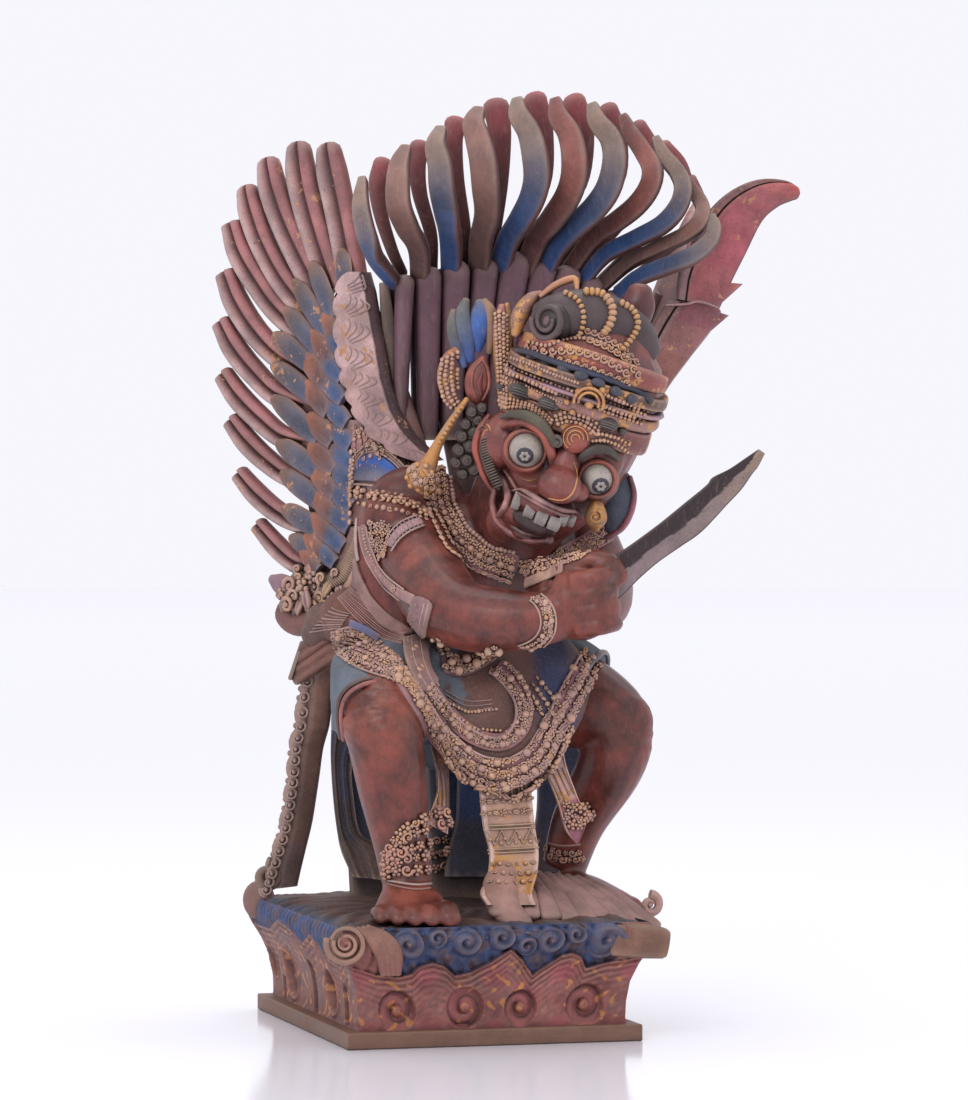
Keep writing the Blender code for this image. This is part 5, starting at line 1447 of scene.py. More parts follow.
knot_leaf.loft(drawn(on_face, [(630, 330, -34, 12, 8), (638, 306, -36, 13.5, 10), (640, 292, -38, 10, 8)]),
    HEAD_FRONT, ["#502426", "#5e2d2d"], 14, OVAL, None, (0.2, 0.7))
face_loft(lobes, [(516, 334, 2, 4, 5), (520, 316, 0, 7, 6), (531, 300, -4, 6, 6), (541, 293, -6, 2.4, 3)],
    ["#6f4d44", "#906657", "#956c5d"], 16)
face_loft(lobes, [(541, 296, 2, 2.2, 3), (556, 285, 0, 3, 3), (574, 279, -4, 3, 3), (577, 290, 4, 1.6, 2)],
    ["#ac765a", "#b87f5d"], 16)
knot_leaf.piece("topknot_red_leaf", body_paint, "statue_wood", sharp=50)
lobes.piece("topknot_leaves", flower_paint, "statue_wood", sharp=50)

# %% [markdown]
# Fine beadwork covers the crown in rows, with flame-shaped jewels standing on it.

# %% Crown frieze and diadem
lace, jewels, dark_flames = [], [], Carving()
GOLDS = ["#af7150", "#9d5d43", "#824744", "#6f3840", "#c0835d", "#8a4d50"]
rng = np.random.default_rng(7)


def lace_rows(store, start, stop, rows, spacing, size, lift=0.2, colours=GOLDS):
    """Rows of small beads between two lines drawn in the frame."""
    start, stop = resampled(start, 12), resampled(stop, 12)
    for k in range(rows):
        f = k / max(rows - 1, 1)
        for p, n, way in trail(start * (1 - f) + stop * f, spacing, lift):
            e = size * rng.uniform(0.8, 1.15)
            store.append((p, n, way, (e, e, e), colours[int(rng.integers(len(colours)))]))


def lace_row(store, line, *rest):
    """One row of small beads along a drawn line."""
    lace_rows(store, line, line, 1, *rest)


# frieze in front of the topknot
crests = []
for line, spacing, size in (
    ([(528, 347), (546, 351), (562, 350), (580, 351), (598, 356), (614, 364), (626, 372)], 8.4, 4.2),
    ([(536, 354), (554, 358), (574, 363), (594, 369), (612, 376), (626, 382)], 8.4, 4.2),
    ([(588, 330), (606, 338), (622, 348), (636, 362)], 7.6, 3.8),
    ([(590, 340), (608, 348), (626, 360), (638, 374)], 7.6, 3.8),
):
    for p, n, way in trail(line, spacing, 0.6):
        crests.append((p, n, way, (size, size, size - 1), GOLDS[int(rng.integers(len(GOLDS)))]))
ornament("crown_crest_curls", curl, crests, flower_paint)
lace_row(lace, [(530, 342), (546, 346), (562, 341), (580, 338), (598, 341), (612, 348), (626, 358)], 4.2,
    1.9, 0.5)
strap(dark_flames, [(509, 346), (526, 350), (551, 360), (583, 370), (614, 381), (635, 391), (650, 401)],
    2.8, 3.2, ["#1f2430", "#2a3350", "#232838"], OVAL, 5, 1.8)
for u, v, w in ((520, 353, 4.6), (533, 358, 5), (548, 364.5, 5.6), (564, 370.5, 6), (581, 376.5, 6),
        (598, 383, 5.6), (615, 391, 5), (631, 399, 4.6)):
    hit = landed(u, v, 0.8)
    if hit:
        dark_flames.ball(hit[0], (w * MM, 0.0032, 0.0042), "#2a3246", HEAD_TURN, 14, 8)
for u, v, w, t in ((504, 388, 5.5, 3.4), (522, 391, 9.5, 5.0), (548, 403, 6.5, 4.8), (556, 408, 3.2, 2.6),
        (608, 423, 7.2, 4.6), (622, 431, 3.4, 2.8)):
    hit = landed(u, v, 0.9)
    if hit:
        dark_flames.ball(hit[0], (w * 1.15 * MM, 0.0040, t * 1.15 * MM), "#373332", HEAD_TURN, 18, 10)
        for j in range(3):
            rise = (j - 1) * 0.42 * t
            dark_flames.loft([(hit[0] + HEAD_RIGHT * w * 0.8 * s * MM + HEAD_UP * (rise - 0.15 * t * s * s)
                * MM + HEAD_FRONT * (0.0042 - 0.0016 * s * s), 0.0004, 0.0005) for s in np.linspace(-1, 1,
                7)], HEAD_FRONT, ["#6f6661"], 9, OVAL[::2])
dark_flames.piece("crown_dark_scallops", dark_paint, "statue_wood", sharp=50)
# reeding and lace rows of the diadem
lace_row(lace, [(512, 358), (530, 364), (553, 374), (578, 383)], 3.2, 1.5)
lace_rows(lace, [(508, 366), (526, 373), (548, 382), (572, 392)], [(507, 372), (525, 379), (546, 388),
    (568, 397)], 2, 4.2, 1.9, 0.4)
lace_row(lace, [(507, 380), (524, 385), (545, 395), (562, 403)], 3.0, 1.3, 0.4, ["#823d4e", "#924555",
    "#aa624e"])
lace_rows(lace, [(604, 394), (620, 401), (636, 407), (646, 411)], [(600, 410), (614, 415), (630, 420),
    (640, 424)], 4, 4.2, 1.9, 0.4, ["#a16655", "#904f48", "#af765d", "#824344"])
lace_rows(lace, [(504, 398), (516, 400), (530, 404), (544, 412), (552, 420)], [(503, 408), (515, 407),
    (528, 408), (540, 414), (549, 426)], 3, 3.8, 1.9, 0.3, ["#d8955f", "#e1a36b", "#c8855a"])
lace_rows(lace, [(590, 433), (604, 434), (618, 438), (628, 444)], [(592, 441), (604, 440), (618, 445),
    (627, 452)], 2, 4.0, 1.9, 0.3, ["#d8955f", "#c8855a", "#e1a36b"])
lace_rows(lace, [(556, 416), (566, 412), (578, 414), (590, 418), (600, 426)], [(558, 424), (568, 421),
    (578, 423), (588, 428), (596, 434)], 3, 4.6, 2.0, 0.3)
for u, v, r, c in ((589, 403.5, 4.4, "#e2a06c"), (578, 394, 3.2, "#db9561"), (567, 402.5, 2.6, "#af5d50"),
        (602, 390, 3.0, "#e2a06c"), (597, 398, 2.6, "#924555"), (573, 411, 2.4, "#bd7550")):
    hit = landed(u, v, 1.6)
    if hit:
        jewels.append((hit[0], hit[1], HEAD_UP, (r, r, r), c))
ornament("crown_jewels", bead, jewels, rubbed_gilding)
flower = Carving()
for r, t, c in ((11.5, 1.3, "#af6c52"), (8.0, 1.2, "#824355")):
    line = []
    for k in range(21):
        a = pi * (-0.05 + 1.15 * k / 20)
        base = landed(589, 401, 2.2)[0]
        line.append((base + (HEAD_RIGHT * cos(a) + HEAD_UP * sin(a)) * r * MM + HEAD_FRONT * 0.002, t * MM,
            t * MM))
    flower.loft(line, HEAD_FRONT, [c], 30, OVAL[::2], None, (0.5, 0.5))
flower.piece("crown_flower_arcs", rubbed_gilding, "statue_wood", sharp=50)

# %% Ear, its wing ornament, pin and hair
ear = Carving()
face_loft(ear, [(481, 404, -8, 5, 3), (477, 392, -6, 9, 4), (478, 378, -6, 10, 4), (481, 366, -8, 7, 3.5),
    (483, 357, -10, 2, 2)], ["#84443a", "#8c4a3e"], 22)
face_loft(ear, [(483, 400, -2.5, 1.2, 1.4), (489, 386, -2, 1.3, 1.5), (488, 370, -4, 1.3, 1.5),
    (483, 360, -6, 1, 1)], ["#96574a"], 16)
face_loft(ear, [(476, 396, -2.5, 1.0, 1.3), (472, 384, -2, 1.2, 1.4), (474, 370, -4, 1.2, 1.4),
    (481, 361, -6, 1, 1)], ["#96574a"], 16)
face_loft(ear, [(481, 394, -2, 1.2, 1.2), (479, 384, -1.6, 2.6, 1.8), (482, 374, -2.4, 1.0, 1.2)],
    ["#7c3c34"], 12)
# the far ear and the blue disc behind the left ear drop
face_loft(ear, [(612, 530, -2, 6, 3.5), (616, 512, -4, 13, 4), (618, 494, -6, 14, 4), (618, 478, -8, 10,
    4)], ["#454c5c", "#505a6a"], 20)
face_loft(ear, [(606, 538, 0, 2.4, 3), (622, 528, 0, 2.6, 3), (631, 512, -2, 2.6, 3), (634, 494, -4, 2.4,
    3), (630, 477, -6, 2, 3)], ["#7c4a50", "#8f5a64", "#84505a"], 24)
ear.piece("ears", body_paint, "statue_wood", sharp=45)
side_wing = Carving()
for i, (points, coat) in enumerate((
    ([(478, 350, -22, 3, 3), (480, 330, -20, 8, 5), (481, 312, -22, 8, 5), (480, 302, -24, 4, 3)],
        ["#2d56a8", "#3a5f9e", "#6b6a68"]),
    ([(470, 360, -20, 4, 3), (466, 335, -20, 7, 5), (463, 314, -22, 6, 5), (466, 300, -24, 3, 3)],
        ["#2d56a8", "#55606c", "#6e685e"]),
    ([(464, 366, -18, 3, 3), (457, 345, -20, 5, 4), (453, 326, -22, 5, 4), (454, 311, -24, 3, 3)],
        ["#3560a8", "#5b5f60", "#6e685e"]),
    ([(490, 352, -20, 3, 3), (492, 330, -20, 5, 5), (490, 312, -22, 5, 5), (484, 301, -24, 3, 3)],
        ["#8a6a58", "#9a785e", "#8a6e56"]),
)):
    face_loft(side_wing, points, coat, 20)
side_wing.piece("ear_wing", plume_paint, "statue_wood", sharp=50)
column = Carving()
face_loft(column, [(506, 412, 2, 4, 5), (504, 385, -4, 6.5, 6), (502, 350, -10, 7, 6), (501, 322, -14, 6,
    6), (502, 306, -16, 3, 4)], ["#9a6a58", "#a8705e", "#a8727a"], 24)
face_loft(column, [(510, 352, -12, 3, 5), (509, 325, -14, 3.4, 5), (507, 304, -16, 2, 3)],
    ["#8a6c50", "#8f7454"], 14)
face_loft(column, [(460, 408, -8, 3, 5), (451, 398, -10, 6, 6), (447, 378, -14, 8, 6), (449, 360, -16, 6,
    5), (456, 349, -18, 3, 4)], ["#a87a58", "#b07a5c", "#a06862"], 20)
carrier(column.piece("ear_columns", rubbed_gilding, "statue_wood", sharp=50))
PINKS = ["#b07a78", "#a8685e", "#c99668", "#d0a070", "#95585c"]
lace_rows(lace, [(496, 310), (497, 340), (499, 375), (501, 405)], [(507, 316), (507, 345), (508, 378),
    (508, 408)], 4, 4.2, 2.0, 0.3, PINKS)
lace_rows(lace, [(443, 360), (440, 380), (445, 400), (455, 410)], [(457, 352), (456, 372), (457, 390),
    (462, 405)], 4, 4.4, 2.1, 0.3, PINKS)
ornament("crown_lace", bead, lace, flower_paint)
curls = Carving()
for u, v, r in ((482, 408, 4.5), (472, 412, 5), (478, 420, 5), (466, 424, 5), (474, 432, 5.5),
        (462, 436, 5.5), (470, 446, 6), (459, 450, 5.5), (467, 460, 6), (456, 463, 5), (474, 470, 5.5),
        (463, 474, 5)):
    f = 2 - 0.10 * (v - 410)
    p = on_face(u, v, f)
    curls.ball(p, (r * MM, r * 0.8 * MM, r * MM), "#332d2a", HEAD_TURN, 12, 8)
    curls.scroll(p + HEAD_FRONT * r * 0.62 * MM, HEAD_RIGHT, HEAD_UP, r * 0.66 * MM, 0.0011, "#4b433e", 1.2,
        0.3, steps=16)
curls.piece("hair_curls", dark_paint, "statue_wood", sharp=0)
pin = Carving()
face_loft(pin, [(467, 399, 0, 2.2, 2.2), (458, 412, 2, 3.0, 2.8), (446, 430, 4, 3.4, 3.2),
    (436, 448, 4, 4.4, 4), (430, 462, 4, 6.5, 6), (424, 472, 4, 9, 7)], ["#a38c72", "#a98a70", "#b29478"],
    28)
knob = on_face(420.5, 476, 8)
pin.ball(knob, (0.0118, 0.0090, 0.0118), "#b09074", HEAD_TURN, 24, 14)
pin.scroll(knob + HEAD_FRONT * 0.0072, HEAD_RIGHT, HEAD_UP, 0.0072, 0.0017, "#c4a282", 1.4, 0.35)
face_loft(pin, [(432, 478, 6, 3, 4), (430, 487, 6, 5, 5), (421, 490, 6, 4, 4)], ["#b29068"], 12)
# left ear drop
face_loft(pin, [(597, 490, 30, 2, 2), (596.5, 500, 32, 4, 4), (596, 512, 34, 8.2, 7), (595.5, 521, 34, 8.6,
    7.5), (595, 528, 33, 4, 4)], ["#b08a5c", "#bc9468", "#a87a50"], 24)
pin.scroll(on_face(595.5, 517, 41.5), HEAD_RIGHT, HEAD_UP, 0.0055, 0.0014, "#c9985f", 1.3, 0.35)
carrier(pin.piece("ear_pin_and_drop", rubbed_gilding, "statue_wood", sharp=50))
petals = []
for k in range(9):
    a = tau * k / 9
    petals.append((knob + (HEAD_RIGHT * cos(a) + HEAD_UP * sin(a)) * 0.0100 + HEAD_FRONT * 0.0042,
        HEAD_FRONT, HEAD_UP, (2.6, 2.6, 2.6), "#c49c78"))
for p, n, way in trail([(462, 407), (450, 425), (440, 442)], 5.5, 0.3):
    petals.append((p, n, way, (2.2, 1.6, 1.6), "#bf9a74"))
ornament("ear_pin_petals", bead, petals, rubbed_gilding)

# %% [markdown]
# The left wing stands behind the figure in its own swept plane. Only its long hooked leading band shows
# past the plumes, a board with two notches, so the band follows its drawn edges and the feathers behind
# it are the plainer reverse of the right wing's.

# %% Left wing feathers
LEFT_SWEEP = radians(72)
LEFT_NORMAL = Vector((sin(LEFT_SWEEP), -cos(LEFT_SWEEP), 0))


def on_left(s, h, off=0.0):
    """The point s millimetres out along the left wing and h up, raised `off` towards its face."""
    lean = 0.42 * max(0.0, h - 322)
    return at(118 + cos(LEFT_SWEEP) * s + lean + sin(LEFT_SWEEP) * off,
        32 + sin(LEFT_SWEEP) * s - cos(LEFT_SWEEP) * off, h)


def left_quill(k):
    """Root and tip of the quill k of 0 to 10, as (out, height)."""
    f = k / 10
    return (88 + 36 * sin(pi * f), 515 - 265 * f), (102 + 128 * sin(pi * min(0.97, f * 0.885)) ** 0.75,
        620 - 357 * f**1.45 - 58 * max(0.0, 1 - f / 0.25))


far_wing = Carving()
for k in range(11):
    (rs, rh), (ts, th) = left_quill(k)
    bow = 7 + 5 * sin(pi * k / 11)
    ms, mh = (rs + ts) / 2 - 0.06 * (th - rh), (rh + th) / 2 - bow
    line = drawn(on_left, [(rs, rh, 0, 12, 6.2), (ms, mh, 0, 12.5, 6.2), (ts - 0.16 * (ts - rs),
        th - 0.16 * (th - rh) - 2, 0, 10.5, 5.5), (ts, th, 0, 6, 4)])
    far_wing.loft(line, LEFT_NORMAL, ["#8a5a54"], 26, FEATHER, FEATHER_PAINT_AND_SHADE, (0, 0.5))
for row, (count, reach, long, wide, high) in enumerate(((9, 20, 46, 14, 10), (9, 2, 32, 13, 12),
        (8, -14, 30, 12, 13))):
    for k in range(count):
        (rs, rh), (ts, th) = left_quill((k + 0.5) / count * 10)
        way = np.array([ts - rs, th - rh]) / np.hypot(ts - rs, th - rh)
        base = np.array([rs + reach, rh - 8])
        line = []
        for t, w in ((0.05, 0.7), (0.4, 1), (0.75, 0.95), (1, 0.45)):
            s, h = base + way * long * t
            line.append((on_left(s, h, high * 0.75 - 4 * t), wide * w * MM, 0.0038))
        far_wing.loft(line, LEFT_NORMAL, [["#33588f", "#5c6a72"], ["#5b4a4c", "#8f6f66"],
            ["#2a4f96", "#6b7278"]][row], 10, COVERT, COVERT_RIM, (0, 0.5))
far_wing.loft(drawn(on_left, [(80, 496, 0, 12, 6), (98, 440, 0, 26, 7), (104, 370, 0, 30, 7),
    (98, 300, 0, 23, 7), (102, 264, 0, 11, 6)]), LEFT_NORMAL, ["#6b4642"], 16, BOARD)
far_wing.loft(drawn(on_left, [(2, 318, 0, 19, 12), (50, 316, 0, 22, 12), (92, 306, 0, 22, 10)]),
    LEFT_NORMAL, ["#8a5c54"], 10, OVAL)
board(far_wing, [(at(x0, y0, h0), on_left(s1, h1, -2), 0.006) for x0, y0, h0, s1,
    h1 in ((126, 36, 322, 96, 292), (156, 46, 370, 104, 350), (186, 52, 424, 106, 410), (214, 58, 480, 100,
    468), (236, 56, 530, 92, 516))],
      LEFT_NORMAL, BOARD, lambda t, c: stepped(["#6b4642", "#7a4c48", "#74504c"], t), 16)
for s, h, r in ((112, 250, 12), (132, 246, 12), (150, 250, 11), (164, 246, 9), (120, 236, 9),
        (144, 236, 9)):
    far_wing.ball(on_left(s, h), (r * MM, r * MM, r * MM), "#a5806a", None, 12, 8)
far_wing.piece("left_wing_feathers", feather_paint, "left_wing_wood", "left_wing", sharp=55)


# %% [markdown]
# The band is drawn edge by edge: a hook above the notch and a duller arm below it.

# %% Left wing band
BAND = [(-1, 0), (-0.97, 0.7), (-0.86, 0.95), (-0.62, 1.0), (-0.56, 0.72), (-0.5, 1.0), (-0.1, 1.12),
    (0.3, 1.06), (0.7, 0.9), (0.95, 0.55), (1, 0), (0.9, -0.8), (0.4, -1), (-0.4, -1), (-0.9, -0.8)]
band = Carving()


def upper_shade(t, c):
    """The hook and the blade over the notch: red, with a brown rim and a tan inner edge."""
    if c > 0.96 or c < -0.95:
        return "#5f3034"
    if c < -0.5:
        return ["#8a6a6c", "#7f5a58", "#74504c"][int(2.9 * t)]
    return stepped(["#9a5658", "#a3545c", "#a0565c", "#9a5a5c", "#a8605e", "#a8544f"], t)


def lower_shade(t, c):
    """The arm under the notch, duller and browner."""
    if c > 0.96:
        return "#8a7a74"
    return stepped(["#7b5148", "#80524a", "#8a5a58", "#864e54", "#8c5054"], t) if c > -0.5 else "#82605e"


board(band, deep([(676, 300, 46, 719, 310, 46, 9), (678, 273, 48, 732, 281, 48, 10), (690, 244, 50, 746,
    253, 50, 10), (702, 220, 50, 762, 221.5, 46, 10), (719, 200, 46, 777, 207.5, 40, 9), (740, 186, 40, 790,
    201.5, 32, 8), (762, 179.5, 34, 797, 199, 24, 7), (785, 181, 26, 800, 194, 19, 6), (797, 187, 20, 799.5,
    190, 18, 4)]), (-0.3, -1, 0.1), BAND, upper_shade, 44, 2)
board(band, deep([(676, 303, 46, 714, 310, 46, 7), (712, 282, 46, 743, 284, 46, 2)]), (-0.3, -1, 0.1), BAND,
    upper_shade, 6)
board(band, deep([(662, 418, 30, 646, 424, 30, 11), (640, 372, 34, 668, 388, 34, 12), (645, 342, 38, 690,
    358, 38, 12), (658, 314, 42, 711, 331, 42, 11), (668, 302, 44, 721, 313, 43, 9), (684, 303, 44, 715,
    306, 44, 6)]), (-0.3, -1, 0.1), BAND, lower_shade, 36, 2)
board(band, deep([(690, 330, 42, 711, 331, 42, 6), (706, 309, 43, 729, 315.5, 43, 1.5)]), (-0.3, -1, 0.1),
    BAND, lower_shade, 6)
band.loft(drawn(seen, [(666, 305, 32, 0.8, 1), (686, 304, 31, 1, 1.2), (700, 301.5, 31, 1, 1.2),
    (719, 308, 32, 0.8, 1)]), (-0.3, -1, 0.1), ["#b88a84"], 14, OVAL[::2])
band.loft(drawn(at, [(118, 30, 312, 16, 12), (134, 36, 338, 17, 13), (150, 40, 362, 18, 13)]),
    (-0.3, -1, 0), ["#7a4c46"], 12, OVAL)
band.piece("left_wing_band", feather_paint, "left_wing_wood", sharp=50)

# %% [markdown]
# The blade is wavy and silvered on its cutting side, and dark along its back.

# %% Sword
blade_paint = aged("rubbed_silvered_blade", rough=0.5, wear="#a08f86", wear_share=0.35, grime_and_shade="#1e1419",
    shade_and_grime_share=0.5, speckle=0.7, mottle=0.18, grain=(40, 40, 12), relief=0.3)
BLADE = [(-1, 0), (-0.985, 0.8), (-0.5, 1), (-0.05, 0.95), (0.02, 0.70), (0.5, 0.5), (0.92, 0.25), (1, 0),
    (0.92, -0.25), (0.5, -0.5), (0.02, -0.70), (-0.05, -0.95), (-0.5, -1), (-0.985, -0.8)]


def blade_shade(t, c):
    step = 0.02 + 0.05 * sin(t * 47) * sin(t * 19) - 0.95 * max(0.0, t - 0.84) / 0.16 + 0.25 * max(0.0,
        0.12 - t) / 0.12
    if c > 0.93:
        return "#392a2d"
    return "#2e2023" if c < step else stepped(["#847373", "#806e6e", "#7f6e6b", "#86736b", "#8b7666"], t)


sword = Carving()
board(sword, deep([(598, 562, -160, 606, 602, -160), (608, 558, -161, 619, 598.5, -161), (619, 552.5, -162,
    638.5, 579.5, -162), (640, 538, -164, 658, 562.5, -164), (662, 521.5, -165, 681, 546.5, -165),
    (684, 503.5, -166, 702, 531.5, -166), (706, 485.5, -168, 727, 505, -168), (712.5, 477.5, -168, 741.5,
    489.5, -168), (729.5, 468.8, -169, 752.2, 474.2, -169), (747.5, 456.7, -170, 758.3, 466.4, -170),
    (758.6, 449.2, -171, 765, 453.6, -171)], 3.2), (-0.25, -1, 0), BLADE, blade_shade, 90, 3)
sword.loft(drawn(seen, [(594, 584, -158, 16.5, 10), (604, 580, -160, 15.8, 9)]), (0, -1, 0),
    ["#251f1b", "#2c2620"], 4, OVAL)
sword.piece("sword", blade_paint, "sword_wood", "sword", sharp=45)

# %% [markdown]
# The dress is carved in one with the body: a full skirt tied low, cloth over the thighs that ends in a
# rim at each knee, drapes behind, and a serrated sash hanging on the right.

# %% Skirt and thigh cloths
dress = Carving()
CLOTH, BLUE_GREY = "#66463e", "#5b6470"
dress.loft([(at(*p), a * MM, b * MM) for p, a, b in (((27, -30, 216), 60, 32), ((27, -56, 190), 76, 28),
    ((27, -76, 158), 68, 23), ((28, -90, 126), 44, 17), ((29, -96, 104), 20, 10))], (0, -1, 0.1), [CLOTH],
    22, OVAL, None, (0.1, 0.3))
dress.loft([(at(*p), w * MM, w * MM) for p, w in (((4, 0, 184), 50), ((-34, -40, 179), 48),
    ((-58, -68, 170), 42), ((-66, -78, 165), 39.5))], (0, 0, 1), [BLUE_GREY], 20, OVAL)
dress.loft([(at(*p), w * MM, w * MM) for p, w in (((62, 0, 184), 50), ((92, -16, 174), 45),
    ((108, -26, 166), 41))], (0, 0, 1), [BLUE_GREY], 16, OVAL)
dress.loft(drawn(at, [(26, 20, 216, 56, 22), (28, 44, 180, 64, 22), (32, 54, 142, 56, 18), (34, 56, 116, 40,
    12)]), (0, 1, 0), [BLUE_GREY], 18, OVAL, None, (0.2, 0.3))

board(dress, deep([(344, 738, -78, 331, 730, -52), (341, 712, -84, 330, 696, -52), (346, 697, -92, 331, 664,
    -50), (358, 687, -97, 342, 648, -52), (376, 682.5, -100, 368, 648, -60), (396, 690, -100, 396, 660,
    -70), (410, 704, -97, 414, 682, -78), (420, 724, -92, 425, 706, -82)], 4.5), (-0.3, -1, 0.3), BOARD,
    lambda t, c: BLUE_GREY, 30)
for u, v, y, r, c in ((352, 618, 6, (26, 24, 25), "#6a4238"), (376, 622, -8, (26, 24, 24), "#603a32"),
        (328, 622, 26, (19, 18, 17), "#664840"), (318, 634, 34, (14, 13, 12), "#664840")):
    dress.ball(seen(u, v, y), tuple(x * MM for x in r), c, None, 20, 14)


def dyed_and_shaded(places, colours):
    """Deep blue between the legs, blue cloth darkened as painted shade in the recess, and faded bands over
    the rest.
    """
    x, y, z = places.T / MM
    h = z - PEDESTAL_TOP / MM
    blue = np.array(linear("#20375f"))
    faded = np.array(linear("#5a5550"))
    # painted shade: the cloth between the legs goes deep blue
    w = (0.85 * np.clip((x - 44) / 14, 0, 1) * np.clip((92 - x) / 14, 0,
        1) * (y < -20) * np.clip((h - 138) / 14, 0, 1))[:, None]
    colours = colours * (1 - w) + blue * w
    w = (0.5 + 0.5 * np.sin(x / 9 + h / 17))[:, None] * 0.5
    return colours * (1 - w) + (0.5 * colours + 0.5 * faded) * w


carrier(dress.piece("skirt_and_thigh_cloth", cloth_paint, "statue_wood", sharp=0, fuse=0.0022, soften=4,
    recolour=dyed_and_shaded))
rims = Carving()
for edge_line, y0, thick, tone in (([(344, 740), (342, 726), (341.5, 711), (346, 697), (358, 687),
        (376, 682.5), (396, 690), (410, 704), (419, 722)], -6, 2.0, "#8a5450"),
        ([(341, 738), (338, 724), (337.5, 709), (342, 694), (355, 683), (376, 678), (398, 685), (414, 700),
            (423, 718)], -3, 2.0, "#4f3f3c")):
    line = [(seen(u, v, y0 - 100 + 22 * abs(k - 4.5) / 4.5), thick * MM, thick * MM) for k,
        (u, v) in enumerate(edge_line)]
    rims.loft(line, (-0.25, -1, 0.2), [tone], 36, OVAL, None, (0.6, 0.6))
# the left leg's rim, a ring round the thigh
knee, axis = at(108, -26, 166), unit(at(108, -26, 166) - at(92, -16, 174))
across = unit(axis.cross(Vector((0, 0, 1))))
ways = [across * cos(a) + across.cross(axis) * sin(a) for a in np.linspace(0, tau, 41)]
rims.loft([(knee + way * 0.041, 0.003, 0.002) for way in ways], np.array(ways), ["#5d5c60", "#6a5a56"], 41,
    OVAL)
rims.piece("knee_rims", body_paint, "statue_wood", sharp=0)

# %% Drapes behind the legs and the hanging sash
drapes = Carving()
PLEATS = [(c, 0.85 + 0.13 * sin(7 * c) + 0.05 * sin(17 * c)) for c in np.linspace(-0.94, 0.94, 25)]
PLEATS = [(-1, 0)] + PLEATS + [(1, 0)] + [(-c, -0.6) for c, _ in PLEATS[::3]]


def drape_shade(t, c):
    """Broad blue and brown stripes that darken upwards."""
    blue = 0.5 + 0.5 * sin(5 * c + 3 * t)
    if blue > 0.55:
        return stepped(["#2c3652", "#333850", "#3c3a44", "#4a3c38"], t)
    return stepped(["#3e3438", "#463a3a", "#443836", "#523f38"], t)


# the narrow drape seen between the sash and the right leg, with a dark sheet beside it as painted shade in
# the hollow
board(drapes, deep([(331, 690, 40, 372, 690, 40, 8), (331.4, 721, 46, 368, 730, 46, 8), (330.6, 756, 52,
    353, 762, 50, 7), (333, 797.5, 54, 354.5, 800, 52, 7), (337, 831, 54, 362, 834, 50, 7), (341.4, 852, 50,
    384, 846, 44, 8), (352, 876, 44, 392, 880, 36, 10)]), (-0.25, -1, 0), PLEATS, drape_shade, 34)
# a flat dark blue sheet standing in for the shade in the hollow
board(drapes, deep([(352, 650, 20, 398, 650, 20), (347, 700, 56, 396, 700, 56), (349, 760, 70, 400, 760,
    70), (352, 840, 72, 402, 840, 72), (356, 878, 66, 404, 878, 66)], 6), (-0.25, -1, 0), PLEATS, lambda t,
    c: "#1c2640", 22)
# blue cloth behind the centre panel and the far drape behind the left leg
board(drapes, deep([(440, 660, 10, 540, 660, 10), (452, 700, 26, 536, 700, 26), (457, 742, 36, 528, 742,
    36), (457, 776, 42, 524, 776, 42), (455.5, 820, 48, 520, 820, 48), (449, 846, 50, 512, 846, 50),
    (444, 876, 48, 512, 876, 48)], 7), (-0.25, -1, 0), PLEATS, lambda t, c: stepped(["#303c58", "#2c3c62",
    "#3b3c4c"], t), 26)
# the three folds that hang behind
BACK_FOLD = ["#454045", "#33415f", "#5a463c"]
drapes.loft(drawn(at, [(92, 28, 190, 27, 12), (112, 54, 120, 21.6, 9), (112, 62, 60, 18, 8),
    (96, 56, 0, 23.4, 10)]), (0.2, 1, 0), BACK_FOLD, 24, PLEATS)
for x0, x1, x2, y, wide in ((-20, -40, -34, 66, 24), (36, 34, 38, 66, 30)):
    drapes.loft(drawn(at, [(x0, y - 26, 200, wide * 1.2, 12), (x1, y - 2, 130, wide * 1.1, 9),
        (x1, y, 60, wide, 8), (x2, y - 8, 0, wide * 1.2, 10)]), (0, 1, 0), BACK_FOLD, 24, PLEATS)
carrier(drapes.piece("back_drapes", cloth_paint, "statue_wood", sharp=35))
sash = Carving()
SASH = [(-1, 0), (-0.97, 0.6), (-0.62, 0.7), (-0.58, 1.05), (-0.5, 1.1), (-0.44, 0.8), (0.2, 0.9),
    (0.8, 0.8), (0.97, 0.5), (1, 0), (0.8, -0.8), (0, -1), (-0.8, -0.8)]
sash_rows = [(311, 655, 40, 336, 650, 34), (301, 690, 54, 333, 690, 48), (297, 723, 62, 330, 723, 58),
    (291.5, 748, 70, 323.5, 748, 66), (289.5, 773, 76, 320, 773, 72), (286.5, 797, 82, 316.5, 797, 78),
    (282.5, 822, 88, 312.5, 822, 84), (276, 847, 94, 306.5, 847, 90), (268, 872, 98, 300.5, 872, 94),
        (262, 890, 100, 297.5, 886, 96)]
board(sash, deep(sash_rows, 6), (-0.5, -1, 0), SASH, lambda t, c: "#8a6a68" if c < -0.6 else ("#a58a7c"
    if c < -0.42 else stepped(["#7a584c", "#6a4c42", "#644a42", "#5e4a48"], t)), 48)
carrier(sash.piece("hanging_sash", cloth_paint, "statue_wood", sharp=40))
saw = Carving()
edge_rows = smooth(sash_rows, 60)
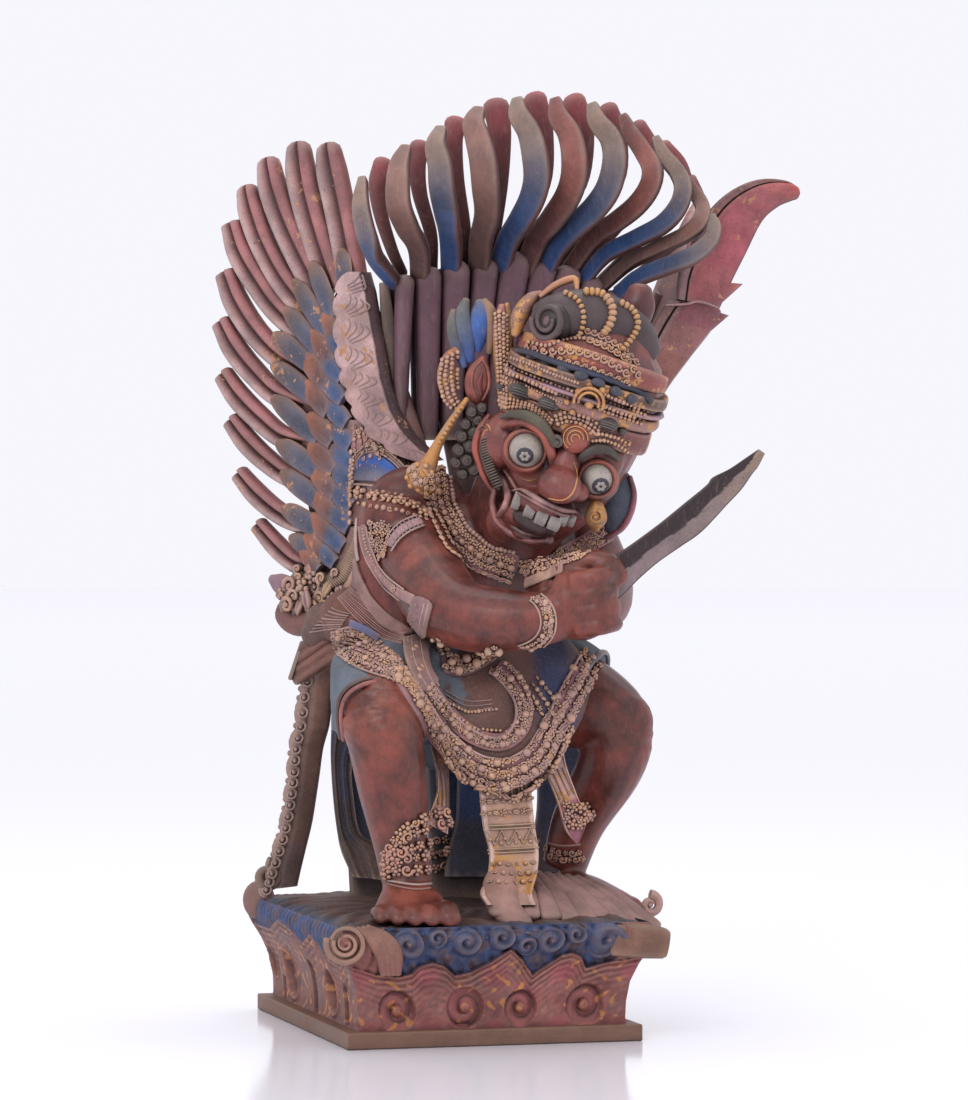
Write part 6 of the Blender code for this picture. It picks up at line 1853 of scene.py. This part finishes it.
for i, row in enumerate(edge_rows[2:]):
    u, v, y = row[:3]
    r = 5.2 + 1.6 * sin(i * 0.9)
    saw.ball(seen(u + 3.5, v, y - 3), (r * 0.95 * MM, 0.0052, r * MM), "#8c6c6a", None, 10, 7)
    if i % 3 == 0:
        saw.scroll(seen(u + 4, v, y - 9), (1, 0, 0), (0, 0, 1), 0.0052, 0.0012, "#a08480", 1.1, 0.35,
            steps=14)
for k in range(26):
    f = k / 25
    v = 652 + 230 * f
    edge_at, edge_y = (np.interp(v, edge_rows[:, 1], edge_rows[:, i]) for i in (0, 2))
    saw.ball(seen(edge_at - 0.5, v, edge_y), (0.0026, 0.004, 0.0026), "#7a5c58", None, 8, 6)
saw.piece("sash_serration", cloth_paint, "statue_wood", sharp=50)
# curl where the sash meets the pedestal, and the pleated tuft above it
tuft = Carving()
tuft.scroll(seen(267, 876, 96), (1, 0, 0), (0, 0, 1), 0.0105, 0.0055, "#5c443c", 1.3, 0.3)
FOLDS = [(c, 0.8 + 0.34 * abs(sin(6.2 * c))) for c in np.linspace(-0.95, 0.95, 29)]
FOLDS = [(-1, 0)] + FOLDS + [(1, 0)] + [(-c, -0.7) for c, _ in FOLDS[::4]]
board(tuft, deep([(366, 604, -2, 368, 652, -6, 12), (346, 612, 14, 350, 658, 10, 12), (326, 624, 28, 332,
    664, 26, 10), (312, 634, 38, 314, 676, 38, 8), (302.5, 642, 44, 297, 685, 44, 6), (298, 650, 46, 291,
    678, 46, 3)]),
      (-0.35, -1, 0.15), FOLDS, lambda t, c: stepped(["#6a4a42", "#785248", "#7c564c", "#6e5048"], t), 26)
for k in range(20):
    f = k / 19
    tuft.ball(seen(302 - 11.5 * f, 643 + 35 * f, 43), (0.0020, 0.004, 0.0018), "#6a4e48", None, 8, 6)
carrier(tuft.piece("pleated_tuft", cloth_paint, "statue_wood", sharp=50))

# %% Centre panel, narrow sash, knee panel and the cloth on the pedestal
panels = Carving()
PANEL = [(-1, 0), (-0.97, 0.9), (-0.86, 1.05), (-0.78, 0.8), (-0.4, 0.72), (0, 0.85), (0.4, 0.72),
    (0.78, 0.8), (0.86, 1.05), (0.97, 0.9), (1, 0), (0.8, -0.8), (0, -1), (-0.8, -0.8)]


def panel_shade(t, c):
    """Pale raised rims and a warmer field between them."""
    return "#c9a79a" if abs(c) > 0.8 else stepped(["#9c7969", "#af8975", "#bb947c", "#a88778", "#9f7f73"],
        t)


board(panels, deep([(476, 760, -88, 533, 756, -88, 5), (478.8, 788, -95, 531, 782, -95, 5),
    (482.5, 825, -93, 534.5, 823, -93, 5), (489, 853, -95, 538.5, 851, -95, 5), (487, 876, -102, 537, 874,
    -102, 5), (480, 893, -112, 532, 893, -112, 6), (486, 905, -124, 536, 905, -124, 5)]), (-0.15, -1, 0.1),
    PANEL, panel_shade, 40, 2)
board(panels, deep([(541, 742, -84, 562, 740, -80), (544, 768, -88, 565.5, 764, -84), (557, 803, -86, 577,
    796, -86), (565, 830, -90, 586, 818, -90), (576, 844, -90, 579, 841, -90)], 4), (-0.1, -1, 0), PANEL,
    lambda t, c: stepped(["#b18782", "#c1968a", "#a76c70", "#935b68"], t), 26)
board(panels, deep([(430, 745, -66, 447, 750, -66), (434, 762, -72, 448.5, 780, -74), (437, 790, -84, 448.5,
    812, -84), (424, 822, -92, 447.5, 834, -90)], 4), (-0.1, -1, 0), PANEL, lambda t,
    c: stepped(["#7d5f61", "#a37f7d", "#b58c8a"], t), 20)
carrier(panels.piece("dress_panels", flower_paint, "statue_wood", sharp=40))
ground = Carving()
for k in range(9):
    f = k / 8
    u0, u1 = 514 + 78 * f, 500 + 152 * f**0.8
    ground.loft(drawn(seen, [(u0 - 6, 872 + 9 * f, -70 + 10 * f, 5, 4.5), ((u0 + u1) / 2, 893 + 10 * f,
        -104 + 10 * f, 8, 5.5), (u1, 913 + 13 * f, -128 + 12 * f, 9.2, 5)]), (0, -0.4, 1),
        ["#765b58", "#8a6a65", "#987670"], 16, OVAL, None, (0.4, 0.6))
ground.scroll(seen(650, 905, -98), (1, 0, 0), (0, 0, 1), 0.0085, 0.004, "#a8817d", 1.2, 0.3)
ground.loft(drawn(seen, [(506, 868, -96, 10, 8), (500, 888, -110, 14, 9), (505, 908, -124, 13, 8),
    (522, 926, -134, 10, 6)]), (0, -1, 0.6), ["#aa8172", "#9c766c", "#93726c"], 18, OVAL, None, (0.4, 0.6))
carrier(ground.piece("cloth_on_pedestal", cloth_paint, "statue_wood", sharp=45))

# %% [markdown]
# Carved flowers, scrolls and beads fill the garlands, straps and bands. Each field lies between two
# drawn lines, and every motif is set on the surface under it with its own small turn, size and tone.

# %% Scattered ornament
OLD_GOLD = ["#a06f64", "#b48167", "#85565a", "#734a5f", "#c68e6e", "#8d5f5f", "#644154", "#a67569"]
ROSE_GOLD = ["#a85852", "#c48161", "#8c464d", "#794457", "#b76a57", "#954f4f"]
PALE_GOLD = ["#a6817d", "#b79187", "#8e6c6e", "#a88375", "#795a64"]
NAMED = {"b": "bead", "r": "rosette", "c": "curl", "l": "leaf"}
fields = {name: [] for name in NAMED.values()}
dice = np.random.default_rng(11)


def field(start, stop, rows, spacing, size, kinds, colours=OLD_GOLD, lift=0.3, tall=1.0, loose=0.25):
    """Motifs in rows between two drawn lines. `kinds` is read in turn, one letter a motif."""
    start, stop = resampled(start, 16), resampled(stop, 16)
    n = 0
    for k in range(rows):
        f = (k + 0.5) / rows
        line = start * (1 - f) + stop * f
        if k % 2:
            first = line[1] - line[0]
            line = line + first / max(np.linalg.norm(first), 1e-6) * spacing * 0.5
        for p, normal, way in trail(line, spacing, lift):
            n += 1
            kind = kinds[n % len(kinds)]
            e = size * dice.uniform(1 - loose, 1 + loose)
            spin = Matrix.Rotation(dice.uniform(0, tau) if kind in "rc" else dice.uniform(-0.5, 0.5), 3,
                normal)
            tone = colours[int(dice.integers(len(colours)))]
            fields[NAMED[kind]].append((p, normal, spin @ way.normalized(), (e, e, e * tall), tone))


def one_row(line, *rest):
    """One row of motifs along a drawn line."""
    field(line, line, 1, *rest)


def piping(carving, points, half=0.9, colour="#ac8078", lift=0.7, spacing=4):
    """A thin round cord of wood along a drawn line."""
    strap(carving, points, half, half, [colour, colour], OVAL[::2], spacing, lift)


# %% Cover over the wing's root
cover = Carving()
COVER_RIGHT = [(420, 372), (436, 384), (450, 396), (464, 406), (478, 416), (490, 424), (505, 428),
    (530, 430)]
board(cover, [(on_wing(349, v, 9), on_wing(edge_u(v, COVER_RIGHT), v, 9), 0.006) for v in np.arange(420,
    532, 8.0)], WING_NORMAL, BOARD, lambda t, c: stepped(["#8a6c66", "#94746c", "#7c5450"], t), 30)
arch = [(355, 481, 469), (360, 481, 459), (368, 481.5, 453.5), (378, 482.5, 453.5), (388, 484, 459),
    (398, 486, 468), (405, 487.5, 478)]
board(cover, [(on_wing(u, low, 15), on_wing(u, top, 15), 0.0028) for u, low, top in arch], WING_NORMAL,
    BOARD, lambda t, c: "#2a5299" if c > 0.35 else ["#4d5878", "#6a6878"][int(c < -0.3)], 20)
for rise, code in ((1.5, "#b0908a"), (4.4, "#9c7c72"), (7.2, "#b89a88")):
    line = [(352 - rise * 0.4, 486)] + [(u + (u - 380) * rise * 0.012, top - rise) for u, low,
        top in arch] + [(409 + rise * 0.8, 489)]
    cover.loft([(on_wing(u, v, 16.5), 0.0010, 0.0016) for u, v in line], WING_NORMAL, [code], 40, OVAL[::2])
cover.loft([(on_wing(u, v, 16.5), 0.0010, 0.0016) for u, v in ((352, 484), (368, 485), (388, 488),
    (410, 492))], WING_NORMAL, ["#b0908a"], 20, OVAL[::2])
carrier(cover.piece("wing_root_cover", feather_paint, "right_wing_wood", sharp=50))

# %% Beds of the carved fields
beds = Carving()
BED = ["#8d6167", "#9e6c6d", "#895b69"]
strap(beds, [(436, 464), (440, 500), (458, 535), (484, 556), (512, 566)], 12.5, 2.6, BED, BOARD, 5, 0.2,
    taper=[0.6, 1, 1, 1, 0.9])
strap(beds, [(511, 570), (536, 566), (564, 556), (590, 543), (606, 532)], 9.0, 2.4, BED, BOARD, 5, 0.2)
strap(beds, [(334, 641), (346, 644), (362, 650), (380, 660), (398, 670), (412, 682)], 13.5, 2.2, BED, BOARD,
    5, 0.2, taper=[0.6, 1, 1, 0.9, 0.6, 0.4])
strap(beds, [(398, 672), (410, 690), (424, 712), (438, 732), (458, 757), (480, 771), (504, 776), (525, 768),
    (542, 753), (556, 724), (574, 692), (593, 658)], 10.5, 2.8, BED, BOARD, 5, 0.2, taper=[0.7, 0.9, 1, 1.1,
    1.15, 1.15, 1.1, 1, 0.9, 0.9, 0.9])
strap(beds, [(412, 640), (415, 661), (424, 681), (439, 703), (460, 727), (485, 741), (505, 742), (520, 729),
    (525, 711), (521, 692), (510, 676), (499, 668)], 7.2, 3.0, BED, BOARD, 5, 0.2)
strap(beds, [(444, 664), (456, 668), (470, 664), (486, 655), (498, 649)], 8.5, 3.2, ["#5a3848", "#6d444a"],
    BOARD, 5, 0.2)
strap(beds, [(355, 440), (372, 443), (396, 448)], 9.5, 1.6, BED, BOARD, 5, 0.2)
carrier(beds.piece("field_beds", cloth_paint, "statue_wood", sharp=50))

# %% Straps, sashes and borders on the body
bands, pipes = Carving(), Carving()
# beige strap, bead-edged strap and the blue crescent with its filigree triangle on the shoulder
strap(bands, [(356, 560), (359, 577), (367, 597), (381, 615), (396, 627), (408, 634)], 5.4, 1.6,
    ["#93726e", "#896964", "#916e69"], BOARD, 4, 1.0, taper=[0.5, 1, 1, 1])
strap(bands, [(364, 527), (367, 545), (375, 565), (388, 582), (404, 595), (414, 600)], 4.2, 1.6,
    ["#8b6466", "#9e7b78"], BOARD, 4, 1.2)
strap(bands, [(361, 500), (358, 520), (357, 545), (359, 560)], 2.2, 1.4, ["#a98e8c"], OVAL, 4, 1.0)
for line in ([(361, 527), (363, 545), (371, 567), (385, 586), (402, 600)], [(368, 527), (371, 543),
        (379, 562), (391, 578), (406, 590)]):
    piping(pipes, line, 0.7, "#b3928c", 2.2)
one_row([(365, 529), (369, 549), (379, 569.5), (393, 585.5)], 3.4, 1.1, "b", PALE_GOLD, 2.6)
one_row([(397, 588), (398, 588)], 6, 3.4, "r", PALE_GOLD, 2.8)
# filigree triangle and flower row on the shoulder
field([(353, 428), (352, 440), (352, 456)], [(376, 430), (388, 442), (398, 456)], 6, 5.2, 2.7, "crcbl",
    ["#a3857c", "#8f6c68", "#b59684", "#7c5c60"], 0.3, 0.8)
field([(398, 456), (408, 470), (415, 484)], [(404, 452), (414, 466), (422, 480)], 3, 5.0, 2.6, "crb",
    ["#a3857c", "#8f6c68", "#b59684"], 0.3, 0.8)
field([(351, 458), (350, 474), (350, 492)], [(354, 458), (353, 474), (353, 492)], 2, 4.4, 1.9, "b",
    PALE_GOLD, 0.3)
one_row([(360, 492.5), (376, 497.5), (392, 499.5), (408, 502.5), (424, 513.5)], 14.5, 6.2, "r",
    ["#b88261", "#c6906e", "#a6695f"], 0.6, 0.9, 0.08)
field([(353, 484), (372, 488), (400, 492), (430, 508)], [(353, 505), (372, 510), (400, 514), (425, 522)], 3,
    6.4, 2.2, "bcb", ROSE_GOLD, 0.2)
# armband with its pointed field and strap
field([(368, 522), (370, 540), (378, 556)], [(392, 524), (391, 536), (386, 552)], 4, 6.0, 2.9, "rcr",
    PALE_GOLD, 0.8)
strap(bands, [(391, 545), (397, 535), (407, 527), (420, 522)], 4.6, 1.5, ["#8d7073", "#a1827f"], BOARD, 4,
    0.8)
piping(pipes, [(393, 552), (400, 541), (410, 533), (424, 527)], 0.8, "#ad8c8a", 2.0)
piping(pipes, [(388, 540), (394, 530), (404, 522), (417, 517)], 0.8, "#ad8c8a", 2.0)
for k in range(9):
    f = k / 8
    u, v = np.interp(f, [0, 0.4, 1], [392, 402, 420]), np.interp(f, [0, 0.4, 1], [544, 531, 523])
    piping(pipes, [(u - 4, v - 5), (u, v), (u + 3, v + 5)], 0.55, "#806269", 1.9, 3)
# wrist band of the right arm
field([(532, 600), (540, 606), (545, 618), (544, 632), (534, 642), (522, 646)], [(540, 597), (549, 604),
    (553, 618), (551, 634), (540, 645), (528, 650)], 3, 4.6, 2.3, "crbc", PALE_GOLD, 0.6)
piping(pipes, [(530, 601), (537, 607), (541, 618), (540, 630), (531, 640), (518, 645)], 0.8, "#9f827c", 1.0)
piping(pipes, [(541, 595), (551, 603), (556, 618), (554, 634), (543, 646), (528, 651)], 0.9, "#b08e87", 1.0)
# collar: a row of beads at the neck, flowers and curls between, and leaves outside
for line, size, kinds, tones in (
    ([(448, 466.5), (452, 499), (467, 527.5), (488.5, 545.5), (513, 553.5)], 2.3, "b", PALE_GOLD),
    ([(442, 468.5), (446, 502), (462, 532.5), (485.5, 551.5), (512, 560.5)], 3.6, "r",
        ["#d5a07b", "#c18a75", "#e6af83"]),
    ([(436, 470.5), (440, 506), (457, 538.5), (481.5, 557.5), (511, 567.5)], 3.2, "cb", OLD_GOLD),
    ([(430, 475), (434, 509), (451, 543.5), (478.5, 563.5), (510, 574.5)], 3.4, "rc", ["#c49379", "#af7f75",
        "#d7a486"]),
    ([(425, 481), (429, 513), (446, 548.5), (475.5, 569.5), (508, 581.5)], 3.6, "l", ["#bb8c7b", "#d19d7b",
        "#9a6d72"]),
):
    one_row(line, size * 1.75, size, kinds, tones, 0.6, 1.0, 0.1)
field([(520, 560), (548, 555), (576, 545), (602, 528)], [(522, 576), (550, 570), (584, 556), (608, 538)], 4,
    5.4, 2.9, "rcrl", ["#c49375", "#d5a07b", "#996a72"], 0.4)
strap(bands, [(516, 588), (540, 578), (562, 568)], 4.4, 1.5, ["#9a7672", "#b48e7b", "#9a756f"], BOARD, 4,
    0.6)
# vertical sash with its crack, and the gilt recess beside it
strap(bands, [(423, 603), (419, 620), (416, 636)], 11.0, 2.2, ["#7e6061", "#8a6969"], BOARD, 3, 1.0)
strap(bands, [(416, 641), (416, 655), (420, 670), (427, 684)], 10.5, 2.2, ["#876969", "#93726b", "#876766"],
    BOARD, 3, 1.0)
for dx in (-8, -4.5, 4, 8):
    piping(pipes, [(423 + dx, 604), (419 + dx, 620), (416.5 + dx, 635)], 0.7, "#a68782", 3.0)
    piping(pipes, [(416 + dx, 642), (416.5 + dx, 656), (421 + dx, 671), (429 + dx, 686)], 0.7, "#a68782",
        3.0)
for k in range(12):
    v = 608 + 6 * k
    if not 634 < v < 641:
        piping(pipes, [(412 if v < 640 else 409, v), (420 if v < 640 else 417, v - 1.5)], 0.55, "#71575c",
            3.2, 3)
field([(431, 640), (436, 650), (440, 656)], [(440, 636), (446, 645), (448, 652)], 2, 5, 2.6, "rb",
    ["#a68254", "#c3995f", "#805e4a"], 0.6)

# %% Hip band, garlands, apron and belt
HIP_TOP = [(334, 632), (346, 627), (362, 629), (378, 640), (396, 655), (408, 672)]
HIP_LOW = [(335, 651), (346, 661), (362, 670), (380, 676), (398, 681), (412, 690)]
field(HIP_TOP, HIP_LOW, 8, 4.6, 2.7, "rcbrcl", ["#916b6e", "#a37b6e", "#b58b6e", "#7c5964", "#97706e"], 0.4,
    0.8)
piping(pipes, HIP_LOW, 1.0, "#977773", 0.8)
piping(pipes, HIP_TOP, 0.9, "#a3807a", 1.2)
strap(bands, [(352, 623), (372, 632), (392, 648), (405, 664)], 3.0, 1.4, ["#6e647d", "#5f6287", "#7e6973"],
    BOARD, 4, 1.6)
OUTER_IN = [(392, 658), (407, 672), (421.6, 694), (442, 723), (466.5, 749), (487, 759.6), (507, 759.6),
    (523.7, 753.5), (536, 739), (548, 712.6), (564.5, 682), (583, 649)]
OUTER_OUT = [(399, 680), (411, 692), (422, 712), (432, 735), (448, 762), (470, 784), (500, 793), (524, 784),
    (546, 768), (562, 735), (582, 704), (600, 668)]
field(OUTER_IN, OUTER_OUT, 5, 5.4, 3.4, "rcrlrb", ["#936764", "#ac7e69", "#bd8e70", "#775269", "#9f7269",
    "#69495a"], 0.8, 1.0)
one_row([(450, 759.5), (460, 773), (475, 785.5), (494, 791.5), (511, 798.5)], 6.4, 4.2, "lr",
    ["#af8267", "#c39273", "#916464"], 1.6, 1.2)
one_row([(514, 798.5), (528, 787), (546, 773.5), (558, 753.5), (568, 729.5)], 6.4, 4.2, "lr",
    ["#af8267", "#c39273", "#916464"], 1.6, 1.2)
INNER_OUT = [(407, 640), (409, 662), (420, 684), (436, 706), (458, 731), (484, 746), (506, 747), (524, 735),
    (533, 716), (531, 694), (521, 674), (508, 662)]
INNER_IN = [(416, 639), (419, 660), (428, 676), (442, 698), (462, 723), (487, 737), (503, 737), (515, 723),
    (517.5, 706), (511, 690), (499, 678), (489, 673)]
field(INNER_IN, INNER_OUT, 3, 4.9, 2.8, "rcrb", ["#986e69", "#a9806e", "#835b61", "#6e4b5f"], 0.8, 1.0)
piping(pipes, INNER_IN, 1.2, "#a37e82", 1.6)
piping(pipes, OUTER_IN, 1.1, "#b89091", 1.8)
one_row([(421, 671.5), (435, 693), (453, 714), (477, 730), (500, 731)], 4.4, 1.6, "b", PALE_GOLD, 1.0)
field([(540, 676), (552, 690), (560, 700)], [(522, 690), (534, 708), (541, 724)], 3, 6, 2.4, "rlb",
    ["#a38273", "#8a6761", "#c3977d"], 0.7)
field([(444, 671), (456, 674), (470, 672), (486, 662), (498, 652)], [(450, 654), (460, 660), (474, 656),
    (486, 648), (494, 645)], 3, 6.6, 3.4, "rcrb", ["#684452", "#8a6254", "#a37952", "#4b3445", "#b1825a"],
    1.2, 1.2)
one_row([(482, 655), (483, 655)], 8, 6.0, "r", ["#d0a069"], 4.0)
for k in range(3):
    piping(pipes, [(444 + 2 * k, 690 + 5 * k), (466, 701 + 5 * k), (492, 700 + 4 * k)],
        0.6 + 0.2 * (k == 2), "#836469", 0.5)
one_row([(446, 702.5), (468, 712.5), (496, 709.5)], 3.6, 1.5, "b", PALE_GOLD, 0.6)
# cloth folds of the waist behind the straps
for k in range(11):
    f = k / 10
    piping(pipes, [(338 + 12 * f, 598 - 10 * f), (352 + 20 * f, 614 - 12 * f), (378 + 18 * f, 636 - 14 * f),
        (402 + 4 * f, 644 - 12 * f)], 0.7, ["#935e5f", "#71474a"][k % 2], 0.4)
for k in range(8):
    f = k / 7
    piping(pipes, [(310 + 22 * f, 632 - 24 * f), (322 + 18 * f, 630 - 18 * f), (340 + 10 * f,
        628 - 14 * f)], 0.7, ["#987275", "#725254"][k % 2], 0.4)

# %% Anklets and panel flowers
field([(386, 852), (396, 832), (410, 818), (430, 808), (446, 806)], [(388, 876), (402, 874), (418, 876),
    (434, 876), (445, 874)], 5, 9.0, 4.6, "rrcr", ROSE_GOLD, 1.2, 1.2)
piping(pipes, [(388, 880), (402, 884), (420, 886), (438, 883)], 1.2, "#b19291", 0.9)
piping(pipes, [(388, 884), (402, 888), (420, 890), (438, 887)], 0.8, "#8d5b56", 0.6)
field([(566, 800), (576, 806), (586, 802)], [(566, 824), (576, 832), (590, 818)], 3, 7.5, 4.2, "rr",
    ROSE_GOLD, 1.6, 1.2)
field([(548, 846), (562, 850), (578, 850)], [(548, 858), (562, 862), (578, 860)], 2, 6.5, 3.2, "rc",
    ROSE_GOLD, 0.8)
piping(pipes, [(546, 842), (562, 846), (580, 844)], 1.0, "#9d6d67", 0.8)
for v in (801.5, 813.5):
    one_row([(483, v), (506, v - 1), (530, v - 3)], 6.5, 2.8, "lrl", ["#906d52", "#a98463", "#7d5d4e"], 0.8)
for v in (826, 829.5, 850, 853.5):
    piping(pipes, [(484 + (v - 826) * 0.2, v), (508 + (v - 826) * 0.2, v - 1), (534 + (v - 826) * 0.17,
        v - 2.5)], 0.7, "#b7957a", 1.0)
zig = [(487 + 7.2 * k, 831 + (15 if k % 2 else 0) - 0.4 * k) for k in range(8)]
for a, b in zip(zig, zig[1:]):
    piping(pipes, [a, ((a[0] + b[0]) / 2, (a[1] + b[1]) / 2), b], 0.55, "#b18f78", 0.9, 3)
field([(490, 837), (512, 836), (534, 834)], [(490, 846), (512, 845), (534, 843)], 2, 7.2, 1.7, "rb",
    ["#7d5d4e", "#a68467"], 0.5)
field([(492, 860), (514, 860), (534, 858)], [(490, 886), (512, 888), (530, 886)], 3, 8.0, 2.2, "lcb",
    ["#906d56", "#a98464", "#7d5b4e"], 0.6)
for k in range(7):
    u = 482 + 7.2 * k
    piping(pipes, [(u, 782 + 2 * (k % 2)), (u + 0.8, 795)], 0.5, "#6c5140", 1.0, 3)
for dx in (0, 5, 10, 15):
    piping(pipes, [(547 + dx, 772 - dx * 0.3), (553 + dx, 786 - dx * 0.3), (559 + dx, 800 - dx * 0.4)], 0.5,
        "#77574b", 0.9)
for dx in (0, 4, 8):
    piping(pipes, [(436 + dx, 764 + dx), (438 + dx * 1.05, 786 + dx), (438 + dx, 805 + dx * 0.5)], 0.5,
        "#5f4740", 0.9)

# %% [markdown]
# Where the wing meets the body it is carved with sprays of leaves and flowers.

# %% Foot of the right wing
foot = Carving()
sprays = {"rosette": [], "curl": [], "leaf": []}
for k, (u, v, r) in enumerate(((300, 578, 6), (312, 577, 5.5), (322, 578, 5), (333, 582, 4.5),
        (291, 585, 6.5), (303, 587, 6), (316, 587, 6.5), (328, 590, 6), (339, 590, 4), (284, 594, 5.5),
        (295, 596, 6.5), (308, 598, 6.5), (321, 598, 6), (333, 599, 5), (288, 605, 6), (300, 607, 6),
            (313, 608, 5.5), (325, 607, 5), (298, 569, 4), (310, 569, 4), (336, 573, 4))):
    kind = ["curl", "rosette", "curl", "leaf"][k % 4]
    code = ["#a58478", "#8f7078", "#b8946c", "#7c6478", "#9c6c68"][k % 5]
    sprays[kind].append((on_wing(u, v, 11 + 3 * (k % 3)), WING_NORMAL,
        Vector((cos(k * 2.4), 0.3, sin(k * 2.4))), (r * 1.25, r * 1.25, r * 1.2), code))
    foot.ball(on_wing(u, v, 7), (r * 1.35 * MM, 0.007, r * 1.1 * MM), "#6a4c4c", None, 8, 5)
foot.loft(drawn(on_wing, [(272, 579, 6, 4, 3), (280, 584, 7, 9, 4), (294, 590, 8, 10, 5)]), WING_NORMAL,
    ["#7c6a74", "#8a6470"], 10, COVERT, None, (0.6, 0))
foot.scroll(on_wing(293, 611, 8), WING_ALONG, (0, 0, 1), 0.0105, 0.0040, "#94706c", 0.95, 0, 0.15, 26, 0.12)
foot.scroll(on_wing(303, 619, 8), WING_ALONG, (0, 0, 1), 0.0130, 0.0036, "#845c5a", 0.8, 0.3, 0.9, 26, 0.5)
foot.loft(drawn(on_wing, [(282, 604, 6, 3, 4), (284, 616, 6, 8, 7), (297, 624, 6, 10, 7), (314, 620, 6, 10,
    6), (330, 606, 5, 8, 5)]), WING_NORMAL, ["#6e4a4a", "#7c5450", "#704c48"], 20, OVAL)
foot.loft(drawn(on_wing, [(330, 604, 10, 3.5, 3), (345, 590, 12, 4, 3), (355, 572, 13, 4, 3), (361, 548, 14,
    4, 3), (361, 528, 14, 3, 3)]), WING_NORMAL, ["#a98078", "#c39b87", "#c3a087"], 26, OVAL, None,
    (0.3, 0.3))
foot.loft(drawn(on_wing, [(324, 583, 9, 4, 4), (340, 578, 11, 12, 3), (349, 562, 12, 12, 3), (354, 545, 13,
    10, 3), (357, 528, 13, 7, 3)]), WING_NORMAL, ["#7c5c54", "#86655c", "#7c6058"], 26, OVAL)
for k in range(34):
    f = k / 33
    cu, cv = np.interp(f, [0, 0.25, 0.5, 0.75, 1], [325, 341, 350, 355, 358]), np.interp(f, [0, 0.25, 0.5,
        0.75, 1], [586, 577, 562, 545, 527])
    nu, nv = np.interp(f, [0, 0.3, 0.7, 1], [-0.45, -0.75, -1, -1]), np.interp(f, [0, 0.3, 0.7, 1],
        [-0.9, -0.65, -0.2, 0])
    w = np.interp(f, [0, 0.3, 0.7, 1], [6, 8.5, 8, 5])
    foot.loft(drawn(on_wing, [(cu + nu * w, cv + nv * w, 13, 0.9, 1.2), (cu, cv, 15.8, 1, 1.3),
        (cu - nu * w * 0.8, cv - nv * w * 0.8, 15, 0.8, 1)]), WING_NORMAL, ["#9c7c6c", "#b08c74",
        "#94705f"], 6, OVAL[::2])
foot.piece("wing_foot_flowers", cloth_paint, "right_wing_wood", sharp=50)
for name, shape in (("rosette", rosette), ("curl", curl), ("leaf", leaf)):
    ornament("wing_foot_" + name + "s", shape, sprays[name], flower_paint)
for k in range(9):
    f = k / 8
    fields["bead"].append((on_wing(351.5 - 1.5 * f, 452 + 70 * f, 17), WING_NORMAL, Vector((0, 0, 1)),
        (2.0, 2.6, 1.6), "#c3a296"))
carrier(bands.piece("straps_and_sashes", cloth_paint, "statue_wood", sharp=50))
pipes.piece("piped_edges", cloth_paint, "statue_wood", sharp=0)
for name, shape in zip(fields, (bead, rosette, curl, leaf)):
    ornament("carved_" + name + "s", shape, fields[name], flower_paint)

# %% [markdown]
# A plain pale floor and three soft lights show the carving without hard shadows.

# %% Stage
floor = bpy.data.meshes.new("floor")
shape = bmesh.new()
bmesh.ops.create_circle(shape, cap_ends=True, segments=64, radius=14)
shape.to_mesh(floor)
shape.free()
floor = bpy.data.objects.new("floor", floor)
bpy.context.scene.collection.objects.link(floor)
table = bpy.data.materials.new("glossy_pale_table")
table.use_nodes = True
shader = table.node_tree.nodes["Principled BSDF"]
shader.inputs["Base Color"].default_value = linear("#f4f3fa")
shader.inputs["Roughness"].default_value = 0.12
shader.inputs["Specular IOR Level"].default_value = 0.35
floor.data.materials.append(table)
bpy.context.scene.view_settings.view_transform = "Standard"
world = bpy.data.worlds.new("studio")
bpy.context.scene.world = world
world.use_nodes = True
world.node_tree.nodes["Background"].inputs["Color"].default_value = (0.93, 0.925, 0.985, 1)
world.node_tree.nodes["Background"].inputs["Strength"].default_value = 1.0
for name, place, size, power, colour in (
    ("key_softbox", (-1.9, -2.4, 2.3), 1.6, 38, (1, 0.97, 0.95)),
    ("fill_softbox", (2.4, -2.0, 1.2), 1.8, 6, (0.95, 0.96, 1)),
    ("top_softbox", (0.3, 0.6, 2.6), 1.6, 22, (1, 1, 1)),
):
    lamp = bpy.data.lights.new(name, "AREA")
    lamp.shape, lamp.size, lamp.energy, lamp.color = "SQUARE", size, power, colour
    stand = bpy.data.objects.new(name, lamp)
    bpy.context.scene.collection.objects.link(stand)
    stand.location = place
    stand.rotation_mode = "QUATERNION"
    stand.rotation_quaternion = (Vector(place) - Vector((0, 0, 0.35))).to_track_quat("Z", "Y")
